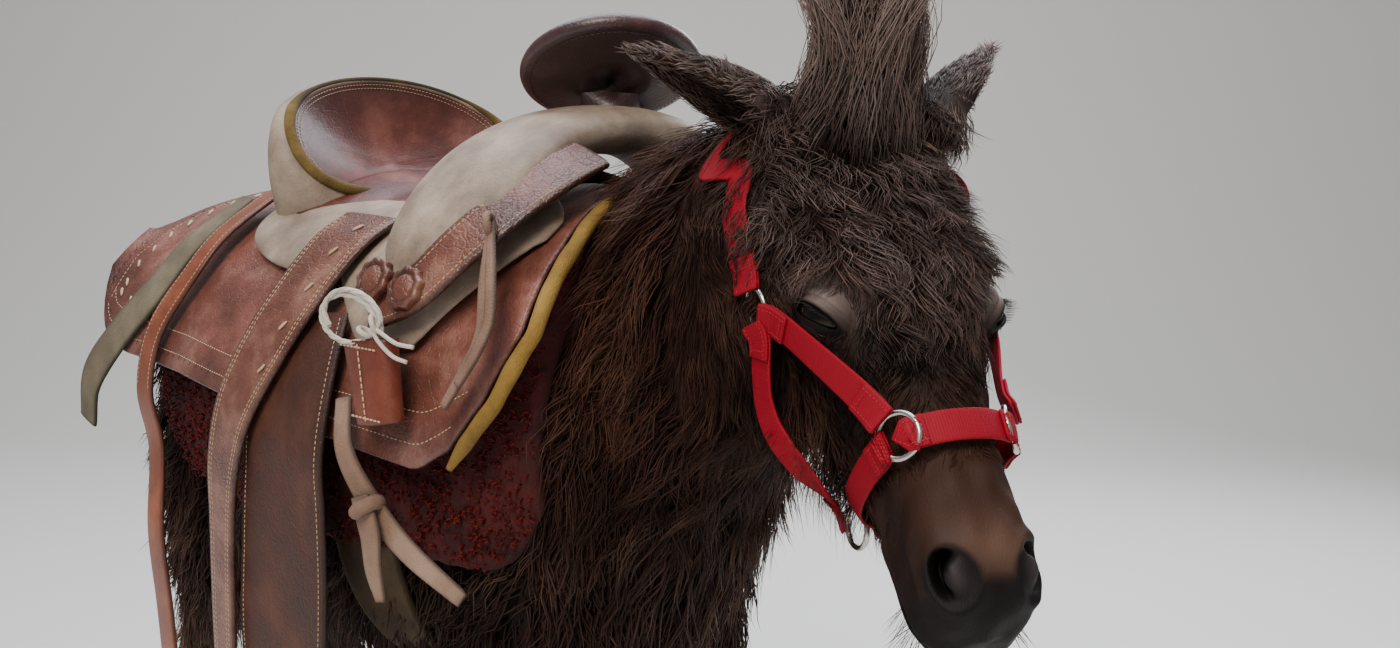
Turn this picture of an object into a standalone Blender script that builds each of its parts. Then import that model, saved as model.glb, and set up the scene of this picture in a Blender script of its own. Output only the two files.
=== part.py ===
"""A small pony standing with its head low and turned to its right, wearing a stock saddle and a halter.

Frame: metres, +X towards the head, +Y the pony's left, +Z up, the soles of the hooves at Z = 0.
The body is lofted from tables of sections, fused into one surface, and parted with thin cuts.
Tack is carved to the body, so that each piece lies on what carries it with a small gap.
"""

import math

import bmesh
import bpy
import numpy as np
from mathutils import Matrix, Vector
from mathutils.bvhtree import BVHTree

# Driving dimensions, metres and degrees
GAP = 0.0004
TACK_GAP = 0.0012
CENTRE_X = 0.057
CENTRE_Y = 0.0
BODY_VOXEL = 0.011
BODY_SHARE = 0.033
BLANKET_OUT = 0.020
LEATHER = 0.005
THIN_LEATHER = 0.004
WIRE = 0.0022
GIRTH_X = 0.100
GIRTH_WIDTH = 0.068
WEB_WIDTH = 0.020
WEB_THICK = 0.0024
POLL = (0.500, -0.020, 0.965)
HEAD_YAW = -26.0
HEAD_PITCH = 52.0
EYE_RADIUS = 0.0175
SADDLE_BACK = -0.24
SADDLE_FRONT = 0.24
BLANKET_X = (-0.295, 0.288)
BLANKET_LOW = 0.600
HORN = (0.203, 0.002, 1.018)
HORN_AXIS = (-0.395, 0.245, 0.885)
CANTLE = (-0.110, 0.0, 0.964)
CANTLE_HALF = (0.134, 0.076)
CANTLE_LEAN = 37.0
STIRRUP = (0.020, 0.236, 0.288)
COAT_DEPTH = 0.006
LOCK_CLEAR = 0.0012
# share of its triangles that each carved piece keeps
LIGHTER = {
    "arcion_left": 0.80,
    "arcion_right": 0.80,
    "blanket": 0.80,
    "cantle_roll": 0.80,
    "cantle_shell": 0.38,
    "cheek_left": 0.45,
    "cheek_right": 0.55,
    "chin_strap": 0.42,
    "cinch": 0.45,
    "crown": 0.45,
    "fork": 0.75,
    "fork_strap_left": 0.45,
    "fork_strap_right": 0.45,
    "horn": 0.70,
    "latigo_right": 0.55,
    "noseband": 0.50,
    "rear_strap_left": 0.70,
    "rear_strap_right": 0.70,
    "rope_tie": 0.55,
    "saddle_string_right": 0.50,
    "seat": 0.50,
    "seat_cup": 0.80,
    "skirt_left": 0.62,
    "skirt_right": 0.62,
    "skirt_roll_left": 0.75,
    "skirt_roll_right": 0.60,
    "throat_left": 0.55,
    "throat_right": 0.75,
    "tree_bar_left": 0.68,
    "tree_bar_right": 0.68,
}
# length, width, thickness and lift of the tip, for each kind of lock; a curl uses its width and height
LOCKS = {
    "long": (0.092, 0.046, 0.0110, 0.012),
    "short": (0.056, 0.030, 0.0080, 0.008),
    "fringe": (0.070, 0.048, 0.0110, 0.0),
    "feather": (0.042, 0.020, 0.0080, 0.010),
    "strand": (0.080, 0.028, 0.0110, 0.0),
    "crest": (0.080, 0.040, 0.0150, 0.0),
    "tail": (0.200, 0.040, 0.0150, 0.0),
    "curl": (0.0, 0.0380, 0.0100, 0.0),
}

NECK_CUT = ((0.200, 0.900), (0.402, 0.625))
FORE_CUT = 0.432
HIND_CUT = 0.446
HOOF_TOP = 0.050
EYE = (0.141, 0.0550, -0.0225)
EYE_OUT = (0.8, 0.6)
NOSTRIL = (0.336, 0.029, -0.030)
MOUTH = (0.285, 0.370, -0.080)
EAR_BASE = (-0.010, 0.064, -0.010)
EAR_AHEAD = {1: 0.008, -1: -0.010}
EAR_LENGTH = 0.114
SIDES = (("right", -1), ("left", 1))

# x, top, bottom and half width of the trunk
TORSO = (
    (-0.480, 0.740, 0.640, 0.045),
    (-0.455, 0.800, 0.585, 0.105),
    (-0.400, 0.852, 0.545, 0.148),
    (-0.310, 0.880, 0.515, 0.172),
    (-0.180, 0.880, 0.480, 0.188),
    (-0.040, 0.862, 0.452, 0.198),
    (0.090, 0.868, 0.445, 0.192),
    (0.190, 0.892, 0.455, 0.176),
    (0.268, 0.886, 0.495, 0.154),
    (0.320, 0.862, 0.550, 0.118),
    (0.362, 0.805, 0.605, 0.082),
    (0.386, 0.735, 0.650, 0.040),
)
# centre x, y, z, then radius across the neck in its own plane and radius from side to side
NECK = (
    (0.220, 0.000, 0.710, 0.140, 0.110),
    (0.296, -0.012, 0.770, 0.142, 0.105),
    (0.366, -0.028, 0.822, 0.132, 0.098),
    (0.430, -0.036, 0.852, 0.124, 0.090),
    (0.478, -0.036, 0.876, 0.112, 0.082),
    (0.515, -0.038, 0.884, 0.096, 0.070),
)
# centre x, y, z, radius along x and radius along y, down one leg on the left side
FORELEG = (
    (0.223, 0.088, 0.680, 0.080, 0.050),
    (0.226, 0.100, 0.580, 0.072, 0.056),
    (0.228, 0.098, 0.490, 0.058, 0.050),
    (0.234, 0.094, 0.400, 0.046, 0.042),
    (0.238, 0.090, 0.330, 0.038, 0.036),
    (0.240, 0.088, 0.290, 0.039, 0.037),
    (0.236, 0.088, 0.245, 0.030, 0.028),
    (0.233, 0.088, 0.160, 0.027, 0.025),
    (0.233, 0.088, 0.108, 0.033, 0.029),
    (0.242, 0.088, 0.072, 0.030, 0.028),
    (0.250, 0.088, 0.048, 0.036, 0.036),
    (0.254, 0.088, 0.030, 0.041, 0.040),
    (0.258, 0.088, 0.000, 0.047, 0.045),
)
HINDLEG = (
    (-0.340, 0.085, 0.740, 0.095, 0.050),
    (-0.325, 0.106, 0.640, 0.112, 0.064),
    (-0.315, 0.112, 0.550, 0.098, 0.062),
    (-0.335, 0.108, 0.470, 0.070, 0.052),
    (-0.375, 0.102, 0.400, 0.050, 0.042),
    (-0.410, 0.098, 0.350, 0.043, 0.036),
    (-0.420, 0.096, 0.310, 0.040, 0.034),
    (-0.414, 0.094, 0.250, 0.031, 0.028),
    (-0.408, 0.092, 0.170, 0.028, 0.026),
    (-0.404, 0.092, 0.108, 0.034, 0.030),
    (-0.394, 0.092, 0.072, 0.031, 0.028),
    (-0.384, 0.092, 0.048, 0.037, 0.036),
    (-0.380, 0.092, 0.030, 0.042, 0.040),
    (-0.376, 0.092, 0.000, 0.048, 0.045),
)
# distance from the poll along the face, top, bottom and half width in the head's own frame
HEAD = (
    (-0.045, -0.040, -0.085, 0.025),
    (-0.030, -0.012, -0.118, 0.054),
    (0.010, 0.006, -0.150, 0.076),
    (0.060, 0.016, -0.166, 0.084),
    (0.110, 0.019, -0.170, 0.083),
    (0.155, 0.013, -0.163, 0.073),
    (0.197, 0.004, -0.147, 0.059),
    (0.238, -0.002, -0.125, 0.048),
    (0.280, -0.004, -0.109, 0.043),
    (0.316, -0.007, -0.103, 0.043),
    (0.344, -0.014, -0.100, 0.042),
    (0.366, -0.028, -0.092, 0.035),
    (0.377, -0.046, -0.078, 0.018),
)

# centre x, y, z, then radius across and radius from side to side, out to the tips of the long hair
TAIL = (
    (-0.455, 0, 0.775, 0.024, 0.024),
    (-0.492, 0, 0.760, 0.032, 0.034),
    (-0.522, 0, 0.700, 0.038, 0.046),
    (-0.536, 0, 0.600, 0.040, 0.054),
    (-0.540, 0, 0.480, 0.038, 0.054),
    (-0.534, 0, 0.360, 0.030, 0.044),
    (-0.526, 0, 0.270, 0.010, 0.014),
)
MANE = (
    (0.296, 0.004, 0.936, 0.014, 0.020),
    (0.318, 0.006, 0.942, 0.024, 0.030),
    (0.350, 0.004, 0.954, 0.026, 0.032),
    (0.386, -0.006, 0.962, 0.024, 0.030),
    (0.420, -0.018, 0.968, 0.016, 0.024),
)
FORELOCK = (
    (0.497, -0.018, 0.955, 0.030, 0.042),
    (0.500, -0.018, 0.985, 0.032, 0.045),
    (0.502, -0.018, 1.020, 0.037, 0.050),
    (0.500, -0.018, 1.060, 0.040, 0.055),
    (0.494, -0.018, 1.100, 0.030, 0.046),
    (0.488, -0.018, 1.130, 0.010, 0.016),
)

# height, share of the sole's width and how far back it stands, down a hoof
HOOF_RINGS = (
    (HOOF_TOP, 0.80, 0.014),
    (0.042, 0.86, 0.011),
    (0.020, 0.93, 0.005),
    (0.0, 1.0, 0.0),
)
# x, then degrees down from the back, of the upper and lower edges of the tree's bars
BAR_X = (-0.170, 0.276)
BAR_HIGH = ((-0.22, 0.05, 0.14, 0.20, 0.27), (14, 14, 16, 20, 24))
BAR_LOW = ((-0.22, -0.05, 0.05, 0.14, 0.20, 0.27), (46, 46, 46, 66, 68, 50))
# x and z up the curved back corner of a skirt
SKIRT_BACK = (
    (-0.395, 0.820),
    (-0.385, 0.851),
    (-0.365, 0.873),
    (-0.335, 0.890),
    (-0.300, 0.901),
    (-0.250, 0.960),
)
# height and radius of the horn's stem, then of its plate along the plate's own axis
HORN_STEM = ((0.972, 0.032), (0.990, 0.027), (1.000, 0.026))
HORN_PLATE = (
    (-0.010, 0.030),
    (-0.006, 0.048),
    (-0.004, 0.074),
    (0.000, 0.081),
    (0.006, 0.082),
    (0.011, 0.078),
    (0.014, 0.060),
    (0.016, 0.030),
)
# straps: points on the flank as x and z, how far out each stands, free points below, widths along it
ARCION = {
    "upper": ((0.045, 0.884), (0.042, 0.862), (0.034, 0.820), (0.018, 0.770), (-0.004, 0.715),
              (-0.024, 0.660)),
    "out": (0.060, 0.063, 0.062, 0.063, 0.065, 0.062),
    "ends": ((-0.034, 0.257, 0.60), (-0.038, 0.255, 0.52), (-0.040, 0.252, 0.44)),
    "width": (0.088, 0.086, 0.080, 0.074, 0.060, 0.050, 0.040, 0.036, 0.034),
}
FENDER = {
    "upper": ((0.066, 0.800), (0.070, 0.760), (0.067, 0.700), (0.061, 0.650)),
    "out": (0.050, 0.055, 0.058, 0.054),
    "ends": ((0.055, 0.246, 0.58), (0.047, 0.244, 0.50), (0.038, 0.240, 0.435), (0.030, 0.237, 0.395)),
    "width": (0.072, 0.102, 0.122, 0.130, 0.138, 0.138, 0.112, 0.055),
}
REAR_STRAP = {
    "upper": ((-0.192, 0.902), (-0.186, 0.860), (-0.188, 0.820), (-0.215, 0.762), (-0.228, 0.700),
              (-0.222, 0.640)),
    "out": (0.046, 0.050, 0.054, 0.058, 0.058, 0.052),
    "ends": ((-0.206, 0.243, 0.56), (-0.196, 0.240, 0.48), (-0.190, 0.237, 0.41)),
    "width": 0.030,
}
REAR_BILLET = {
    "upper": ((-0.225, 0.895), (-0.238, 0.850), (-0.262, 0.800), (-0.305, 0.750)),
    "out": (0.045, 0.047, 0.050, 0.057),
    "ends": ((-0.345, 0.247, 0.70), (-0.360, 0.246, 0.652)),
    "width": (0.030, 0.042, 0.044, 0.040, 0.038, 0.034),
}
LATIGO = (
    (0.150, -0.240, 0.740),
    (0.160, -0.246, 0.700),
    (0.180, -0.236, 0.660),
    (0.214, -0.224, 0.624),
    (0.262, -0.205, 0.590),
)
LATIGO_KNOTS = ((0.186, -0.234, 0.652),)
STRING = (
    (0.266, -0.180, 0.886),
    (0.284, -0.200, 0.846),
    (0.292, -0.210, 0.806),
    (0.284, -0.218, 0.778),
    (0.268, -0.226, 0.748),
)
STRING_KNOTS = ((0.267, -0.182, 0.884),)

COLOURS = {
    "coat": ((0.055, 0.030, 0.022), 0.9, 0.0),
    "hoof": ((0.035, 0.028, 0.024), 0.5, 0.0),
    "eye": ((0.010, 0.006, 0.005), 0.1, 0.0),
    "fleece": ((0.150, 0.022, 0.020), 0.95, 0.0),
    "leather": ((0.130, 0.045, 0.028), 0.5, 0.0),
    "rawhide": ((0.480, 0.390, 0.280), 0.6, 0.0),
    "suede": ((0.280, 0.200, 0.130), 0.9, 0.0),
    "edging": ((0.420, 0.270, 0.070), 0.9, 0.0),
    "webbing": ((0.650, 0.012, 0.020), 0.7, 0.0),
    "steel": ((0.600, 0.580, 0.540), 0.25, 1.0),
    "rope": ((0.600, 0.560, 0.500), 0.9, 0.0),
    "fabric": ((0.350, 0.300, 0.230), 0.9, 0.0),
}


def clear_scene():
    for obj in list(bpy.data.objects):
        bpy.data.objects.remove(obj, do_unlink=True)


def material(kind):
    """The named Principled material, made once."""
    found = bpy.data.materials.get(kind)
    if found:
        return found
    colour, rough, metal = COLOURS[kind]
    made = bpy.data.materials.new(kind)
    made.use_nodes = True
    shader = made.node_tree.nodes["Principled BSDF"]
    shader.inputs["Base Color"].default_value = (*colour, 1.0)
    shader.inputs["Roughness"].default_value = rough
    shader.inputs["Metallic"].default_value = metal
    return made


def add_object(name, points, faces, kind):
    mesh = bpy.data.meshes.new(name)
    mesh.from_pydata([tuple(p) for p in points], [], [tuple(f) for f in faces])
    mesh.update()
    obj = bpy.data.objects.new(name, mesh)
    bpy.context.scene.collection.objects.link(obj)
    obj.data.materials.append(material(kind))
    return obj


def apply_modifiers(obj):
    bpy.context.view_layer.update()
    graph = bpy.context.evaluated_depsgraph_get()
    mesh = bpy.data.meshes.new_from_object(obj.evaluated_get(graph))
    obj.modifiers.clear()
    old = obj.data
    obj.data = mesh
    bpy.data.meshes.remove(old)
    return obj


def facing_out(obj):
    """Turns the faces outwards, and cuts them into triangles so that every copy bends alike."""
    edit = bmesh.new()
    edit.from_mesh(obj.data)
    bmesh.ops.triangulate(edit, faces=edit.faces)
    bmesh.ops.recalc_face_normals(edit, faces=edit.faces)
    edit.to_mesh(obj.data)
    edit.free()
    return obj


def largest_surface(obj):
    """Keeps the closed surface with the most volume, as triangles."""
    edit = bmesh.new()
    edit.from_mesh(obj.data)
    bmesh.ops.triangulate(edit, faces=edit.faces)
    left = set(edit.faces)
    groups = []
    while left:
        front = [left.pop()]
        group = set(front)
        while front:
            for edge in front.pop().edges:
                if len(edge.link_faces) != 2:
                    continue
                for other in edge.link_faces:
                    if other in left:
                        left.remove(other)
                        group.add(other)
                        front.append(other)
        groups.append(group)

    def volume(group):
        return sum(f.verts[0].co.dot(f.verts[1].co.cross(f.verts[2].co)) for f in group) / 6

    if len(groups) > 1:
        keep = max(groups, key=volume)
        bmesh.ops.delete(edit, geom=[f for f in edit.faces if f not in keep], context="FACES")
    edit.to_mesh(obj.data)
    edit.free()
    return obj


def boolean(obj, operation, others, solver="MANIFOLD"):
    """Joins, or takes away, a collection of closed meshes in one step."""
    group = bpy.data.collections.new("pieces")
    for other in others:
        group.objects.link(other)
    step = obj.modifiers.new(operation, "BOOLEAN")
    step.operation = operation
    step.operand_type = "COLLECTION"
    step.collection = group
    step.solver = solver
    apply_modifiers(obj)
    bpy.data.collections.remove(group)
    for other in others:
        bpy.data.objects.remove(other, do_unlink=True)
    return obj


def grown(obj, amount=GAP):
    """A copy of obj whose surface stands this far proud of it."""
    copy = obj.copy()
    copy.data = obj.data.copy()
    copy.name = "grown"
    bpy.context.scene.collection.objects.link(copy)
    mesh = copy.data
    count = len(mesh.vertices)
    place = np.empty(count * 3)
    mesh.vertices.foreach_get("co", place)
    normal = np.empty(count * 3)
    mesh.vertex_normals.foreach_get("vector", normal)
    mesh.vertices.foreach_set("co", place + normal * amount)
    mesh.update()
    return copy


def carve(obj, others, amount=GAP, solver="MANIFOLD"):
    """Takes the others, grown by the gap, out of obj, and keeps its largest piece."""
    boolean(obj, "DIFFERENCE", [grown(other, amount) for other in others], solver)
    return largest_surface(obj)


def smooth_table(table, count):
    """The rows of a table at evenly spread values of their running index, on a Catmull-Rom curve."""
    rows = np.array(table, float)
    rows = np.vstack([2 * rows[0] - rows[1], rows, 2 * rows[-1] - rows[-2]])
    spots = np.linspace(0, len(table) - 1 - 1e-9, count)
    i = np.floor(spots).astype(int)
    t = (spots - i)[:, None]
    a, b, c, d = rows[i], rows[i + 1], rows[i + 2], rows[i + 3]
    return 0.5 * (2 * b + (c - a) * t + (2 * a - 5 * b + 4 * c - d) * t**2 + (3 * b - a - 3 * c + d) * t**3)


def row_at(table, value):
    """The columns after the first at a value of the first column, by smooth steps between rows."""
    rows = smooth_table(table, 12 * len(table))
    return np.array([np.interp(value, rows[:, 0], rows[:, k]) for k in range(1, rows.shape[1])])


def loft(name, rings, kind):
    """A closed surface through rings of equal count, its ends filled to their middles."""
    rings = np.asarray(rings, float)
    count, around = rings.shape[:2]
    points = list(rings.reshape(-1, 3)) + [rings[0].mean(0), rings[-1].mean(0)]
    faces = []
    for i in range(count - 1):
        for j in range(around):
            k = (j + 1) % around
            faces.append((i * around + j, i * around + k, (i + 1) * around + k, (i + 1) * around + j))
    start, end = count * around, count * around + 1
    last = (count - 1) * around
    for j in range(around):
        k = (j + 1) % around
        faces.append((start, k, j))
        faces.append((end, last + j, last + k))
    return facing_out(add_object(name, points, faces, kind))


def power(value, exponent):
    return np.sign(value) * np.abs(value) ** exponent


def torso_point(x, angle, out=0.0):
    """A point on the trunk's section at x. Angle 0 is the left side, a quarter turn is the back."""
    top, bottom, half = row_at(TORSO, x)
    level = bottom + 0.50 * (top - bottom)
    c, s = np.cos(angle), np.sin(angle)
    rise = np.where(s > 0, top - level, level - bottom)
    return np.stack([
        np.full_like(np.asarray(angle, float), x),
        (half + out) * power(c, 0.90),
        level + (rise + out) * power(s, 0.92),
    ], -1)


def torso_core():
    xs = smooth_table(TORSO, 34)[:, 0]
    angles = np.linspace(0, 2 * np.pi, 32, endpoint=False)
    return loft("torso_core", [torso_point(x, angles) for x in xs], "coat")


def tube_rings(rows, across_from, around):
    """Rings square to a path. A row is a centre, a radius towards across_from and one to the side."""
    centres = rows[:, :3]
    along = np.gradient(centres, axis=0)
    along /= np.linalg.norm(along, axis=1)[:, None]
    side = np.cross(along, across_from)
    side /= np.linalg.norm(side, axis=1)[:, None]
    up = np.cross(side, along)
    t = np.linspace(0, 2 * np.pi, around, endpoint=False)
    return (
        centres[:, None]
        + rows[:, 3][:, None, None] * np.sin(t)[None, :, None] * up[:, None]
        + rows[:, 4][:, None, None] * np.cos(t)[None, :, None] * side[:, None]
    )


def neck_core():
    return loft("neck_core", tube_rings(smooth_table(NECK, 18), (0, 0, 1), 28), "coat")


def leg_core(name, table, side):
    """Level rings down one leg. Side is 1 on the left and -1 on the right."""
    rows = smooth_table(table, 40)
    t = np.linspace(0, 2 * np.pi, 20, endpoint=False)
    rings = [
        np.stack([x + rx * np.cos(t), side * (y + ry * np.sin(t)), np.full_like(t, max(z, 0.0))], -1)
        for x, y, z, rx, ry in rows
    ]
    return loft(name, rings, "coat")


def head_axes():
    """The poll, and unit vectors along the face, to the pony's left and out of the face."""
    yaw, pitch = math.radians(HEAD_YAW), math.radians(HEAD_PITCH)
    along = np.array([
        math.cos(pitch) * math.cos(yaw),
        math.cos(pitch) * math.sin(yaw),
        -math.sin(pitch),
    ])
    left = np.array([-math.sin(yaw), math.cos(yaw), 0.0])
    return np.array(POLL), along, left, np.cross(along, left)


def on_head(a, left, out):
    """A point given in the head's own frame, in the part's frame."""
    poll, e_a, e_l, e_o = head_axes()
    return poll + np.multiply.outer(a, e_a) + np.multiply.outer(left, e_l) + np.multiply.outer(out, e_o)


def head_point(a, angle, out=0.0):
    """A point on the head's section at distance a. Angle 0 is its left side, a quarter turn its face."""
    top, bottom, half = row_at(HEAD, a)
    level = bottom + 0.60 * (top - bottom)
    c, s = np.cos(angle), np.sin(angle)
    jaw = np.clip((0.22 - a) / 0.12, 0, 1)
    narrow = np.where(s < 0, 1 - 0.26 * jaw * s**2, 1.0)
    return on_head(
        np.full_like(np.asarray(angle, float), a),
        (half + out) * power(c, 0.84) * narrow,
        level + (np.where(s > 0, top - level, level - bottom) + out) * power(s, 0.84),
    )


def box(name, size, centre, turn=None):
    """A closed block, turned by a matrix about its centre."""
    x, y, z = (s / 2 for s in size)
    corners = [(i * x, j * y, k * z) for i in (-1, 1) for j in (-1, 1) for k in (-1, 1)]
    turn = turn or Matrix.Identity(3)
    points = [tuple(turn @ Vector(c) + Vector(centre)) for c in corners]
    faces = [(0, 1, 3, 2), (4, 6, 7, 5), (0, 4, 5, 1), (2, 3, 7, 6), (0, 2, 6, 4), (1, 5, 7, 3)]
    return facing_out(add_object(name, points, faces, "coat"))


def fuse_body():
    """Trunk, neck and legs as one surface, rounded where they join."""
    parts = [torso_core(), neck_core()]
    for side in (1, -1):
        parts.append(leg_core("fore", FORELEG, side))
        parts.append(leg_core("hind", HINDLEG, side))
    body = parts[0]
    with bpy.context.temp_override(
        active_object=body, selected_editable_objects=parts, selected_objects=parts
    ):
        bpy.ops.object.join()
    shell = body.modifiers.new("fuse", "REMESH")
    shell.mode = "VOXEL"
    shell.voxel_size = BODY_VOXEL
    soft = body.modifiers.new("round", "SMOOTH")
    soft.factor = 0.5
    soft.iterations = 7
    fewer = body.modifiers.new("fewer", "DECIMATE")
    fewer.ratio = BODY_SHARE
    apply_modifiers(body)
    for vert in body.data.vertices:
        x, _, z = vert.co
        bare = max(abs(x - 0.0) / 0.30, (0.70 - z) / 0.10)
        vert.co -= vert.normal * COAT_DEPTH * min(max(bare - 0.6, 0.0) / 0.4, 1.0) * min(z / 0.15, 1.0)
    return body


def part_body(body):
    """Cuts the body across the neck base and the tops of the legs, and names the pieces."""
    (x0, z0), (x1, z1) = NECK_CUT
    lean = math.atan2(z0 - z1, x1 - x0)
    slab = 2 * GAP
    cutters = [
        box("cut", (1.2, 1.0, slab), ((x0 + x1) / 2, 0, (z0 + z1) / 2), Matrix.Rotation(lean, 3, "Y")),
        box("cut", (0.26, 0.6, slab), (0.238, 0, FORE_CUT)),
        box("cut", (0.34, 0.6, slab), (-0.380, 0, HIND_CUT)),
        box("cut", (1.4, 0.8, 0.2), (0, 0, HOOF_TOP + GAP - 0.1)),
    ]
    boolean(body, "DIFFERENCE", cutters)
    places = {
        "torso": (-0.05, 0, 0.68),
        "neck": (0.42, -0.01, 0.80),
        "foreleg_left": (0.24, 0.09, 0.25),
        "foreleg_right": (0.24, -0.09, 0.25),
        "hindleg_left": (-0.40, 0.095, 0.25),
        "hindleg_right": (-0.40, -0.095, 0.25),
    }
    edit = bmesh.new()
    edit.from_mesh(body.data)
    bmesh.ops.triangulate(edit, faces=edit.faces)
    edit.verts.index_update()
    label = {}
    for vert in edit.verts:
        if vert in label:
            continue
        front, group = [vert], len(set(label.values()))
        label[vert] = group
        while front:
            for edge in front.pop().link_edges:
                for other in edge.verts:
                    if other not in label:
                        label[other] = group
                        front.append(other)
    groups = {}
    for vert, group in label.items():
        groups.setdefault(group, []).append(vert)
    made = {}
    for verts in groups.values():
        middle = sum((v.co for v in verts), Vector()) / len(verts)
        name = min(places, key=lambda n: (middle - Vector(places[n])).length)
        if name in made and len(made[name].data.vertices) > len(verts):
            continue
        index = {v: i for i, v in enumerate(verts)}
        faces = {f for v in verts for f in v.link_faces}
        order = sorted(faces, key=lambda f: f.index)
        if name in made:
            bpy.data.objects.remove(made[name], do_unlink=True)
        made[name] = add_object(
            name, [v.co[:] for v in verts], [[index[v] for v in f.verts] for f in order], "coat"
        )
        made[name].name = name
    edit.free()
    bpy.data.objects.remove(body, do_unlink=True)
    return made


def hoof(name, table, side):
    """A hoof with a flat sole, flared down from the coronet."""
    x, y, _, rx, ry = table[-1]
    t = np.linspace(0, 2 * np.pi, 12, endpoint=False)
    rings = []
    for z, share, back in HOOF_RINGS:
        heel = np.where(np.cos(t) < 0, 0.86, 1.0)
        rings.append(np.stack([
            x - back + rx * share * np.cos(t) * heel, side * y + ry * share * np.sin(t), np.full_like(t, z)
        ], -1))
    return loft(name, rings, "hoof")


def ball(name, centre, radii, turn, kind, around=20, tall=12):
    """A closed ellipsoid. Turn's columns are its three axes."""
    rings = []
    for v in np.linspace(0, np.pi, tall + 1)[1:-1]:
        t = np.linspace(0, 2 * np.pi, around, endpoint=False)
        local = np.stack([
            radii[0] * np.sin(v) * np.cos(t),
            radii[1] * np.sin(v) * np.sin(t),
            np.full_like(t, radii[2] * np.cos(v)),
        ], -1)
        rings.append(np.asarray(centre) + local @ np.asarray(turn).T)
    return loft(name, rings, kind)


def head_turn():
    _, along, left, out = head_axes()
    return np.stack([along, left, out], 1)


def head_surface():
    """The head's sections with brow, cheek, nostril rims, lips and the line of the mouth."""
    stations = np.unique(np.concatenate([smooth_table(HEAD, 15)[:, 0], np.linspace(0.310, 0.366, 5)]))
    t = np.linspace(0, 2 * np.pi, 22, endpoint=False)
    rings = []
    _, e_a, e_l, e_o = head_axes()
    origin = np.array(POLL)
    for a in stations:
        ring = head_point(a, t)
        local = (ring - origin) @ np.stack([e_a, e_l, e_o], 1)
        side = np.sign(local[:, 1])
        reach = np.hypot(local[:, 0] - EYE[0] + 0.012, (local[:, 2] - EYE[2] - 0.016) * 1.3)
        brow = 0.007 * np.exp(-((reach / 0.026) ** 2))
        hollow = -0.005 * np.exp(-(((local[:, 0] - 0.165) / 0.03) ** 2) - ((local[:, 2] + 0.05) / 0.03) ** 2)
        cheek = 0.006 * np.exp(-(((local[:, 0] - 0.07) / 0.05) ** 2) - ((local[:, 2] + 0.10) / 0.05) ** 2)
        rim = np.hypot(local[:, 0] - NOSTRIL[0], local[:, 2] - NOSTRIL[2])
        flare = 0.006 * np.exp(-(((rim - 0.014) / 0.008) ** 2))
        inside = (local[:, 0] > MOUTH[0]) & (local[:, 0] < MOUTH[1] + 0.02)
        groove = -0.004 * np.exp(-(((local[:, 2] - MOUTH[2]) / 0.0045) ** 2)) * inside
        lips = 0.003 * np.exp(-(((local[:, 2] - MOUTH[2] - 0.012) / 0.008) ** 2)) * inside
        push = (brow + hollow + cheek + flare + groove + lips) * (np.abs(local[:, 1]) > 0.012)
        rings.append(ring + (side * push)[:, None] * e_l)
    return loft("head", rings, "coat")


def shape_head():
    """The head with nostril pits, eyes in their sockets and lids that half close over them."""
    head = head_surface()
    turn = head_turn()
    eyes, cutters, lids = {}, [], []
    for name, side in (("left", 1), ("right", -1)):
        centre = on_head(EYE[0], side * EYE[1], EYE[2])
        lids.append(ball("lid", centre, (EYE_RADIUS + 0.0035,) * 3, turn, "coat", 14, 8))
        cutters.append(ball("socket", centre, (EYE_RADIUS + GAP,) * 3, turn, "coat", 12, 7))
        outward = EYE_OUT[0] * side * turn[:, 1] + EYE_OUT[1] * turn[:, 2]
        own = np.stack([turn[:, 0], np.cross(outward, turn[:, 0]), outward], 1)
        slit = centre + outward * (EYE_RADIUS + 0.004)
        cutters.append(ball("slit", slit, (0.0145, 0.0070, 0.0130), own, "coat", 12, 6))
        pit = on_head(NOSTRIL[0], side * (NOSTRIL[1] + 0.012), NOSTRIL[2] + 0.004)
        cutters.append(ball("pit", pit, (0.0110, 0.017, 0.0085), turn, "coat", 12, 7))
        eyes["eye_" + name] = ball("eye_" + name, centre, (EYE_RADIUS,) * 3, turn, "eye", 12, 7)
    boolean(head, "UNION", lids)
    boolean(head, "DIFFERENCE", cutters)
    return largest_surface(head), eyes


def ear(name, side):
    """A cupped ear: crescent sections along a leaning axis, wide at a third of its length."""
    e_l = head_axes()[2]
    base = on_head(EAR_BASE[0], side * EAR_BASE[1], EAR_BASE[2])
    facing = np.array([math.cos(math.radians(HEAD_YAW)), math.sin(math.radians(HEAD_YAW)), 0.0])
    up = np.array([0.0, 0.0, 1.0])
    base = base + EAR_AHEAD[side] * facing
    axis = -0.42 * facing + 0.72 * side * e_l + 0.56 * up
    axis /= np.linalg.norm(axis)
    mouth = 0.45 * side * e_l + 0.20 * facing - 0.60 * up
    mouth -= axis * (mouth @ axis)
    mouth /= np.linalg.norm(mouth)
    across = np.cross(axis, mouth)
    rings = []
    for v in np.linspace(-0.12, 1.0, 8):
        s = max(v, 0.0)
        width = 0.0290 * (0.62 + 1.30 * s) * (1 - s**1.7) ** 0.85 + 0.0025
        depth = 0.92 - 0.35 * s
        arc = np.linspace(math.radians(200), math.radians(-20), 6)
        outer = np.stack([width * np.cos(arc), -width * depth * np.sin(arc)], -1)
        wall = min(0.0042, 0.45 * width * depth)
        hollow = min(1.0, s / 0.22)
        inner = np.stack([
            (width - wall) * np.cos(arc[::-1]),
            -(width * depth - wall) * np.sin(arc[::-1]) * hollow + (1 - hollow) * width * 0.5 * depth,
        ], -1)
        ring = np.concatenate([outer, inner])
        centre = base + axis * EAR_LENGTH * v + mouth * 0.010 * s * s
        rings.append(centre + ring[:, :1] * across + ring[:, 1:] * mouth)
    return loft(name, rings, "coat")


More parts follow.
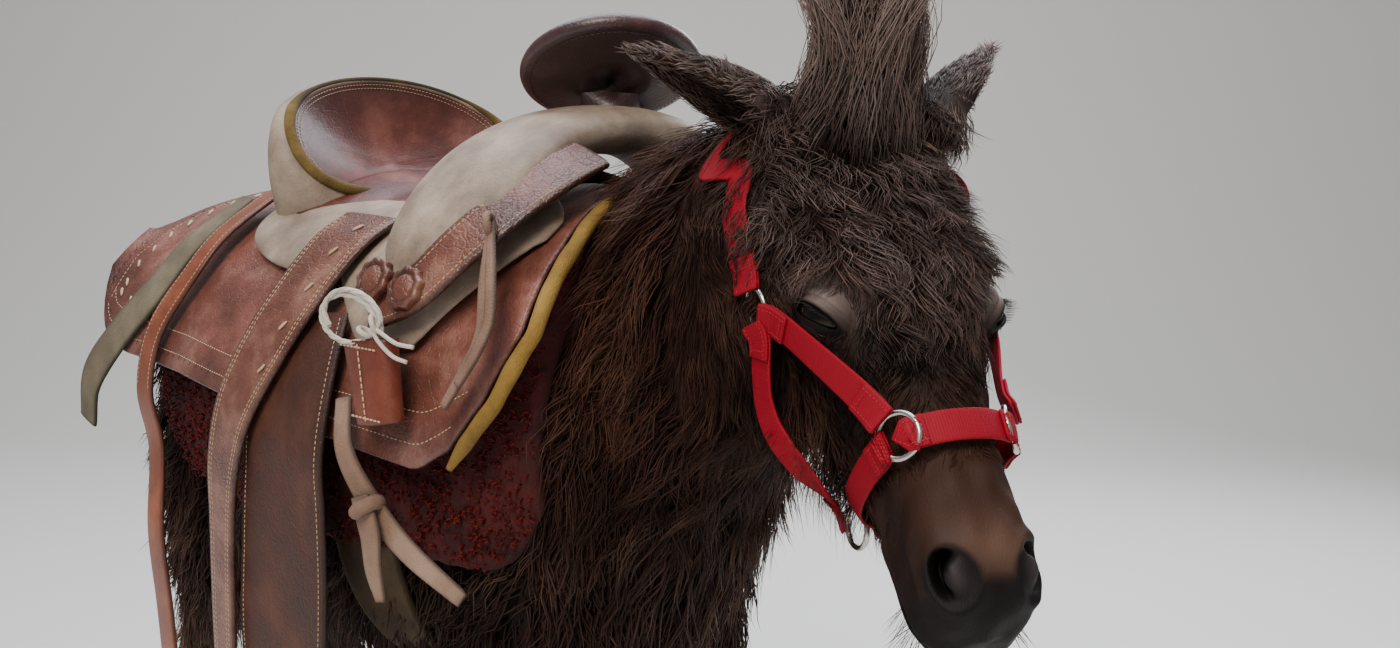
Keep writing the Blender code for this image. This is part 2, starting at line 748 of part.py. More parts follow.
def loft_flat(name, rings, kind):
    """As loft, with end caps of quads between the two halves of a ring, for thin sheets."""
    rings = np.asarray(rings, float)
    count, around = rings.shape[:2]
    faces = []
    for i in range(count - 1):
        for j in range(around):
            k = (j + 1) % around
            faces.append((i * around + j, i * around + k, (i + 1) * around + k, (i + 1) * around + j))
    last = (count - 1) * around
    for j in range(around // 2 - 1):
        k = around - 1 - j
        faces.append((j, k, k - 1, j + 1))
        faces.append((last + j, last + j + 1, last + k - 1, last + k))
    return facing_out(add_object(name, rings.reshape(-1, 3), faces, kind))


def ribbon(name, path, normals, width, inner, outer, kind, count=None):
    """A strap along a path: its middle on the path, its face square to the normals."""
    rows = np.hstack([np.asarray(path, float), np.asarray(normals, float)])
    widths = np.full(len(rows), width) if np.isscalar(width) else np.asarray(width)
    rows = smooth_table(np.hstack([rows, widths[:, None]]), count or 2 * len(rows))
    centre, normal, half = rows[:, :3], rows[:, 3:6], rows[:, 6:] / 2
    along = np.gradient(centre, axis=0)
    along /= np.linalg.norm(along, axis=1)[:, None]
    side = np.cross(along, normal)
    side /= np.linalg.norm(side, axis=1)[:, None]
    normal = np.cross(side, along)
    rings = np.stack([
        centre + side * half + normal * outer,
        centre - side * half + normal * outer,
        centre - side * half - normal * inner,
        centre + side * half - normal * inner,
    ], 1)
    return loft_flat(name, rings, kind)


def torus(name, centre, normal, major, minor, kind, around=10, across=4):
    """A closed ring. Normal is its axis."""
    n = np.asarray(normal, float)
    n /= np.linalg.norm(n)
    u = np.cross(n, (0.3, 0.5, 0.8))
    u /= np.linalg.norm(u)
    v = np.cross(n, u)
    points, faces = [], []
    for i in range(around):
        t = 2 * math.pi * i / around
        outward = math.cos(t) * u + math.sin(t) * v
        for j in range(across):
            s = 2 * math.pi * j / across
            reach = outward * (major + minor * math.cos(s)) + n * minor * math.sin(s)
            points.append(np.asarray(centre) + reach)
            i2, j2 = (i + 1) % around, (j + 1) % across
            faces.append((i * across + j, i2 * across + j, i2 * across + j2, i * across + j2))
    return facing_out(add_object(name, points, faces, kind))


def flank(x, z, side, out):
    """A point on the trunk's side at height z, this far out from its skin."""
    top, bottom, half = row_at(TORSO, x)
    level = bottom + 0.50 * (top - bottom)
    rise = np.where(z > level, top - level, level - bottom) + out
    sine = np.clip(np.abs(z - level) / rise, 0, 0.995) ** (1 / 0.92)
    return np.array([x, side * (half + out) * (1 - sine**2) ** 0.45, z])


def saddle_point(x, angle, out):
    """A point over the trunk, with the back's section held straight past both ends of the saddle."""
    point = torso_point(min(max(x, SADDLE_BACK), SADDLE_FRONT), angle, out)
    point[..., 0] = x
    return point


def draped(name, xs, low_z, start, inner, outer, side, kind, steps=8):
    """A sheet on one side, from near the back's middle down to a height that changes with x.

    Inner and outer give its two faces' distances from the skin, by x and share of the way down.
    """
    rings = []
    for x in xs:
        angles = np.linspace(0, np.pi / 2 + 0.9, 60)
        line = saddle_point(x, np.pi / 2 - angles, outer(x, 1.0))
        end = np.interp(-low_z(x), -line[:, 2], angles)
        share = np.linspace(0, 1, steps)
        down = start + (end - start) * share
        faces = []
        for out in (outer, inner):
            row = np.array([
                saddle_point(x, np.array([np.pi / 2 - d]), out(x, s))[0] for d, s in zip(down, share)
            ])
            row[:, 1] *= side
            faces.append(row)
        rings.append(np.concatenate([faces[0], faces[1][::-1]]))
    return loft_flat(name, rings, kind)


def blanket(beneath):
    """A fleece pad over the back, its lower corners rounded, hanging below the skirts."""
    rings = []
    for x in np.linspace(*BLANKET_X, 10):
        ends = min(x - BLANKET_X[0], BLANKET_X[1] - x)
        lift = 0.05 * max(0.0, 1 - ends / 0.05) ** 2
        angles = np.linspace(0, np.pi / 2 + 0.9, 60)
        line = torso_point(x, np.pi / 2 - angles, BLANKET_OUT)
        end = np.interp(-(BLANKET_LOW + lift), -line[:, 2], angles)
        around = np.linspace(-end, end, 17)
        thin = BLANKET_OUT * (1 - 0.45 * (np.abs(around) / end) ** 6)
        over = np.array([torso_point(x, np.array([np.pi / 2 + a]), o)[0] for a, o in zip(around, thin)])
        under = torso_point(x, np.pi / 2 + around, -0.012)
        rings.append(np.concatenate([over, under[::-1]]))
    return carve(loft_flat("blanket", rings, "fleece"), beneath)


def skirt_low(x):
    """Height of a skirt's lower edge: a long curve that rises to a rounded corner at each end."""
    edge = np.interp(x, (-0.38, -0.30, -0.16, 0.10, 0.22, 0.30), (0.757, 0.733, 0.728, 0.706, 0.690, 0.74))
    back = 0.06 * max(0.0, (-0.345 - x) / 0.04) ** 2
    return float(edge + back)


def skirt_front(z):
    return float(np.interp(z, (0.69, 0.75, 0.805, 0.87, 0.93), (0.238, 0.284, 0.304, 0.292, 0.262)))


def stand_off(share):
    """How far a skirt's leather springs away from the blanket towards its lower edge."""
    return 0.024 * share**2


def skirt_inner(x, share):
    return BLANKET_OUT + 0.0026 + stand_off(share)


def skirt_outer(x, share):
    return skirt_inner(x, share) + LEATHER


def skirt(name, side):
    """One skirt, its front edge trimmed to a slant and its back corner to a curve."""
    stations = np.linspace(-0.385, 0.315, 14)
    sheet = draped(name, stations, skirt_low, 0.10, skirt_inner, skirt_outer, side, "leather")
    zs = np.array([0.60, 0.69, 0.72, 0.76, 0.805, 0.85, 0.90, 0.96])
    edge = np.array([skirt_front(z) for z in zs])
    front = list(zip(edge, zs)) + [(0.6, 0.96), (0.6, 0.60)]
    back = list(SKIRT_BACK) + [(-0.6, 0.96), (-0.6, 0.82)]
    for outline in (front, back):
        points = [(x, y, z) for y in (side * 0.001, side * 0.5) for x, z in outline]
        n = len(outline)
        faces = [tuple(range(n)), tuple(range(2 * n - 1, n - 1, -1))]
        faces += [(i, i + n, (i + 1) % n + n, (i + 1) % n) for i in range(n)]
        boolean(sheet, "DIFFERENCE", [facing_out(add_object("trim", points, faces, "leather"))])
    return largest_surface(sheet)


def skirt_edge(side, count=9, out=0.0):
    """Points down the front edge of a skirt."""
    points = []
    for z in np.linspace(0.914, 0.694, count):
        x = skirt_front(z)
        angles = np.linspace(0, np.pi / 2 + 0.6, 80)
        line = saddle_point(x, np.pi / 2 - angles, BLANKET_OUT + 0.004)
        down = np.interp(-z, -line[:, 2], angles)
        share = down / 1.75
        point = saddle_point(x, np.array([np.pi / 2 - down]), skirt_outer(x, share) + out)[0]
        points.append((x, side * point[1], z))
    return np.array(points)


def skirt_roll(name, side, beneath):
    """The padded roll along the front edge of a skirt."""
    path = skirt_edge(side)
    path[:, 0] += 0.0095
    rows = [(*p, 0.0080, 0.0080) for p in path]
    rings = tube_rings(smooth_table(rows, 11), (0, side, 0), 7)
    return carve(loft(name, rings, "edging"), beneath, TACK_GAP)


def tree_bar(name, side):
    """The bar of the tree: a long pad on the skirt, wider at the front under the fork."""
    rings = []
    t = np.linspace(0, 2 * np.pi, 12, endpoint=False)
    for x in np.linspace(*BAR_X, 13):
        far = abs(x - sum(BAR_X) / 2) / (BAR_X[1] - BAR_X[0]) * 2
        ends = math.sqrt(max(0.05, 1 - min(far, 1.0) ** 5))
        high = math.radians(np.interp(x, *BAR_HIGH))
        low = math.radians(np.interp(x, *BAR_LOW))
        middle = (high + low) / 2
        reach = (low - high) / 2 * ends + 0.02
        down = middle + reach * np.cos(t)
        out = skirt_outer(x, down / 1.75) + 0.0035 + 0.0100 * ends * (1 + np.sin(t))
        row = np.array([saddle_point(x, np.array([np.pi / 2 - d]), o)[0] for d, o in zip(down, out)])
        row[:, 1] *= side
        rings.append(row)
    return loft(name, rings, "rawhide")


def fork(beneath):
    """The fork: a broad arch over the withers, its two arms down on the bars."""
    arch = (
        (0.178, -0.190, 0.838, 0.040, 0.009), (0.184, -0.180, 0.864, 0.058, 0.015),
        (0.190, -0.154, 0.902, 0.066, 0.019), (0.192, -0.112, 0.938, 0.066, 0.020),
        (0.196, -0.060, 0.961, 0.062, 0.021), (0.202, 0.000, 0.968, 0.054, 0.022),
    )
    rows = list(arch) + [(x, -y, z, w, h) for x, y, z, w, h in arch[-2::-1]]
    rows = smooth_table(rows, 17)
    centre = rows[:, :3]
    along = np.gradient(centre, axis=0)
    along /= np.linalg.norm(along, axis=1)[:, None]
    out = np.cross((1.0, 0.0, 0.0), along)
    out /= np.linalg.norm(out, axis=1)[:, None]
    t = np.linspace(0, 2 * np.pi, 12, endpoint=False)
    rings = []
    for c, o, w, h in zip(centre, out, rows[:, 3], rows[:, 4]):
        across = np.outer(w * power(np.cos(t), 0.8), (1, 0, 0))
        rings.append(c + across + np.outer(h * power(np.sin(t), 0.8), o))
    return carve(loft("fork", rings, "rawhide"), beneath, TACK_GAP)


def horn():
    """The horn: a stem and a broad round cap, leaning back and a little to the left."""
    axis = np.array(HORN_AXIS) / np.linalg.norm(HORN_AXIS)
    u = np.cross(axis, (0, 1, 0))
    u /= np.linalg.norm(u)
    v = np.cross(axis, u)
    t = np.linspace(0, 2 * np.pi, 18, endpoint=False)
    circle = np.outer(np.cos(t), u) + np.outer(np.sin(t), v)
    level = np.stack([np.cos(t), np.sin(t), np.zeros_like(t)], -1)
    rings = [np.array((0.204, 0.0, z)) + r * level for z, r in HORN_STEM]
    for height, r in HORN_PLATE:
        rings.append(np.array(HORN) + axis * height + r * circle)
    return loft("horn", rings, "leather")


def cantle_dish(r, t, depth, wide=1.0, drop=0.0):
    """A point on a dish in the cantle's plane: r from the middle to the rim, t around it."""
    up = np.array((-math.sin(math.radians(CANTLE_LEAN)), 0, math.cos(math.radians(CANTLE_LEAN))))
    ahead = np.array((up[2], 0, -up[0]))
    swell = 1 + (wide - 1) * math.sqrt(max(0.0, 1 - r**2))
    sag = 0.020 * r * np.cos(t) ** 2 * np.clip(0.3 - np.sin(t), 0, 1)
    sag = sag + drop * math.sqrt(max(0.0, 1 - r**2)) * np.cos(t) ** 2 * np.clip(0.5 - np.sin(t), 0, 1)
    return (
        np.array(CANTLE)
        + np.outer(CANTLE_HALF[0] * swell * r * np.cos(t), (0, 1, 0))
        + np.outer(CANTLE_HALF[1] * swell * r * np.sin(t), up)
        - depth * (1 - r**2) * ahead
        - np.outer(sag, (0, 0, 1))
    )


def dish(name, front, back, wide, kind, inner_rim, outer_rim, drop=0.0):
    """A closed bowl between two dishes, from their middles out to a rim."""
    t = np.linspace(0, 2 * np.pi, 20, endpoint=False)
    rings = [cantle_dish(r, t, front) for r in (0.08, 0.42, 0.72, inner_rim)]
    rings += [cantle_dish(r, t, back, wide, drop) for r in (outer_rim, 0.86, 0.6, 0.1)]
    return loft(name, rings, kind)


def seat(beneath):
    """The seat's leather between the cantle and the fork, over both bars."""
    rings = []
    for x in np.linspace(-0.10, 0.150, 6):
        y = np.linspace(-0.140, 0.140, 11)
        middle = np.interp(x, (-0.10, -0.03, 0.05, 0.15), (0.930, 0.913, 0.913, 0.935))
        z = middle - 2.1 * y**2 - 12 * y**4
        over = np.stack([np.full_like(y, x), y, z], -1)
        rings.append(np.concatenate([over, (over - (0, 0, 0.007))[::-1]]))
    return carve(loft_flat("seat", rings, "leather"), beneath, 2 * TACK_GAP)


def on_flank(points, side, out):
    """Path points from (x, z) pairs on the side of the saddle, and the outward normals there."""
    path, normals = [], []
    for k, (x, z) in enumerate(points):
        far = out[k] if np.iterable(out) else out
        a = flank(min(max(x, SADDLE_BACK), SADDLE_FRONT), z, side, far)
        a[0] = x
        b = flank(min(max(x, SADDLE_BACK), SADDLE_FRONT), z + 0.01, side, far)
        slope = np.array([0.0, b[1] - a[1], 0.01])
        normal = np.cross((1.0, 0.0, 0.0), slope)
        normal *= side * np.sign(normal[1]) / np.linalg.norm(normal)
        path.append(a)
        normals.append(normal)
    return np.array(path), np.array(normals)


def hanging(path, normals, ends, side):
    """Adds straight points that hang below the last one."""
    more = [(x, side * y, z) for x, y, z in ends]
    return np.vstack([path, more]), np.vstack([normals, [(0, side, 0)] * len(more)])


def strap(name, side, plan, thick, kind, beneath):
    """A strap on the side of the saddle, with an end that hangs free."""
    path, normals = on_flank(plan["upper"], side, plan["out"])
    path, normals = hanging(path, normals, plan["ends"], side)
    band = ribbon(name, path, normals, plan["width"], thick / 2, thick / 2, kind)
    return carve(band, beneath)


def stirrup(name, side):
    """A bent wooden stirrup with a flat tread, open from side to side along the pony."""
    outline = ((0.0, 0.118), (0.022, 0.117), (0.040, 0.100), (0.052, 0.060), (0.056, 0.020), (0.054, 0.006),
               (0.040, 0.000), (0.0, 0.000))
    half = smooth_table(outline, 10)
    loop = np.vstack([half, half[-2:0:-1] * (-1, 1)])
    centre = np.array([0.0, 0.055])
    rings = []
    for y, z in loop:
        inward = centre - (y, z)
        inward /= np.linalg.norm(inward)
        wide = 0.030 + 0.008 * (z < 0.03)
        thick = 0.009
        ring = []
        for dx, depth in ((-wide, 0), (wide, 0), (wide, thick), (-wide, thick)):
            spot = np.array([y, z]) + inward * depth
            ring.append((STIRRUP[0] + dx, side * STIRRUP[1] + spot[0], STIRRUP[2] + spot[1]))
        rings.append(ring)
    rings = np.array(rings)
    count, around = rings.shape[:2]
    faces = []
    for i in range(count):
        n = (i + 1) % count
        for j in range(around):
            k = (j + 1) % around
            faces.append((i * around + j, i * around + k, n * around + k, n * around + j))
    return facing_out(add_object(name, rings.reshape(-1, 3), faces, "rawhide"))


def head_path(spots, out=0.0):
    """Path points and normals from pairs of distance down the head and angle round it, in degrees."""
    path, normals = [], []
    for a, degrees in spots:
        angle = np.array([math.radians(degrees)])
        here = head_point(a, angle, out)[0]
        beside = head_point(a, angle + 0.05, out)[0]
        below = head_point(a + 0.004, angle, out)[0]
        normal = np.cross(beside - here, below - here)
        away = here - on_head(a, 0.0, -0.06)
        normal *= np.sign(normal @ away) / np.linalg.norm(normal)
        path.append(here)
        normals.append(normal)
    return np.array(path), np.array(normals)


def web(name, spots, beneath, out=0.0015, count=None):
    """Halter webbing laid on the head."""
    path, normals = head_path(spots, out)
    return carve(ribbon(name, path, normals, WEB_WIDTH, 0.006, WEB_THICK, "webbing", count), beneath)


def laid(hub, out, beneath, lift):
    """Points just over the outermost surface beneath, seen from a hub along each direction."""
    trees = []
    for obj in beneath:
        edit = bmesh.new()
        edit.from_mesh(obj.data)
        trees.append(BVHTree.FromBMesh(edit))
        edit.free()
    points = []
    for direction in out:
        reach = 0.04
        for tree in trees:
            spot, _, _, away = tree.ray_cast(Vector(hub + direction * 0.4), Vector(-direction))
            if spot is not None:
                reach = max(reach, 0.4 - away)
        points.append(hub + direction * (reach + lift))
    return np.array(points)


def halter(head, neck, others):
    """Cheek straps, noseband, throat and chin straps and a crown, joined by five rings."""
    made = {}
    rings = {
        "ring_upper_right": (0.088, 185, 0.0055, 0.0135),
        "ring_upper_left": (0.088, -5, 0.0055, 0.0135),
        "ring_side_right": (0.247, 151, 0.0055, 0.0150),
        "ring_side_left": (0.247, 29, 0.0055, 0.0150),
    }
    for name, (a, degrees, out, radius) in rings.items():
        path, normals = head_path([(a, degrees)], out)
        made[name] = torus(name, path[0], normals[0], radius, WIRE, "steel")
    under = on_head(0.258, -0.020, -0.138)
    sideways = on_head(0.258, 1.0, -0.138) - under
    made["ring_chin"] = torus("ring_chin", under, sideways, 0.0150, WIRE, "steel")
    steel = list(made.values())
    carve(neck, steel)
    body = [head, neck] + steel
    for name, side in (("right", 1), ("left", -1)):
        turn = (lambda d: 180 - d) if side < 0 else (lambda d: d)
        cheek = [(0.093, turn(184)), (0.140, turn(176)), (0.190, turn(164)), (0.240, turn(153))]
        made["cheek_" + name] = web("cheek_" + name, cheek, body)
        throat = [(0.094, turn(188)), (0.140, turn(203)), (0.178, turn(222)), (0.215, turn(240)),
                  (0.246, turn(258))]
        made["throat_" + name] = web("throat_" + name, throat, body + [made["cheek_" + name]])
    chin = [(0.250, 156), (0.253, 182), (0.256, 212), (0.258, 240), (0.258, 270), (0.258, 300), (0.256, 328),
            (0.253, 358), (0.250, 384)]
    near = [made[n] for n in ("cheek_right", "cheek_left", "throat_right", "throat_left")]
    made["chin_strap"] = web("chin_strap", chin, body + near, count=22)
    nose = [(0.252, d) for d in (148, 136, 124, 112, 100, 90, 80, 68, 56, 44, 32)]
    near = [made[n] for n in ("cheek_right", "cheek_left", "chin_strap")]
    made["noseband"] = web("noseband", nose, body + near, count=20)
    crown = np.array([
        (0.460, -0.104, 0.856), (0.452, -0.116, 0.878), (0.434, -0.122, 0.910), (0.406, -0.104, 0.945),
        (0.396, -0.066, 0.975), (0.395, -0.020, 0.985), (0.414, 0.026, 0.975), (0.440, 0.062, 0.945),
        (0.480, 0.086, 0.908), (0.512, 0.086, 0.880), (0.530, 0.074, 0.858),
    ])
    hub = np.array((0.462, -0.024, 0.858))
    out = crown - hub
    out /= np.linalg.norm(out, axis=1)[:, None]
    crown = laid(hub, out, [head, neck, others[-2]], 0.0035)
    near = [made[n] for n in ("cheek_right", "cheek_left", "throat_right", "throat_left")]
    band = ribbon("crown", crown, out, WEB_WIDTH, 0.002, 0.002, "webbing", 26)
    made["crown"] = carve(band, [head, neck] + others + steel + near, TACK_GAP)
    return made


def hair_core(name, table, across_from, share, around, count, beneath):
    """The inner mass of a tail, mane or forelock: its table's radii times a share."""
    rows = np.array(table, float) * (1, 1, 1, share, share)
    return carve(loft(name, tube_rings(smooth_table(rows, count), across_from, around), "coat"), beneath)


def fork_strap(name, side, beneath):
    """A broad strap down the front edge of the fork, with two scalloped rosettes at its foot."""
    path = np.array([
        (0.274, side * 0.086, 0.943), (0.272, side * 0.116, 0.929), (0.261, side * 0.153, 0.904),
        (0.241, side * 0.190, 0.870), (0.208, side * 0.213, 0.833), (0.162, side * 0.221, 0.815),
    ])
    normals = np.array([
        (0.45, side * 0.25, 0.86), (0.45, side * 0.45, 0.77), (0.40, side * 0.62, 0.67),
        (0.30, side * 0.78, 0.54), (0.15, side * 0.88, 0.44), (0.05, side * 0.90, 0.42),
    ])
    band = ribbon(name, path, normals, 0.038, 0.009, 0.003, "leather", 14)
    carve(band, beneath)
    studs = []
    for spot, size in (((0.206, 0.219, 0.833), 0.018), ((0.168, 0.223, 0.836), 0.016)):
        rings = []
        t = np.linspace(0, 2 * np.pi, 12, endpoint=False)
        scallop = 1 + 0.08 * np.cos(6 * t)
        n = np.array((0.08, side * 0.90, 0.42))
        n /= np.linalg.norm(n)
        u = np.cross(n, (0, 0, 1))
        u /= np.linalg.norm(u)
        v = np.cross(n, u)
        for height, r in ((-0.008, 1.0), (0.004, 1.0)):
            here = np.array((spot[0], side * spot[1], spot[2])) + n * height
            edge = size * r * scallop
            rings.append(here + np.outer(edge * np.cos(t), u) + np.outer(edge * np.sin(t), v))
        studs.append(loft("stud", rings, "leather"))
    boolean(band, "UNION", studs)
    return carve(band, beneath)


def kid_loop(beneath):
    """A leather cup of two panels laced round the saddle's ties."""
    t = np.linspace(0, 2 * np.pi, 16, endpoint=False)
    rings = []
    for share in np.linspace(0, 1, 4):
        z = 0.792 - 0.066 * share
        out = np.array((0.184 + 0.014 * share, -0.238, z))
        wide = 0.032 - 0.008 * share
        ring = [wide * power(np.cos(t), 0.7), 0.013 * power(np.sin(t), 0.9), 0.004 * np.cos(t)]
        rings.append(out + np.stack(ring, -1))
    return carve(loft("kid_loop_right", rings, "leather"), beneath)


def rope_tie(beneath):
    """A white rope in two turns with a knot and a loose end."""
    turns = []
    for k in range(18):
        t = 2 * math.pi * 1.6 * k / 17
        turns.append((
            0.166 + 0.034 * math.cos(t) + 0.0006 * k,
            -0.240 - 0.010 * abs(math.sin(t * 0.5)) - 0.0001 * k,
            0.806 + 0.020 * math.sin(t) + 0.0004 * k,
        ))
    rows = [(*p, 0.0036, 0.0036) for p in turns]
    rope = loft("rope_tie", tube_rings(np.array(rows), (0, 1, 0.2), 5), "rope")
    knot = ball("knot", turns[0], (0.009, 0.008, 0.008), np.eye(3), "rope", 10, 6)
    boolean(rope, "UNION", [knot])
    return carve(largest_surface(rope), beneath)


def thong(name, points, width, thick, kind, beneath, knots):
    """A soft leather tie along points on the right side, with its knots."""
    path = np.array(points)
    normals = np.array([(0.0, -1.0, 0.25)] * len(path))
    made = ribbon(name, path, normals, width, thick / 2, thick / 2, kind)
    balls = [ball("knot", k, (0.011, 0.008, 0.010), np.eye(3), kind, 10, 6) for k in knots]
    boolean(made, "UNION", balls)
    return carve(made, beneath)


def ring_tube(name, path, radius, kind, around=5):
    """A round tube along a closed path."""
    path = np.asarray(path)
    along = np.roll(path, -1, 0) - np.roll(path, 1, 0)
    along /= np.linalg.norm(along, axis=1)[:, None]
    middle = path.mean(0)
    out = path - middle
    out -= along * (out * along).sum(1)[:, None]
    out /= np.linalg.norm(out, axis=1)[:, None]
    up = np.cross(along, out)
    points, faces = [], []
    count = len(path)
    for i in range(count):
        for j in range(around):
            t = 2 * math.pi * j / around
            points.append(path[i] + radius * (math.cos(t) * out[i] + math.sin(t) * up[i]))
            n, k = (i + 1) % count, (j + 1) % around
            faces.append((i * around + j, n * around + j, n * around + k, i * around + k))
    return facing_out(add_object(name, points, faces, kind))


def cinch(beneath):
    """A broad girth under the chest from skirt to skirt, with a ring at each end."""
    rings = []
    for angle in np.linspace(math.radians(-4), math.radians(-176), 18):
        row = []
        for way, out in ((1, 0.0095), (-1, 0.0095), (-1, -0.006), (1, -0.006)):
            x = GIRTH_X + way * GIRTH_WIDTH / 2
            row.append(torso_point(x, np.array([angle]), out)[0])
        rings.append(row)
    return carve(loft_flat("cinch", rings, "fabric"), beneath, TACK_GAP)


def tree_of(obj):
    """A search tree over an object's surface."""
    edit = bmesh.new()
    edit.from_mesh(obj.data)
    tree = BVHTree.FromBMesh(edit)
    edit.free()
    return tree


def spots_on(obj, count, spacing, seed, keep):
    """Seeded places on a surface with the normals there, at least a spacing apart, where keep allows."""
    rng = np.random.default_rng(seed)
    mesh = obj.data
    mesh.calc_loop_triangles()
    points = np.array([v.co[:] for v in mesh.vertices])
    corners = points[np.array([t.vertices[:] for t in mesh.loop_triangles])]
    normals = np.cross(corners[:, 1] - corners[:, 0], corners[:, 2] - corners[:, 0])
    area = np.linalg.norm(normals, axis=1)
    chosen = rng.choice(len(area), size=80 * count, p=area / area.sum())
    u, v = rng.random((2, len(chosen)))
    over = u + v > 1
    u[over], v[over] = 1 - u[over], 1 - v[over]
    tri = corners[chosen]
    places = tri[:, 0] + u[:, None] * (tri[:, 1] - tri[:, 0]) + v[:, None] * (tri[:, 2] - tri[:, 0])
    outward = normals[chosen] / area[chosen][:, None]
    kept = []
    for place, normal in zip(places, outward):
        if len(kept) == count:
            break
        if keep(place, normal) and all(np.linalg.norm(place - k[0]) > spacing for k in kept):
            kept.append((place, normal))
    return kept


def blade(path, facing, widths, thicks):
    """A flat tapered lock: a low three-sided section at each point of its path but the last, its tip."""
    along = np.gradient(path, axis=0)
    along /= np.linalg.norm(along, axis=1)[:, None]
    side = np.cross(facing, along)
    side /= np.linalg.norm(side, axis=1)[:, None]
    face = np.cross(along, side)
    rings = np.stack([
        path + side * widths[:, None] / 2 - face * thicks[:, None] / 3,
        path + face * thicks[:, None] * 2 / 3,
        path - side * widths[:, None] / 2 - face * thicks[:, None] / 3,
    ], 1)[:-1]
    points = np.vstack([rings.reshape(-1, 3), path[-1:]])
    faces = [(0, 1, 2)]
    for i in range(len(rings) - 1):
        faces += [(3 * i + j, 3 * i + (j + 1) % 3, 3 * i + 3 + (j + 1) % 3, 3 * i + 3 + j) for j in range(3)]
    last = 3 * len(rings)
    faces += [(last - 3 + j, last - 3 + (j + 1) % 3, last) for j in range(3)]
    return points, faces


def lying_lock(tree, place, normal, way, size, rng, scale):
    """A lock that starts under the surface, follows it along its way, bends, and lifts towards its tip."""
    length, width, thick, lift = np.array(size) * rng.uniform(0.85, 1.15) * (scale, scale**0.5, 1.0, scale)
    hang = 1.0 if normal[2] < -0.62 else 0.0
    lie = way - (1 - hang) * normal * (way @ normal)
    lie /= np.linalg.norm(lie)
    across = np.cross(normal, lie)
    across /= max(np.linalg.norm(across), 1e-6)
    lie = lie + across * rng.uniform(-0.3, 0.3)
    bend = rng.choice((-1, 1)) * rng.uniform(0.08, 0.24) * length
    path, facing = [], []
    rises = (-0.9 * thick, 0.25 * thick, 0.25 * thick + 0.35 * lift, lift)
    for share, rise in zip((-0.06, 0.30, 0.66, 1.0), rises):
        spot = place + lie * length * share + across * bend * share**2
        turned = normal
        if not hang:
            near, surface, _, _ = tree.find_nearest(Vector(spot), 0.3)
            spot, turned = np.array(near), np.array(surface)
        path.append(spot + turned * rise)
        facing.append(turned if not hang else across)
    shares = np.array((0.80, 1.0, 0.66, 0.0))
    return blade(np.array(path), np.array(facing), width * shares, thick * np.array((0.9, 1.0, 0.75, 0.0)))


def clump(place, normal, way, size, rng, scale):
    """A rounded tuft of curls: a five-sided dome, leaned a little and turned at random."""
    _, width, height, _ = np.array(size) * rng.uniform(0.85, 1.15) * scale
    lie = way - normal * (way @ normal)
    lie /= np.linalg.norm(lie)
    across = np.cross(normal, lie)
    turn = rng.uniform(0, 2 * np.pi)
    t = turn + np.linspace(0, 2 * np.pi, 5, endpoint=False)
    rings = []
    for share, rise in ((0.94, -0.6), (1.0, 0.20), (0.62, 0.84)):
        middle = place + normal * height * rise + lie * height * 0.35 * max(rise, 0)
        rings.append(middle + width / 2 * share * (np.outer(np.cos(t), lie) + np.outer(np.sin(t), across)))
    points = np.vstack([np.concatenate(rings), [place + normal * height * 1.1 + lie * height * 0.45]])
    faces = [(4, 3, 2, 1, 0)]
    for i in (0, 5):
        faces += [(i + j, i + (j + 1) % 5, i + 5 + (j + 1) % 5, i + 5 + j) for j in range(5)]
    faces += [(10 + j, 10 + (j + 1) % 5, 15) for j in range(5)]
    return points, faces


def stays_clear(points, faces, sunk, trees):
    """True where a lock past its root is above the floor, outside every tree and crosses none of them."""
    for point in points[sunk:]:
        if point[2] < 0.004 or any(tree.find_nearest(Vector(point), LOCK_CLEAR)[0] for tree in trees):
            return False
    lines = {tuple(sorted((a, b))) for face in faces for a in face for b in face if a != b}
    for a, b in sorted(lines):
        start, step = Vector(points[a]), Vector(points[b] - points[a])
        if any(tree.ray_cast(start, step.normalized(), step.length)[0] for tree in trees):
            return False
    return True


def near_trees(obj, reach=0.12):
    """Search trees of every other object whose box comes near this one's."""
    low, high = np.array(obj.bound_box[0]) - reach, np.array(obj.bound_box[6]) + reach
    found = []
    for other in bpy.data.objects:
        first, last = np.array(other.bound_box[0]), np.array(other.bound_box[6])
        if other != obj and (first < high).all() and (last > low).all():
            found.append(tree_of(other))
    return found


def fuse_locks(obj, shapes):
    """Joins the locks to their node in one step."""
    if shapes:
        boolean(obj, "UNION", [facing_out(add_object("lock", p, f, "coat")) for p, f in shapes])
        largest_surface(obj)


def coat_locks(obj, groups, seed):
    """Grows groups of locks on one node. A group is a size, a count, a spacing, a way and where it grows."""
    rng = np.random.default_rng(seed)
    trees, own = near_trees(obj), tree_of(obj)
    shapes = []
    for k, (size, count, spacing, way, keep) in enumerate(groups):
        for place, normal in spots_on(obj, count, spacing, seed + k, keep):
            for scale in (1.0, 0.7, 0.45):
                lie = np.array(way(place))
                if size == "curl":
                    points, faces = clump(place, normal, lie, LOCKS[size], rng, scale)
                else:
                    points, faces = lying_lock(own, place, normal, lie, LOCKS[size], rng, scale)
                if stays_clear(points, faces, 5 if size == "curl" else 3, trees):
                    shapes.append((points, faces))
                    break
    fuse_locks(obj, shapes)


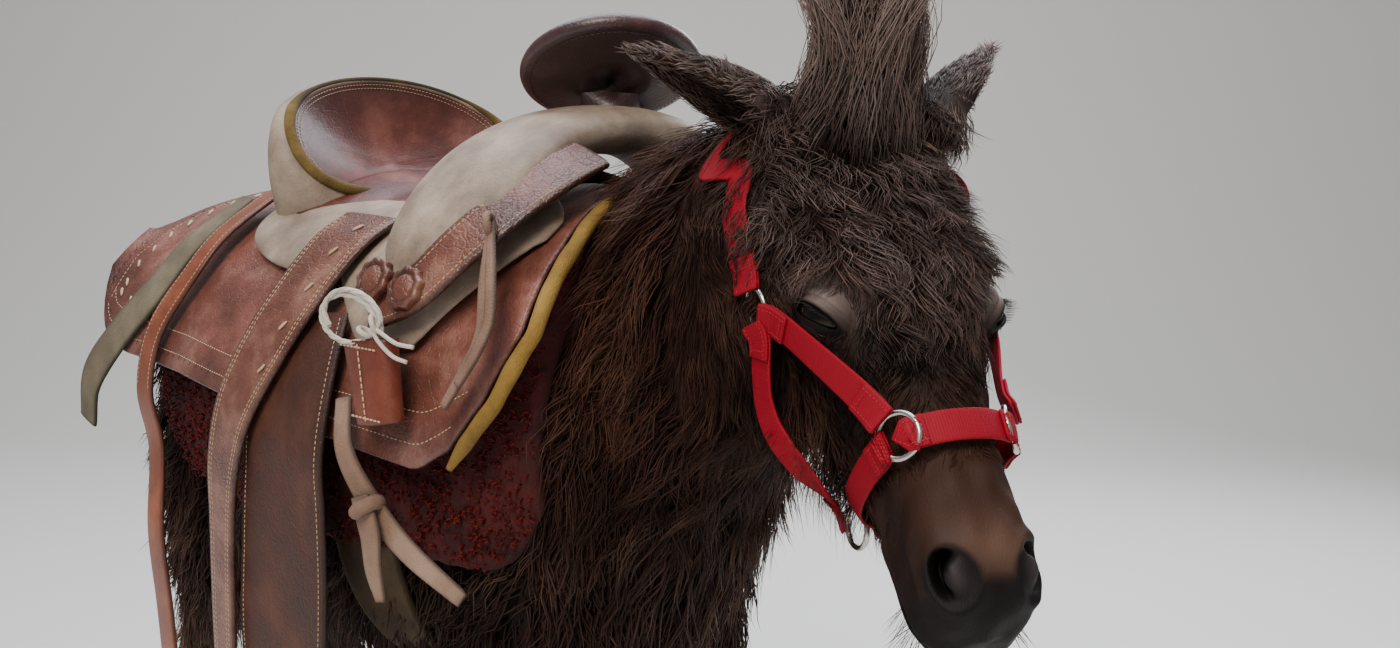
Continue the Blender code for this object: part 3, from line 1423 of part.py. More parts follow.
def strand_locks(obj, table, across_from, size, count, seed, spread=(0.0, 0.62), reach=0.45, curl=0.0):
    """Long locks round a tapered core: each leaves the core and runs along it out to the table's radius."""
    rng = np.random.default_rng(seed)
    rows = smooth_table(table, 60)
    along = np.gradient(rows[:, :3], axis=0)
    along /= np.linalg.norm(along, axis=1)[:, None]
    side = np.cross(along, across_from)
    side /= np.linalg.norm(side, axis=1)[:, None]
    up = np.cross(side, along)
    trees = near_trees(obj)
    _, width, thick, _ = LOCKS[size]
    shapes = []
    for k in range(count):
        start = spread[0] + (spread[1] - spread[0]) * ((k + rng.uniform(0.2, 0.8)) / count)
        turn = k * 2.39996 + rng.uniform(-0.4, 0.4)
        for scale in (1.0, 0.75, 0.5):
            long = min(reach * scale * rng.uniform(0.85, 1.15), 1.02 - start)
            path, facing = [], []
            for share, out in ((0.0, 0.15), (0.30, 0.74), (0.68, 1.0), (1.0, 0.95)):
                i = min(int(59 * (start + long * share)), 59)
                angle = turn + 0.5 * share * rng.uniform(-1, 1)
                radial = rows[i, 3] * math.sin(angle) * up[i] + rows[i, 4] * math.cos(angle) * side[i]
                flare = 1 + curl * share**2
                path.append(rows[i, :3] + radial * out * flare + along[i] * 0.006 * (share == 1.0))
                facing.append(radial / np.linalg.norm(radial))
            w = width * rng.uniform(0.85, 1.15) * np.array((0.7, 1.0, 0.85, 0.0))
            t = thick * np.array((0.8, 1.0, 0.85, 0.0))
            points, faces = blade(np.array(path), np.array(facing), w, t)
            if stays_clear(points, faces, 3, trees):
                shapes.append((points, faces))
                break
    fuse_locks(obj, shapes)


def lighten(obj, share):
    """Drops the least needed triangles of a carved piece."""
    fewer = obj.modifiers.new("fewer", "DECIMATE")
    fewer.ratio = share
    return apply_modifiers(obj)


def on_forehead(place, _):
    """True over the forehead, poll and brows, clear of the eyes and below the ears."""
    poll, e_a, e_l, e_o = head_axes()
    a, left, out = (place - poll) @ e_a, (place - poll) @ e_l, (place - poll) @ e_o
    eye = math.hypot(a - EYE[0], out - EYE[2])
    return -0.02 < a < 0.215 - 0.9 * abs(left) and out > -0.055 and (eye > 0.034 or abs(left) < 0.036)


def on_jaw(place, _):
    """True along the cheek and the underside of the jaw behind the chin strap."""
    poll, e_a, _, e_o = head_axes()
    a, out = (place - poll) @ e_a, (place - poll) @ e_o
    return 0.0 < a < 0.21 and out < -0.075


def grow_coat(nodes):
    """The long winter coat: locks on the neck, trunk and legs, curls on the forehead, and the long hair."""
    legs = ("foreleg_right", "foreleg_left", "hindleg_right", "hindleg_left")

    def down_back(place):
        return (-0.45, 0.10 * np.sign(place[1]), -0.85)

    def down(place):
        return (-0.22, 0.0, -0.97)

    def hang(place):
        return (-0.30, 0.10 * np.sign(place[1]), -0.95)

    def along_face(place):
        _, e_a, e_l, _ = head_axes()
        side = np.sign((place - np.array(POLL)) @ e_l)
        return e_a * 0.8 + e_l * 0.5 * side

    def jaw_way(place):
        _, e_a, _, e_o = head_axes()
        return e_a * 0.5 - e_o * 0.7

    strand_locks(nodes["mane"], MANE, (0, 0, 1), "strand", 8, 3, (0.0, 0.62), 0.42, 0.35)
    strand_locks(nodes["forelock"], FORELOCK, (1, 0, 0), "crest", 12, 5, (0.05, 0.58), 0.46, 0.06)
    strand_locks(nodes["tail"], TAIL, (1, 0, 0), "tail", 11, 7, (0.05, 0.66), 0.42, 0.10)
    coat_locks(nodes["head"], [
        ("curl", 22, 0.0265, along_face, on_forehead),
        ("short", 6, 0.034, jaw_way, on_jaw),
    ], 11)
    coat_locks(nodes["neck"], [
        ("long", 30, 0.040, down_back, lambda place, n: True),
    ], 21)
    coat_locks(nodes["torso"], [
        ("long", 12, 0.044, down, lambda place, n: place[0] > 0.27),
        ("long", 16, 0.056, down_back, lambda place, n: place[0] < -0.28 and n[2] > -0.5),
        ("fringe", 11, 0.060, hang, lambda place, n: n[2] < -0.62 and place[2] < 0.60),
        ("long", 8, 0.060, down_back,
         lambda place, n: abs(n[1]) > 0.5 and -0.28 < place[0] < 0.27 and place[2] < 0.60),
    ], 31)
    for k, name in enumerate(legs):
        coat_locks(nodes[name], [
            ("short", 5, 0.055, down, lambda place, n: place[2] > 0.13 and abs(n[2]) < 0.8),
            ("feather", 3, 0.026, down, lambda place, n: 0.06 < place[2] < 0.14 and n[0] < -0.2),
        ], 41 + 10 * k)


def main():
    clear_scene()
    nodes = part_body(fuse_body())
    head, eyes = shape_head()
    nodes["head"] = head
    nodes.update(eyes)
    carve(nodes["neck"], [head])
    for name, side in SIDES:
        nodes["ear_" + name] = ear("ear_" + name, side)
        carve(nodes["ear_" + name], [head, nodes["neck"]])
        nodes["hoof_fore_" + name] = hoof("hoof_fore_" + name, FORELEG, side)
        nodes["hoof_hind_" + name] = hoof("hoof_hind_" + name, HINDLEG, side)
    ears = [nodes["ear_right"], nodes["ear_left"]]
    beneath = [head, nodes["neck"], nodes["torso"]] + ears
    nodes["mane"] = hair_core("mane", MANE, (0, 0, 1), 0.72, 10, 9, beneath)
    beneath = [head, nodes["neck"], nodes["mane"]] + ears
    rows = FORELOCK[:4] + FORELOCK[5:]
    nodes["forelock"] = hair_core("forelock", rows, (1, 0, 0), 0.62, 10, 8, beneath)
    nodes["tail"] = hair_core("tail", TAIL[:-1], (1, 0, 0), 0.62, 10, 11, [nodes["torso"]])
    trunk = [nodes["torso"], nodes["neck"]]

    pad = blanket(trunk + [nodes["mane"]])
    skirts, bars = {}, {}
    for name, side in SIDES:
        skirts[name] = carve(skirt("skirt_" + name, side), [pad] + trunk, TACK_GAP)
        bars[name] = tree_bar("tree_bar_" + name, side)
    low = list(skirts.values()) + list(bars.values()) + [pad]
    arch = fork(low)
    carve(horn(), [arch])
    cup = carve(dish("seat_cup", 0.044, 0.050, 1.0, "leather", 0.975, 0.985), low)
    shell = dish("cantle_shell", 0.0520, 0.098, 1.60, "rawhide", 0.990, 1.0, 0.10)
    carve(shell, [cup] + low, 2 * TACK_GAP)
    t = np.linspace(0, 2 * np.pi, 23)
    rim = [cantle_dish(1.075, np.array([a]), 0.0)[0] for a in t[:-1]]
    roll = carve(ring_tube("cantle_roll", rim, 0.0060, "edging"), [cup, shell] + low, 2 * TACK_GAP)
    middle = seat(low + [arch, cup, shell, roll])
    base = low + [arch, cup, shell, roll, middle]
    for name, side in SIDES:
        edge = skirt_roll("skirt_roll_" + name, side, [skirts[name], pad, bars[name], arch] + trunk)
        arcion = strap("arcion_" + name, side, ARCION, LEATHER, "leather", base + [edge])
        fender = strap("fender_" + name, side, FENDER, LEATHER, "leather", base + [edge, arcion])
        carve(stirrup("stirrup_" + name, side), [fender, arcion])
        fork_strap("fork_strap_" + name, side, base + [edge, arcion])
        long = strap("rear_strap_" + name, side, REAR_STRAP, THIN_LEATHER, "leather", base)
        strap("rear_billet_" + name, side, REAR_BILLET, THIN_LEATHER, "suede", base + [long])
    cinch(low + [bpy.data.objects["fender_" + n] for n in ("right", "left")] + trunk
          + [nodes["foreleg_right"], nodes["foreleg_left"]])
    near = base + [
        bpy.data.objects[n + "_right"] for n in ("arcion", "fender", "fork_strap", "skirt_roll")
    ]
    loop = kid_loop(near)
    tie = rope_tie(near + [loop])
    latigo = thong("latigo_right", LATIGO, 0.017, 0.0035, "suede", near + [loop, tie], LATIGO_KNOTS)
    thong("saddle_string_right", STRING, 0.012, 0.004, "suede", near + [latigo, loop], STRING_KNOTS)
    halter(head, nodes["neck"], ears + [nodes["mane"], nodes["forelock"]])
    for name, share in LIGHTER.items():
        lighten(bpy.data.objects[name], share)
    grow_coat(nodes)
    finish()


def finish():
    """Moves the whole pony so that the frame's origin is midway along and across it."""
    for obj in bpy.data.objects:
        obj.data.transform(Matrix.Translation((-CENTRE_X, -CENTRE_Y, 0)))
        obj.data.update()


if __name__ == "__main__":
    main()
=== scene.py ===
# A small dark pony at rest, with its stock saddle, blanket and red halter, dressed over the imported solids.
# Metres, +X towards the head, +Y the pony's left, +Z up. Tables are written with the withers' origin and
# moved by frameShift as each mesh is made, so that they read like the solids' own sizes.
import math

import bmesh
import bpy
import numpy as np
from mathutils import Matrix, Vector, kdtree
from mathutils.bvhtree import BVHTree


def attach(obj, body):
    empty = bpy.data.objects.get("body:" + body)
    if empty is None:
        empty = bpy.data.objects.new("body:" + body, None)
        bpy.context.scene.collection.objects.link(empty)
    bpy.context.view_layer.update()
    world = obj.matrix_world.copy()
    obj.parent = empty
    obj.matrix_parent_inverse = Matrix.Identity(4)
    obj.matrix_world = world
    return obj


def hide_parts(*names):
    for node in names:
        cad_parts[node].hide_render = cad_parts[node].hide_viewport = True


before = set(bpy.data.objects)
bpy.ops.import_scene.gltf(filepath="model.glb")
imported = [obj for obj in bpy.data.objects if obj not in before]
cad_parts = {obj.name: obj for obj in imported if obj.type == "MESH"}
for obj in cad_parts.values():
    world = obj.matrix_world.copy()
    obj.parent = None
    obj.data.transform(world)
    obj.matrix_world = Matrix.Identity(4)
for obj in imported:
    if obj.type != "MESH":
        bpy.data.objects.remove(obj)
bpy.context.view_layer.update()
frameShift = np.array([-0.057, 0.0, 0.0])
fineness = 1.0
tau = 2 * math.pi
straightBack = 0.24  # beyond this x, fore and aft, the saddle keeps the trunk's section
hairLimit = 190000  # triangles in one piece of coat
cameraAzimuth = math.radians(43.0)


# small tools

def linear(hexColour):
    # sRGB hex to linear light, with full alpha
    parts = np.array([int(hexColour[i:i + 2], 16) / 255 for i in (1, 3, 5)])
    light = np.where(parts <= 0.04045, parts / 12.92, ((parts + 0.055) / 1.055) ** 2.4)
    return (*light.tolist(), 1.0)


def setInputs(node, **values):
    for key, value in values.items():
        node.inputs[key.replace("_", " ")].default_value = value


def addNode(tree, kind, links=None, **settings):
    # one node with its settings; links go from another node's output to this node's input
    node = tree.nodes.new(kind)
    for key, value in settings.items():
        if hasattr(node, key):
            setattr(node, key, value)
        else:
            setInputs(node, **{key: value})
    for target, source in (links or {}).items():
        tree.links.new(source, node.inputs[target])
    return node


def newMaterial(name):
    material = bpy.data.materials.new(name)
    material.use_nodes = True
    tree = material.node_tree
    return material, tree, tree.nodes["Principled BSDF"]


def rampNode(tree, source, stops):
    # a colour ramp from (place, hex) pairs
    ramp = addNode(tree, "ShaderNodeValToRGB", {"Fac": source})
    line = ramp.color_ramp
    while len(line.elements) < len(stops):
        line.elements.new(0.5)
    for element, (place, colour) in zip(line.elements, stops):
        element.position = place
        element.color = linear(colour)
    return ramp.outputs["Color"]


def smoothRows(table, count):
    # rows of a table at even steps of their running index, on a Catmull-Rom curve
    rows = np.array(table, float)
    rows = np.vstack([2 * rows[0] - rows[1], rows, 2 * rows[-1] - rows[-2]])
    spots = np.linspace(0, len(table) - 1 - 1e-9, count)
    i = np.floor(spots).astype(int)
    t = (spots - i)[:, None]
    a, b, c, d = rows[i], rows[i + 1], rows[i + 2], rows[i + 3]
    return 0.5 * (2 * b + (c - a) * t + (2 * a - 5 * b + 4 * c - d) * t**2 + (3 * b - a - 3 * c + d) * t**3)


def columnsAt(table, values):
    # every column after the first, at the given values of the first column
    rows = smoothRows(table, 12 * len(table))
    return [np.interp(values, rows[:, 0], rows[:, k]) for k in range(1, rows.shape[1])]


def unit(vectors):
    return vectors / np.maximum(np.linalg.norm(vectors, axis=-1, keepdims=True), 1e-9)


def lengthsAlong(line):
    # distance from the first point to each point of a line
    return np.concatenate([[0], np.cumsum(np.linalg.norm(np.diff(line, axis=0), axis=1))])


def power(value, exponent):
    return np.sign(value) * np.abs(value) ** exponent


def waves(points, size, seed):
    # smooth noise from about -1 to 1: six sine waves of random direction, added
    rng = np.random.default_rng(seed)
    turn = unit(rng.normal(size=(6, 3))).T * tau / size * rng.uniform(0.6, 1.7, 6)
    return np.sin(points @ turn + rng.uniform(0, tau, 6)).sum(-1) / 2.6


def paint(layer, colours):
    # writes linear colours, one for each point, with full alpha
    whole = np.hstack([colours, np.ones((len(colours), 1))])
    layer.data.foreach_set("color", whole.astype(np.float32).ravel())


def makePiece(name, points, faceSets, material, uv=None, attributes=None, smooth=True, map="uv"):
    # a mesh object from whole arrays: points, face arrays of 3 or 4 corners, a uv and values for each point
    mesh = bpy.data.meshes.new(name)
    points = np.asarray(points, float).reshape(-1, 3) + frameShift
    faceSets = [np.asarray(f, np.int32) for f in faceSets if len(f)]
    corners = np.concatenate([f.ravel() for f in faceSets])
    sizes = np.concatenate([np.full(len(f), f.shape[1]) for f in faceSets])
    mesh.vertices.add(len(points))
    mesh.vertices.foreach_set("co", points.astype(np.float32).ravel())
    mesh.loops.add(len(corners))
    mesh.loops.foreach_set("vertex_index", corners)
    mesh.polygons.add(len(sizes))
    mesh.polygons.foreach_set("loop_start", np.concatenate([[0], np.cumsum(sizes)[:-1]]).astype(np.int32))
    mesh.polygons.foreach_set("use_smooth", np.full(len(sizes), smooth))
    mesh.update(calc_edges=True)
    if uv is not None:
        layer = mesh.uv_layers.new(name=map)
        layer.data.foreach_set("uv", np.asarray(uv, np.float32).reshape(-1, 2)[corners].ravel())
    for key, values in (attributes or {}).items():
        values = np.asarray(values, np.float32)
        if values.ndim == 2:
            paint(mesh.color_attributes.new(key, "FLOAT_COLOR", "POINT"), values)
        else:
            mesh.attributes.new(key, "FLOAT", "POINT").data.foreach_set("value", values)
    piece = bpy.data.objects.new(name, mesh)
    bpy.context.scene.collection.objects.link(piece)
    mesh.materials.append(material)
    return piece


def gridFaces(rows, columns, closed=False):
    # quads over a grid of rows and columns, wrapped round its columns where closed
    i, j = np.meshgrid(np.arange(rows - 1), np.arange(columns if closed else columns - 1), indexing="ij")
    i, j = i.ravel(), j.ravel()
    k = (j + 1) % columns
    return np.stack([i * columns + j, i * columns + k, (i + 1) * columns + k, (i + 1) * columns + j], 1)


def loopFaces(rows, columns):
    # quads over a grid that is wrapped round both ways
    i, j = np.meshgrid(np.arange(rows), np.arange(columns), indexing="ij")
    n, k = (i + 1) % rows, (j + 1) % columns
    return np.stack([i * columns + j, i * columns + k, n * columns + k, n * columns + j], -1).reshape(-1, 4)


def fixNormals(piece):
    # merges doubles and turns the faces outwards
    edit = bmesh.new()
    edit.from_mesh(piece.data)
    bmesh.ops.remove_doubles(edit, verts=edit.verts, dist=1e-6)
    bmesh.ops.recalc_face_normals(edit, faces=edit.faces)
    edit.to_mesh(piece.data)
    edit.free()
    return piece


def tubePiece(name, rings, material, uv=None, attributes=None):
    # rings of equal count joined into one closed surface, each end closed by a fan to its middle
    rings = np.asarray(rings, float)
    rows, around = rings.shape[:2]
    points = np.vstack([rings.reshape(-1, 3), rings[0].mean(0), rings[-1].mean(0)])
    j = np.arange(around)
    k = (j + 1) % around
    ends = np.concatenate([
        np.stack([np.full(around, rows * around), k, j], 1),
        np.stack([np.full(around, rows * around + 1), (rows - 1) * around + j, (rows - 1) * around + k], 1),
    ])
    if uv is not None:
        uv = np.vstack([uv.reshape(-1, 2), uv[0].mean(0), uv[-1].mean(0)])
    attributes = {k2: np.concatenate([v.reshape(rows * around, -1).squeeze(), np.zeros(2)])
                  for k2, v in (attributes or {}).items()}
    return fixNormals(makePiece(name, points, [gridFaces(rows, around, True), ends], material, uv,
                                attributes))


def frames(centre, towards):
    # unit vectors along a path, to its side and upwards, the up vector as near as it can be to towards
    along = unit(np.gradient(centre, axis=0))
    side = unit(np.cross(along, towards))
    return along, side, np.cross(side, along)


def onRoot(piece, slot, *nodes):
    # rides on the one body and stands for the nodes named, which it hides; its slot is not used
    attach(piece, "root")
    if nodes:
        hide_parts(*nodes)
    return piece


# the pony's own sizes

body = {
    # x, top, bottom and half width of the trunk
    "torso": (
        (-0.480, 0.740, 0.640, 0.045), (-0.455, 0.800, 0.585, 0.105), (-0.400, 0.852, 0.545, 0.148),
        (-0.310, 0.880, 0.515, 0.172), (-0.180, 0.880, 0.480, 0.188), (-0.040, 0.862, 0.452, 0.198),
        (0.090, 0.868, 0.445, 0.192), (0.190, 0.892, 0.455, 0.176), (0.268, 0.886, 0.495, 0.154),
        (0.320, 0.862, 0.550, 0.118), (0.362, 0.805, 0.605, 0.082), (0.386, 0.735, 0.650, 0.040),
    ),
    # centre, radius across the neck and radius from side to side
    "neck": (
        (0.220, 0.000, 0.710, 0.140, 0.110), (0.296, -0.012, 0.770, 0.142, 0.105),
        (0.366, -0.028, 0.822, 0.132, 0.098), (0.430, -0.036, 0.852, 0.124, 0.090),
        (0.478, -0.036, 0.876, 0.112, 0.082), (0.515, -0.038, 0.884, 0.096, 0.070),
    ),
    # centre, radius along and radius across, down one leg
    "foreleg": (
        (0.223, 0.088, 0.680, 0.080, 0.050), (0.226, 0.100, 0.580, 0.072, 0.056),
        (0.228, 0.098, 0.490, 0.058, 0.050), (0.234, 0.094, 0.400, 0.046, 0.042),
        (0.238, 0.090, 0.330, 0.038, 0.036), (0.240, 0.088, 0.290, 0.039, 0.037),
        (0.236, 0.088, 0.245, 0.030, 0.028), (0.233, 0.088, 0.160, 0.027, 0.025),
        (0.233, 0.088, 0.108, 0.033, 0.029), (0.242, 0.088, 0.072, 0.030, 0.028),
        (0.250, 0.088, 0.048, 0.036, 0.036), (0.253, 0.088, 0.036, 0.034, 0.033),
    ),
    "hindleg": (
        (-0.340, 0.085, 0.740, 0.095, 0.050), (-0.325, 0.106, 0.640, 0.112, 0.064),
        (-0.315, 0.112, 0.550, 0.098, 0.062), (-0.335, 0.108, 0.470, 0.070, 0.052),
        (-0.375, 0.102, 0.400, 0.050, 0.042), (-0.410, 0.098, 0.350, 0.043, 0.036),
        (-0.420, 0.096, 0.310, 0.040, 0.034), (-0.414, 0.094, 0.250, 0.031, 0.028),
        (-0.408, 0.092, 0.170, 0.028, 0.026), (-0.404, 0.092, 0.108, 0.034, 0.030),
        (-0.394, 0.092, 0.072, 0.031, 0.028), (-0.384, 0.092, 0.048, 0.037, 0.036),
        (-0.381, 0.092, 0.036, 0.035, 0.034),
    ),
    "voxel": 0.00840,
    "coatDepth": 0.010,  # how far the skin lies inside the solids where the coat is long
}

head = {
    "poll": (0.500, -0.020, 0.965),
    "yaw": -26.0,
    "pitch": 52.0,
    # distance from the poll, top, bottom and half width in the head's own frame
    "sections": (
        (-0.045, -0.040, -0.085, 0.025), (-0.030, -0.012, -0.118, 0.054), (0.010, 0.006, -0.150, 0.076),
        (0.060, 0.014, -0.166, 0.082), (0.110, 0.016, -0.170, 0.081), (0.155, 0.011, -0.163, 0.071),
        (0.197, 0.003, -0.147, 0.057), (0.238, -0.002, -0.125, 0.046), (0.280, -0.004, -0.109, 0.041),
        (0.316, -0.007, -0.103, 0.042), (0.344, -0.014, -0.100, 0.042), (0.366, -0.028, -0.092, 0.035),
        (0.377, -0.046, -0.078, 0.018),
    ),
    "eye": (0.1475, 0.0575, -0.0275),
    "eyeOut": (0.8, 0.6),
    "eyeRadius": 0.0208,
    "eyeSlant": 38.0,  # degrees from the face's own length to the slit's
    "slit": (0.0190, 0.0050, -0.0042),  # half length, half height and how low it sits on the ball
    "nostril": (0.342, 0.0335, -0.022),
    "nostrilWay": (0.42, 0.62, 0.66),  # the way it faces: down the face, to its side and out of it
    "nostrilHalf": (0.0105, 0.0135),  # of the crescent slit round the soft fold, across and along
    "mouth": (0.285, 0.370, -0.080),
    "stations": 290,
    "around": 240,
}

ears = {"base": (-0.010, 0.064, -0.010), "ahead": {1: 0.008, -1: -0.010}, "length": 0.116,
        "lean": {1: (-0.50, 0.74), -1: (-0.46, 0.50)}}


def headAxes():
    # the poll, then unit vectors down the face, to its left and out of it
    yaw, pitch = math.radians(head["yaw"]), math.radians(head["pitch"])
    along = np.array([math.cos(pitch) * math.cos(yaw), math.cos(pitch) * math.sin(yaw), -math.sin(pitch)])
    left = np.array([-math.sin(yaw), math.cos(yaw), 0.0])
    return np.array(head["poll"]), along, left, np.cross(along, left)


poll, faceWay, faceLeft, faceOut = headAxes()


def onHead(a, left, out):
    # a point from its distances down the face, to the left and out of it
    a, left, out = (np.asarray(value, float)[..., None] for value in (a, left, out))
    return poll + a * faceWay + left * faceLeft + out * faceOut


def headLocal(points):
    return (points - poll) @ np.stack([faceWay, faceLeft, faceOut], 1)


def headPoint(a, angle, out=0.0):
    # section of the head at distance a: a squared oval, narrowed at the jaw; angle 0 is the left side
    a, angle = np.broadcast_arrays(np.asarray(a, float), np.asarray(angle, float))
    top, bottom, half = columnsAt(head["sections"], a)
    level = bottom + 0.60 * (top - bottom)
    c, s = np.cos(angle), np.sin(angle)
    jaw = np.clip((0.22 - a) / 0.12, 0, 1)
    narrow = np.where(s < 0, 1 - 0.26 * jaw * s**2, 1.0)
    left = (half + out) * power(c, 0.84) * narrow
    rise = level + (np.where(s > 0, top - level, level - bottom) + out) * power(s, 0.84)
    return poll + a[..., None] * faceWay + left[..., None] * faceLeft + rise[..., None] * faceOut


def torsoPoint(x, angle, out=0.0):
    # section of the trunk at x; angle 0 is the left side and a quarter turn the back
    x, angle, out = np.broadcast_arrays(np.asarray(x, float), np.asarray(angle, float),
                                        np.asarray(out, float))
    top, bottom, half = columnsAt(body["torso"], x)
    level = bottom + 0.50 * (top - bottom)
    c, s = np.cos(angle), np.sin(angle)
    rise = np.where(s > 0, top - level, level - bottom)
    return np.stack([x, (half + out) * power(c, 0.90), level + (rise + out) * power(s, 0.92)], -1)


def saddlePoint(x, angle, out):
    # a point over the trunk, with the back held straight past both ends of the saddle
    point = torsoPoint(np.clip(x, -straightBack, straightBack), angle, out)
    point[..., 0] = x
    return point


def flankPoint(x, z, side, out):
    # a point on the trunk's side at height z, this far out from its skin
    x, z, out = np.broadcast_arrays(np.asarray(x, float), np.asarray(z, float), np.asarray(out, float))
    top, bottom, half = columnsAt(body["torso"], np.clip(x, -straightBack, straightBack))
    level = bottom + 0.50 * (top - bottom)
    rise = np.where(z > level, top - level, level - bottom) + out
    sine = np.clip(np.abs(z - level) / rise, 0, 0.995) ** (1 / 0.92)
    return np.stack([x, side * (half + out) * (1 - sine**2) ** 0.45, z], -1)


def ringsAlong(rows, towards, around):
    # oval rings square to a path; each row is a centre, a radius upwards and one to the side
    _, side, up = frames(rows[:, :3], towards)
    t = np.linspace(0, tau, around, endpoint=False)
    return (rows[:, None, :3] + rows[:, 3, None, None] * np.sin(t)[None, :, None] * up[:, None]
            + rows[:, 4, None, None] * np.cos(t)[None, :, None] * side[:, None])


# colours of the coat, shared by skin and hair

coatColours = {
    "dark": "#150b07", "brown": "#37201a", "red": "#523023", "tan": "#8a6a54", "greyAndSkyLight": "#75645f",
    "lid": "#8f807a", "muzzle": "#472c20", "paintedNoseHighlight": "#7c5d4c", "nose": "#151011", "foldSheen": "#4a4445",
    "nearBlack": "#070404",
}


def coatTint(points, shade=0.0, along=0.0):
    # colour of the coat at a place: dark brown, redder by the shoulder, tan wisps, grey curls with painted
    # sky light on the top of the head, a dark nose with a painted highlight above it, painted sheen on lids
    # and nostril folds, and painted shade in the nostrils and round the eyes
    tints = {name: np.array(linear(colour)[:3]) for name, colour in coatColours.items()}
    points = np.asarray(points, float)
    shade, along = np.broadcast_to(shade, len(points)), np.broadcast_to(along, len(points))

    def mix(first, second, share):
        share = np.clip(share, 0, 1)[:, None]
        return first * (1 - share) + tints[second] * share

    local = headLocal(points)
    onFace = (np.clip((local[:, 0] + 0.03) / 0.05, 0, 1) * (np.abs(local[:, 1]) < 0.12)
              * (local[:, 2] > -0.20))
    colour = np.broadcast_to(tints["dark"], (len(points), 3)).copy()
    colour = mix(colour, "brown", 0.45 + 0.40 * waves(points, 0.16, 1) + 0.30 * waves(points, 0.05, 7)
                 + 0.25 * along)
    shoulder = np.exp(-((points[:, 0] - 0.34) / 0.10) ** 2 - ((points[:, 2] - 0.83) / 0.12) ** 2)
    colour = mix(colour, "red", 0.75 * shoulder * (0.5 + along))
    colour = mix(colour, "tan", 0.50 * along**2 * np.clip(waves(points, 0.05, 2) + 0.15, 0, 1))
    colour = mix(colour, "tan", 0.55 * np.clip((-points[:, 0] - 0.30) / 0.10, 0, 1)
                 * np.clip((0.55 - points[:, 2]) / 0.15, 0, 1) * np.clip(0.6 + waves(points, 0.09, 3), 0, 1))
    # grey on the top of the forehead, more towards the tips: partly the hair's own grey, partly painted sky
    # light on the top of the head
    forehead = (onFace * np.clip((0.20 - local[:, 0]) / 0.06, 0, 1)
                * np.clip((local[:, 2] + 0.06) / 0.05, 0, 1))
    colour = mix(colour, "greyAndSkyLight", forehead * (0.20 + 0.45 * along + 0.22 * waves(points, 0.045, 11)))
    # painted sky light: the highest hair of poll and crown made greyer, by height alone
    crown = np.clip((points[:, 2] - 0.925) / 0.04, 0, 1) * (points[:, 0] > 0.44)
    colour = mix(colour, "greyAndSkyLight", 0.35 * crown * (0.4 + along))
    bridge = (onFace * np.clip((local[:, 0] - 0.20) / 0.04, 0, 1)
              * np.clip((0.335 - local[:, 0]) / 0.03, 0, 1))
    # the muzzle's own brown, full on top and faded down its sides: the fade is painted shade on the sides,
    # away from the light above
    colour = mix(colour, "muzzle", 0.85 * bridge * np.clip((local[:, 2] + 0.058) / 0.035, 0.12, 1))
    # painted highlight: a paler patch on top of the nose, where light from above falls
    noseHighlightMask = (np.exp(-((local[:, 0] - 0.328) / 0.018) ** 2 - (local[:, 1] / 0.030) ** 2)
               * (local[:, 2] > -0.05))
    colour = mix(colour, "paintedNoseHighlight", 0.75 * onFace * noseHighlightMask)
    nose = np.clip((local[:, 0] - 0.341) / 0.008, 0, 1)
    for turn in (1, -1):
        spot, inward, upward, away = nostrilFrame(turn)
        off = points - spot
        x, y = off @ inward, off @ upward
        near = np.abs(off @ away) < 0.035
        reach = np.hypot((x - 0.002) / 0.0185, (y + 0.003) / 0.0225)
        nose = np.maximum(nose, near * np.clip((1.12 - reach) / 0.22, 0, 1))
    colour = mix(colour, "nose", 0.97 * nose * onFace)
    colour = mix(colour, "nose", 0.60 * onFace * np.clip((local[:, 0] - 0.310) / 0.03, 0, 1)
                 * np.clip((-0.050 - local[:, 2]) / 0.02, 0, 1))
    for turn in (1, -1):  # painted shade inside the sunken slit, and a painted sheen, greyer, on the fold beside it
        spot, inward, upward, away = nostrilFrame(turn)
        off = points - spot
        x, y, deep = off @ inward, off @ upward, off @ away
        # painted sheen: the moist fold made a lighter grey
        fold = (np.exp(-((x - 0.0062) / 0.0055) ** 2 - (y / 0.0100) ** 2) * (deep > -0.012)
                * (np.abs(deep) < 0.03))
        colour = mix(colour, "foldSheen", 0.80 * fold)
        # painted shade: near black inside the sunken slit
        round_ = np.hypot((x - 0.0030) / head["nostrilHalf"][0], y / head["nostrilHalf"][1])
        turned = (np.arctan2(y, x - 0.0030) - math.radians(150) + math.pi) % tau - math.pi
        inside = (np.exp(-np.abs((round_ - 0.92) / 0.33) ** 4) * np.exp(-np.abs(turned / 1.35) ** 4)
                  * (np.abs(deep) < 0.03))
        colour = mix(colour, "nearBlack", 0.95 * inside)
    for turn in (1, -1):
        centre, alongSlit, up, outward = eyeFrame(turn)
        off = points - centre
        x, y, ahead = off @ alongSlit, off @ up, off @ outward
        level = ahead > 0.002
        # the bare upper lid: its own grey skin, made lighter by a painted sheen
        above = (np.exp(-((y - 0.0110) / 0.0100) ** 2 - ((x + 0.005) / 0.021) ** 2) * level
                 * (np.hypot(x, y) < 0.045))
        colour = mix(colour, "lid", 1.25 * above * (1 - 0.4 * along))
        # the dark lid margin round the slit, carried a few millimetres beyond it as painted shade round the
        # eye
        long, high, low = head["slit"]
        ring = np.hypot(x / (long + 0.0024), (y - low + 0.0012) / (high + 0.0026)) + 3 * ~level
        colour = mix(colour, "nearBlack", np.clip((1.12 - ring) / 0.16, 0, 1) * (1 - along))
    low = np.clip((0.40 - points[:, 2]) / 0.25, 0, 1) * (1 - onFace)
    colour = mix(colour, "nearBlack", 0.55 * low)
    return colour * (1 + np.clip(shade, -0.6, 1.2))[:, None]


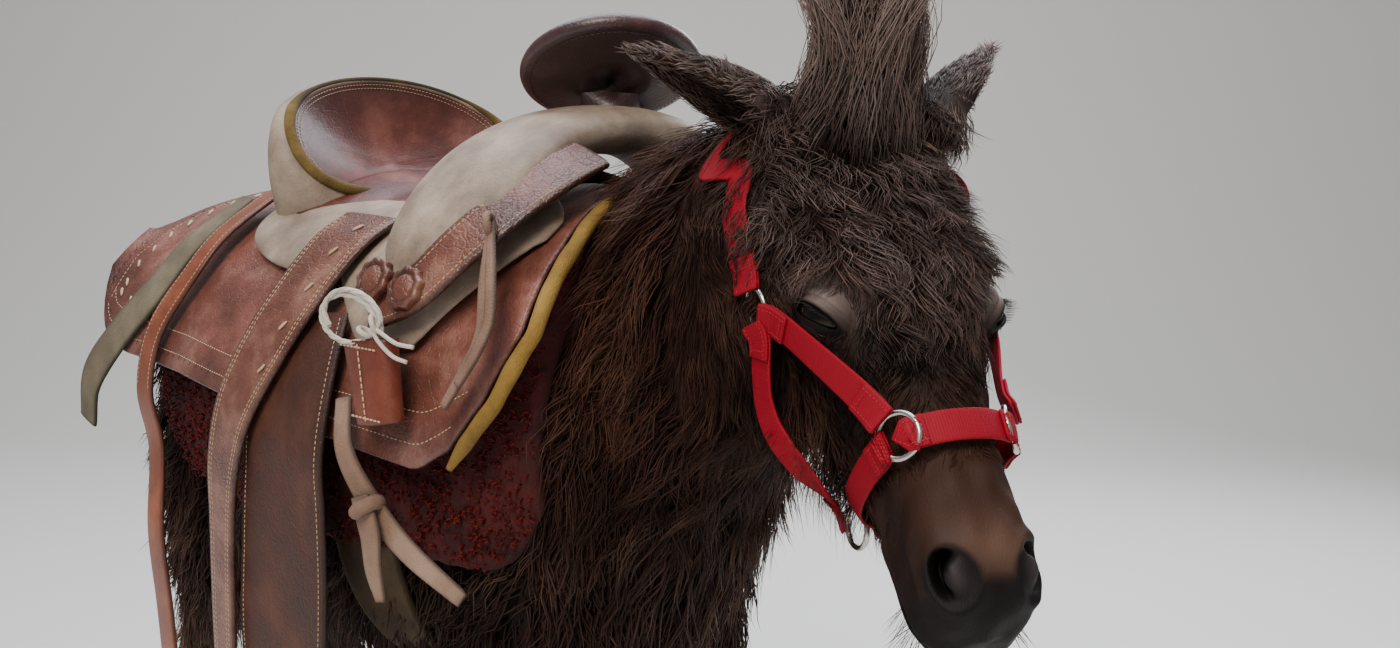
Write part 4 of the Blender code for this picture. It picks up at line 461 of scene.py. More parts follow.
def coatMaterial(name, rough, grain):
    # hair of a winter coat: matt strands with a soft gloss; the skin adds a fine bump of short hairs
    material, tree, shader = newMaterial(name)
    tint = addNode(tree, "ShaderNodeAttribute", attribute_name="tint")
    tree.links.new(tint.outputs["Color"], shader.inputs["Base Color"])
    setInputs(shader, Roughness=rough, IOR=1.5, Specular_IOR_Level=0.18)
    if grain:
        place = addNode(tree, "ShaderNodeTexCoord")
        stretch = addNode(tree, "ShaderNodeMapping", {"Vector": place.outputs["Object"]})
        stretch.inputs["Scale"].default_value = (900, 900, 260)  # hairs about 1 mm apart and 4 mm long
        fine = addNode(tree, "ShaderNodeTexNoise", {"Vector": stretch.outputs["Vector"]},
                       Scale=1.0, Detail=3.0)
        bump = addNode(tree, "ShaderNodeBump", {"Height": fine.outputs["Fac"]}, Strength=grain,
                       Distance=0.0012)
        tree.links.new(bump.outputs["Normal"], shader.inputs["Normal"])
    return material


skinMaterial = coatMaterial("shortWinterHairOnSkin", 0.60, 0.45)
hairMaterial = coatMaterial("longWinterCoatStrands", 0.55, 0.0)


# the skin

def eyeFrame(turn):
    # centre of an eye, then unit vectors along its slit, up across it and out of the head
    outward = unit(head["eyeOut"][0] * turn * faceLeft + head["eyeOut"][1] * faceOut)
    up = np.cross(faceWay, outward)
    up *= np.sign(up @ faceOut)
    slant = math.radians(head["eyeSlant"])
    centre = onHead(head["eye"][0], turn * head["eye"][1], head["eye"][2])
    return (centre, faceWay * math.cos(slant) + up * math.sin(slant),
            up * math.cos(slant) - faceWay * math.sin(slant), outward)


def nostrilFrame(turn):
    # centre of a nostril, then unit vectors towards the midline, up the face and the way it faces
    down, out, ahead = head["nostrilWay"][0], head["nostrilWay"][1], head["nostrilWay"][2]
    away = unit(down * faceWay + out * turn * faceLeft + ahead * faceOut)
    upward = unit(-faceWay + away * (away @ faceWay))
    inward = np.cross(upward, away)
    inward *= np.sign(inward @ (-turn * faceLeft))
    return onHead(head["nostril"][0], turn * head["nostril"][1], head["nostril"][2]), inward, upward, away


def slitEdge(angle):
    # the slit's outline: a pointed oval
    long, high, low = head["slit"]
    return long * power(np.cos(angle), 1.15), low + high * power(np.sin(angle), 0.9)


def headSurface():
    # sections down the face, pushed in and out by smooth bumps for brow, cheek, sockets, nostrils and mouth
    plain = smoothRows(head["sections"], 60)[:, 0]
    spots = np.linspace(plain[0], plain[-1], 400)
    weight = (1 + 0.6 * np.exp(-((spots - 0.147) / 0.030) ** 2)
              + 2.6 * np.exp(-((spots - 0.342) / 0.024) ** 2))
    share = np.cumsum(weight) / weight.sum()
    a = np.interp(np.linspace(share[0], 1, head["stations"]), share, spots)
    turns = np.linspace(0, tau, 721)
    weight = (1 + 1.6 * sum(np.exp(-(((turns - c + math.pi) % tau - math.pi) / 0.40) ** 2)
                            for c in (0.62, math.pi - 0.62)))
    share = np.concatenate([[0], np.cumsum((weight[1:] + weight[:-1]) / 2)])
    t = np.interp(np.linspace(0, share[-1], head["around"] + 1)[:-1], share, turns)
    grid = headPoint(a[:, None], t[None])
    flat = grid.reshape(-1, 3)
    local = headLocal(flat)
    u, w, v = local[:, 0], np.abs(local[:, 1]), local[:, 2]
    eyeA, _, eyeO = head["eye"]

    def bump(height, da, dv, sizeA, sizeV):
        return height * np.exp(-((u - da) / sizeA) ** 2 - ((v - dv) / sizeV) ** 2)

    push = bump(0.009, eyeA - 0.022, eyeO + 0.026, 0.026, 0.018)  # brow
    push += bump(-0.006, 0.172, -0.056, 0.026, 0.026)  # hollow below the eye
    push += (bump(0.007, 0.070, -0.100, 0.050, 0.050)  # cheek
             + bump(0.0035, 0.205, -0.058, 0.05, 0.010))  # and the ridge in front of it
    push += bump(-0.003, 0.225, -0.020, 0.045, 0.014)  # side of the nasal bone
    inside = np.clip((u - head["mouth"][0]) / 0.008, 0, 1)
    push += (-0.0060 * np.exp(-((v - head["mouth"][2]) / 0.0026) ** 2)
             + 0.0040 * np.exp(-((v - head["mouth"][2] - 0.011) / 0.007) ** 2)
             + 0.0035 * np.exp(-((v - head["mouth"][2] + 0.010) / 0.007) ** 2)) * inside
    folds = (np.sin(v * 820 + 30 * np.sin(u * 60))
             * np.exp(-((u - 0.300) / 0.02) ** 2 - ((v + 0.056) / 0.018) ** 2))
    push = (push + 0.0009 * folds) * np.clip((w - 0.006) / 0.012, 0, 1)
    push -= 0.0022 + 0.0012 * waves(flat, 0.03, 5)  # the coat's depth and an uneven form
    down = np.gradient(grid, axis=0)
    across = (np.roll(grid, -1, 1) - np.roll(grid, 1, 1)) / 2
    normal = unit(np.cross(down, across)).reshape(-1, 3)
    inner = onHead(u, 0.0 * u, -0.06 + 0.0 * u)
    normal *= np.sign(((flat - inner) * normal).sum(-1, keepdims=True))
    moved = flat + push[:, None] * normal
    for turn in (1, -1):  # a crescent slit round a soft fold, inside a raised rim
        spot, inward, upward, away = nostrilFrame(turn)
        off = moved - spot
        x, y, near = off @ inward, off @ upward, np.abs(off @ away) < 0.030
        round_ = np.hypot((x - 0.0030) / head["nostrilHalf"][0], y / head["nostrilHalf"][1])
        angle = ((np.arctan2(y / head["nostrilHalf"][1], (x - 0.0030) / head["nostrilHalf"][0])
                  - math.radians(150) + math.pi) % tau - math.pi)
        slit = np.exp(-np.abs(angle / 1.35) ** 4)
        wideSlit = 0.25 + 0.16 * np.exp(-((angle + 0.45) / 0.55) ** 2)
        sink = 0.0175 * slit * np.exp(-np.abs((round_ - 0.92) / wideSlit) ** 2.6)
        rim = (0.0042 * np.exp(-((round_ - 1.65) / 0.36) ** 2)
               * (0.45 + 0.55 * np.exp(-np.abs(angle / 1.9) ** 4)))
        fold = 0.0030 * np.exp(-((x - 0.0055) / 0.0060) ** 2 - ((y - 0.001) / 0.0095) ** 2)
        moved = moved + ((rim + fold - sink) * near)[:, None] * away
    faces = gridFaces(*grid.shape[:2], True)
    whole = BVHTree.FromPolygons(moved.tolist(), faces.tolist())
    lids = [eyeLid(turn, whole) for turn in (1, -1)]
    for turn in (1, -1):
        centre, alongSlit, up, outward = eyeFrame(turn)
        off = moved - centre
        near = np.hypot(off @ alongSlit, off @ up)
        sink = 0.012 * (1 - np.minimum(near / 0.0235, 1) ** 2) ** 1.5 * ((off @ outward) > -0.006)
        moved = moved - sink[:, None] * outward
    return tubePiece("headSkin", moved.reshape(grid.shape), skinMaterial), lids


def eyeLid(turn, whole):
    # both lids as one soft ring on the eyeball, from the slit's rim out to where it meets the head, with a
    # crease and a fold above the slit and a finer crease below it
    centre, alongSlit, up, outward = eyeFrame(turn)
    radius = head["eyeRadius"]
    angle = np.linspace(0, tau, 132, endpoint=False)
    x0, y0 = slitEdge(angle)
    x1, y1 = 0.0300 * np.cos(angle), 0.0245 * np.sin(angle) + 0.0006
    share = np.linspace(0, 1, 30)[:, None] ** 1.15
    x, y = x0 + (x1 - x0) * share, y0 + (y1 - y0) * share
    beyond = np.hypot(x - x0, y - y0)
    surface = np.empty_like(x)
    for i, j in np.ndindex(*x.shape):
        start = centre + x[i, j] * alongSlit + y[i, j] * up + outward * 0.06
        hit = whole.ray_cast(start.tolist(), (-outward).tolist(), 0.12)
        surface[i, j] = 0.06 - hit[3] if hit[0] is not None else 0.0
    ball = np.sqrt(np.maximum((radius + 0.0024) ** 2 - x**2 - y**2, 0))
    blend = np.clip(share * 1.1 - 0.15, 0, 1) ** 1.3
    z = np.maximum(ball * (1 - blend) + surface * blend, surface * blend)
    upper = np.clip(np.sin(angle) * 2.2, 0, 1)[None]
    lower = np.clip(-np.sin(angle) * 2.2, 0, 1)[None]
    fade = np.clip((1 - share) * 4, 0, 1)
    z += (fade * upper * (0.0016 * np.exp(-((beyond - 0.0105) / 0.0030) ** 2)
                          - 0.0015 * np.exp(-((beyond - 0.0062) / 0.0012) ** 2)))
    z += (fade * lower * (0.0006 * np.exp(-((beyond - 0.0030) / 0.0015) ** 2)
                          - 0.0010 * np.exp(-((beyond - 0.0058) / 0.0012) ** 2)))
    z[-1] = surface[-1] - 0.0022
    back = np.linspace(1, 0, 10)[:, None]
    xi, yi = x0 + (x1 * 0.86 - x0) * back, y0 + (y1 * 0.86 - y0) * back
    zi = np.sqrt(np.maximum((radius + 0.0002) ** 2 - xi**2 - yi**2, 0))
    zi = np.minimum(zi, np.maximum(surface[-1] - 0.0075, -0.004) + (1 - back) * 0.05)
    lipX, lipY = x0 * 0.972, y0 + (head["slit"][2] - y0) * 0.035
    lipZ = np.sqrt((radius + 0.0013) ** 2 - lipX**2 - lipY**2)
    xs = np.vstack([xi, lipX[None], x])
    ys = np.vstack([yi, lipY[None], y])
    zs = np.vstack([zi, lipZ[None], z])
    ring = centre + xs[..., None] * alongSlit + ys[..., None] * up + zs[..., None] * outward
    return fixNormals(makePiece("lid", ring.reshape(-1, 3), [loopFaces(*ring.shape[:2])], skinMaterial))


def earAxes(side):
    # an ear's base, its axis, the way its mouth faces and the way across it
    facing = np.array([math.cos(math.radians(head["yaw"])), math.sin(math.radians(head["yaw"])), 0.0])
    base = onHead(ears["base"][0], side * ears["base"][1], ears["base"][2]) + ears["ahead"][side] * facing
    back, rise = ears["lean"][side]
    axis = unit(back * facing + 0.72 * side * faceLeft + np.array([0.0, 0.0, rise]))
    mouth = 0.45 * side * faceLeft + 0.20 * facing - np.array([0.0, 0.0, 0.60])
    mouth = unit(mouth - axis * (mouth @ axis))
    return base, axis, mouth, np.cross(axis, mouth)


def earRings(side, count=46, around=26):
    # a cupped ear: crescent sections along a leaning axis, widest at a third of its length
    base, axis, mouth, across = earAxes(side)
    v = np.linspace(-0.12, 1.0, count)
    s = np.maximum(v, 0)
    width = 0.0345 * (0.70 + 0.95 * s) * (1 - s**1.25) + 0.0014
    depth = 0.92 - 0.35 * s
    arc = np.linspace(math.radians(202), math.radians(-22), around // 2)
    wall = np.minimum(0.0034, 0.45 * width * depth)
    hollow = np.minimum(1.0, s / 0.22)
    reach = width * depth
    outer = np.stack([width[:, None] * np.cos(arc), -reach[:, None] * np.sin(arc)], -1)
    lift = ((1 - hollow) * reach * 0.5)[:, None]
    inner = np.stack([(width - wall)[:, None] * np.cos(arc[::-1]),
                      -(reach - wall)[:, None] * np.sin(arc[::-1]) * hollow[:, None] + lift], -1)
    ring = np.concatenate([outer, inner], 1)
    centre = base + np.outer(ears["length"] * v, axis) + np.outer(0.010 * s * s, mouth)
    return centre[:, None] + ring[..., :1] * across + ring[..., 1:] * mouth


def joinAll(first, others):
    # makes one mesh of them, without fusing
    with bpy.context.temp_override(active_object=first, selected_editable_objects=[first] + others,
                                   selected_objects=[first] + others):
        bpy.ops.object.join()
    return first


def applyAll(piece):
    # bakes the piece's modifiers into its mesh
    graph = bpy.context.evaluated_depsgraph_get()
    mesh = bpy.data.meshes.new_from_object(piece.evaluated_get(graph))
    piece.modifiers.clear()
    piece.data = mesh
    return piece


def unite(piece, others):
    # fuses the others into the first piece
    group = bpy.data.collections.new("parts")
    for other in others:
        group.objects.link(other)
    step = piece.modifiers.new("unite", "BOOLEAN")
    step.operation, step.operand_type, step.collection = "UNION", "COLLECTION", group
    step.solver = "MANIFOLD"
    bpy.context.view_layer.update()
    applyAll(piece)
    bpy.data.collections.remove(group)
    for other in others:
        bpy.data.objects.remove(other, do_unlink=True)
    return piece


def meshArrays(piece):
    # points, vertex normals and triangles of a piece, without the frame's shift
    mesh = piece.data
    mesh.calc_loop_triangles()
    points = np.empty(len(mesh.vertices) * 3, np.float32)
    mesh.vertices.foreach_get("co", points)
    normals = np.empty(len(mesh.vertices) * 3, np.float32)
    mesh.vertex_normals.foreach_get("vector", normals)
    triangles = np.empty(len(mesh.loop_triangles) * 3, np.int32)
    mesh.loop_triangles.foreach_get("vertices", triangles)
    return (points.reshape(-1, 3).astype(float) - frameShift, normals.reshape(-1, 3).astype(float),
            triangles.reshape(-1, 3))


def makeSkin():
    # trunk, neck and legs fused as one surface and drawn in by the coat's depth, then joined to the head
    stations = smoothRows(body["torso"], 60)[:, 0]
    angles = np.linspace(0, tau, 60, endpoint=False)
    trunk = tubePiece("skin", torsoPoint(stations[:, None], angles[None]), skinMaterial)
    parts = [tubePiece("part", ringsAlong(smoothRows(body["neck"], 40), (0, 0, 1), 56), skinMaterial)]
    t = np.linspace(0, tau, 36, endpoint=False)
    for table in (body["foreleg"], body["hindleg"]):
        rows = smoothRows(table, 90)
        for side in (1, -1):
            ring = np.stack([rows[:, 0, None] + rows[:, 3, None] * np.cos(t),
                             side * (rows[:, 1, None] + rows[:, 4, None] * np.sin(t)),
                             np.repeat(rows[:, 2, None], len(t), 1)], -1)
            parts.append(tubePiece("part", ring, skinMaterial))
    joinAll(trunk, parts)
    shell = trunk.modifiers.new("fuse", "REMESH")
    shell.mode, shell.voxel_size = "VOXEL", body["voxel"]
    soft = trunk.modifiers.new("round", "SMOOTH")
    soft.factor, soft.iterations = 0.5, 9
    bpy.context.view_layer.update()
    applyAll(trunk)
    points, normals, _ = meshArrays(trunk)
    low = np.clip((points[:, 2] - 0.03) / 0.25, 0.2, 1)
    points -= normals * (body["coatDepth"] * low)[:, None]
    trunk.data.vertices.foreach_set("co", (points + frameShift).astype(np.float32).ravel())
    trunk.data.update()
    earPieces = [tubePiece("ear", earRings(side), skinMaterial) for side in (1, -1)]
    headPiece, lids = headSurface()
    skin = unite(trunk, [headPiece] + earPieces + lids)
    skin.name = "skin"
    # keeps the skin under 200,000 triangles
    fewer = skin.modifiers.new("fewer", "DECIMATE")  # thins the skin to 0.78 of its triangles
    fewer.ratio = 0.78
    applyAll(skin)
    points, _, _ = meshArrays(skin)
    paint(skin.data.color_attributes.new("tint", "FLOAT_COLOR", "POINT"), coatTint(points, -0.35))
    skin.data.polygons.foreach_set("use_smooth", np.full(len(skin.data.polygons), True))
    skin.data.materials.clear()
    skin.data.materials.append(skinMaterial)
    return skin


# the coat

coat = {
    # roots a square metre, length, width, lift of the tip, wave and share that a clump gathers, by region
    "head": {"density": 113000, "length": 0.024, "width": 0.0011, "lift": 0.0045, "wave": 0.0032,
             "clump": 0.58, "steps": 3},
    "neck": {"density": 72000, "length": 0.060, "width": 0.0018, "lift": 0.012, "wave": 0.0048,
             "clump": 0.80, "steps": 5},
    "trunk": {"density": 24000, "length": 0.055, "width": 0.0029, "lift": 0.010, "wave": 0.0045,
              "clump": 0.74, "steps": 4},
    "leg": {"density": 22000, "length": 0.030, "width": 0.0023, "lift": 0.005, "wave": 0.0024,
            "clump": 0.60, "steps": 3},
    "clumpSpacing": 0.020,
}


def treeOf(points, triangles):
    return BVHTree.FromPolygons(points.tolist(), triangles.tolist())


def nodeTree(names):
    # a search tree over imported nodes, in the tables' frame
    points, faces = [], []
    for name in names:
        there, _, triangles = meshArrays(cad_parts[name])
        faces.append(triangles + sum(len(p) for p in points))
        points.append(there)
    return BVHTree.FromPolygons(np.vstack(points).tolist(), np.vstack(faces).tolist())


def alongEar(points, side):
    # how far up an ear's axis each point is, whether it is on that ear, the axis, and how far before it
    base, axis, mouth, _ = earAxes(side)
    off = points - base
    far = off @ axis
    return far, (far > 0.012) & (np.linalg.norm(off - np.outer(far, axis), axis=1) < 0.048), axis, off @ mouth


def regionsOf(points):
    # 0 head, 1 neck, 2 trunk, 3 leg, and the unwrap of each: along it and round it, from 0 to 1
    local = headLocal(points)
    a, left, out = local.T
    onHeadHere = (a > -0.04) & (np.abs(left) < 0.13) & (out > -0.19) & (points[:, 0] > 0.40)
    onHeadHere &= (a > 0.035) | (out > -0.10)
    for turn in (1, -1):  # the ears reach out of that box
        onHeadHere |= alongEar(points, turn)[1]
    foreleg = (points[:, 2] < 0.45) & (points[:, 0] > 0.05)
    hindleg = (points[:, 2] < 0.47) & (points[:, 0] < -0.25)
    neck = (points[:, 0] > 0.26) & (points[:, 2] > 0.66)
    region = np.select([onHeadHere, foreleg | hindleg, neck], [0, 3, 1], 2)
    u, v = np.empty(len(points)), np.empty(len(points))
    ear = np.abs(left) > 0.075
    u[:] = (points[:, 0] + 0.50) / 0.92
    v[:] = np.arctan2(points[:, 2] - 0.68, points[:, 1]) / tau + 0.5
    here = region == 0
    u[here] = ((a + 0.13) / 0.52)[here]
    v[here] = (np.arctan2(out + 0.06, left) / tau + 0.5)[here]
    u[here & ear] = (0.02 + (np.abs(left) - 0.06))[here & ear]
    here = region == 3
    corner = (points[:, 0] < 0) * 0.5 + (points[:, 1] < 0) * 0.25
    middle = np.where(points[:, 0] < 0, -0.39, 0.236)
    u[here] = ((0.5 - points[:, 2]) / 0.5)[here]
    turn = np.arctan2(np.abs(points[:, 1]) - 0.09, points[:, 0] - middle) / tau + 0.5
    v[here] = (corner + 0.25 * turn)[here]
    return region, np.clip(np.stack([u, v], 1), 0.004, 0.996)


def project(vectors, normals):
    return unit(vectors - (vectors * normals).sum(-1, keepdims=True) * normals)


def lieOf(points, normals, region):
    # the way the hair lies: back and down on neck and trunk, down on legs and chest, down the face, up the
    # ears; and which roots are on an ear
    side = np.sign(points[:, 1])[:, None]
    back = np.array([-0.45, 0.0, -0.85]) + side * np.array([0.0, 0.10, 0.0])
    under = np.array([-0.30, 0.0, -0.95]) + side * np.array([0.0, 0.10, 0.0])
    down = np.array([-0.16, 0.0, -0.97])
    local = headLocal(points)
    way = np.where((region == 3)[:, None], down, back)
    way = np.where(((normals[:, 2] < -0.35) & (region == 2))[:, None], under, way)
    chest = np.clip((points[:, 0] - 0.30) / 0.06, 0, 1)[:, None] * (region == 2)[:, None]
    way = way * (1 - chest) + down * chest
    apart = np.clip(local[:, 1] / 0.05, -1, 1)[:, None]
    face = faceWay * 0.90 + faceLeft * apart * 0.42 - faceOut * 0.18
    swirl = waves(points, 0.075, 40)[:, None]
    forehead = np.clip((0.19 - local[:, 0]) / 0.05, 0, 1)[:, None] * (local[:, 2] > -0.07)[:, None]
    face = face + forehead * swirl * 0.55 * np.cross(np.broadcast_to(faceOut, points.shape), face)
    way = np.where((region == 0)[:, None], face, way)
    ear = np.zeros(len(points), bool)
    for turn in (1, -1):
        _, here, axis, _ = alongEar(points, turn)
        ear |= here
        way = np.where(here[:, None], axis, way)
    return project(way, normals), ear


def growHair(name, roots, normals, ways, lengths, widths, lifts, curl, gather, tree, keepOff=None, seed=1,
             uv=None, steps=3, gravity=0.0, spacing=0.017, hold=True, pale=0.0):
    # tufts: each path runs along the skin, rises by its lift, sways in a wave, gathers towards the middle
    # of its clump by a share that grows to the tip, and is laid over the skin again
    rng = np.random.default_rng(seed)
    count = len(roots)
    s = np.linspace(0, 1, steps + 1)
    sideWay = np.cross(normals, ways)
    phase = waves(roots, 0.05, seed) * 3.5
    bend = waves(roots, 0.045, seed + 1)
    turned = unit(ways + 0.55 * bend[:, None] * sideWay + rng.normal(size=(count, 3)) * 0.13)
    turnRate = 5.0 if steps < 4 else 8.5
    sway = np.sin(phase[:, None] + s * turnRate) - np.sin(phase[:, None])
    roll = np.cos(phase[:, None] + s * turnRate) - np.cos(phase[:, None])
    path = (roots[:, None] + turned[:, None] * (lengths[:, None] * s)[..., None]
            + normals[:, None] * (lifts[:, None] * s * (1.6 - 0.6 * s))[..., None]
            + sideWay[:, None] * (curl[:, None] * sway)[..., None]
            + normals[:, None] * (0.35 * curl[:, None] * roll * (s > 0.2))[..., None])
    path[..., 2] -= gravity * (lengths[:, None] * s) ** 2
    clumpTone = np.zeros(count)
    if gather > 0:
        cells = np.unique(np.floor(roots / spacing).astype(int), axis=0, return_index=True)[1]
        middles = kdtree.KDTree(len(cells))
        for k, i in enumerate(cells):
            middles.insert(roots[i], k)
        middles.balance()
        owner = np.array([cells[middles.find(p)[1]] for p in roots.tolist()])
        clumpTone = 0.20 * rng.normal(size=count)[owner] + 0.16 * waves(roots, 0.035, seed + 3)
        lead = path[owner]
        leadLength = lengths[owner]
        scale = (lengths / leadLength)[:, None, None]
        target = lead[:, :1] + (lead - lead[:, :1]) * scale
        share = (gather * s**1.3)[None, :, None] * rng.uniform(0.6, 1.15, count)[:, None, None]
        path = path * (1 - share) + target * share
    if hold:
        low = 0.0008 + 0.25 * lifts[:, None] * s
        for k in range(1, steps + 1):
            for i, p in enumerate(path[:, k].tolist()):
                spot, normal, _, _ = tree.find_nearest(p)
                high = (Vector(p) - spot).dot(normal)
                wanted = max(high, low[i, k])
                if keepOff is not None:
                    near = keepOff.find_nearest(p, 0.009)[0]
                    if near is not None:
                        wanted = min(wanted, 0.0012)
                if wanted != high:
                    path[i, k] = spot + normal * wanted
    return bladesOf(name, path, normals, widths, uv, seed, pale, clumpTone)


def bladesOf(name, path, normals, widths, uv, seed, pale=0.0, shade=0.0):
    # closed three-sided blades along paths, widest at a quarter of the length and drawn to a point
    rng = np.random.default_rng(seed + 100)
    count, rings = path.shape[:2]
    s = np.linspace(0, 1, rings)
    along = unit(np.gradient(path, axis=1))
    side = unit(np.cross(along, normals[:, None]))
    top = np.cross(side, along)
    shape = (0.55 + 1.6 * s - 2.0 * s**2)[:-1] * (1 - s[:-1] ** 6)
    half = widths[:, None] * shape / 2
    body = path[:, :-1, None] + np.stack([
        side[:, :-1] * half[..., None] - top[:, :-1] * (0.15 * half)[..., None],
        top[:, :-1] * (0.55 * half)[..., None],
        -side[:, :-1] * half[..., None] - top[:, :-1] * (0.15 * half)[..., None],
    ], 2)
    each = 3 * (rings - 1) + 1
    points = np.concatenate([body.reshape(count, -1, 3), path[:, -1:]], 1)
    faces = []
    for k in range(rings - 2):
        for j in range(3):
            i = (j + 1) % 3
            faces.append((3 * k + j, 3 * k + i, 3 * k + 3 + i, 3 * k + 3 + j))
    quads = (np.array(faces)[None] + each * np.arange(count)[:, None, None]).reshape(-1, 4)
    last = 3 * (rings - 2)
    tips = [(last, last + 1, each - 1), (last + 1, last + 2, each - 1),
            (last + 2, last, each - 1), (2, 1, 0)]
    tips = (np.array(tips)[None] + each * np.arange(count)[:, None, None]).reshape(-1, 3)
    share = np.concatenate([np.repeat(s[:-1], 3), [1.0]])
    flat = points.reshape(-1, 3)
    along01 = np.tile(share, count)
    tone = np.repeat(rng.normal(0, 0.12, count) + shade, each)
    rootPlace = np.repeat(path[:, 0], each, axis=0)
    colour = coatTint(rootPlace, tone - 0.45 * (1 - along01) ** 1.5, along01**1.5)
    if np.ndim(pale) or pale:
        straw = np.array(linear("#97857c")[:3])
        amount = (np.repeat(np.broadcast_to(pale, count), each) * along01)[:, None]
        colour = colour * (1 - amount) + straw * amount
    patch = None
    if uv is not None:
        across = np.tile(np.concatenate([np.tile([0.0, 0.5, 1.0], rings - 1), [0.5]]), count)
        patch = np.repeat(uv, each, axis=0) + 0.003 * np.stack([along01 - 0.5, across - 0.5], 1)
    return makePiece(name, flat, [quads, tips], hairMaterial, patch, {"tint": colour}, map="OFBake")


def sampleSkin(points, triangles, density, seed):
    # random places over triangles by area, times the density at each
    rng = np.random.default_rng(seed)
    a, b, c = points[triangles[:, 0]], points[triangles[:, 1]], points[triangles[:, 2]]
    cross = np.cross(b - a, c - a)
    area = np.linalg.norm(cross, axis=1) / 2
    wanted = area * density
    number = np.floor(wanted + rng.random(len(wanted))).astype(int)
    owner = np.repeat(np.arange(len(triangles)), number)
    r, q = rng.random(len(owner)), rng.random(len(owner))
    turn = r + q > 1
    r[turn], q[turn] = 1 - r[turn], 1 - q[turn]
    spots = a[owner] + (b - a)[owner] * r[:, None] + (c - a)[owner] * q[:, None]
    return spots, unit(cross[owner]), owner


def rimOf(points):
    # how near a place on an ear is to the edge of its opening, from 0 to 1
    near = np.zeros(len(points))
    for turn in (1, -1):
        far, here, _, ahead = alongEar(points, turn)
        s = np.clip(far / ears["length"], 0, 1)
        open_ = np.clip(1 - np.abs(ahead - 0.004) / 0.010, 0, 1) * here
        near = np.maximum(near, open_ * (0.5 + 0.5 * s))
    return near


# nodes that no hair grows under, and nodes that hair is kept flat under
tackOver = ("blanket", "skirt_left", "skirt_right", "skirt_roll_left", "skirt_roll_right")
webNames = ("cheek_left", "cheek_right", "throat_left", "throat_right", "chin_strap", "noseband",
            "ring_upper_right", "ring_upper_left", "ring_side_right", "ring_side_left", "ring_chin")


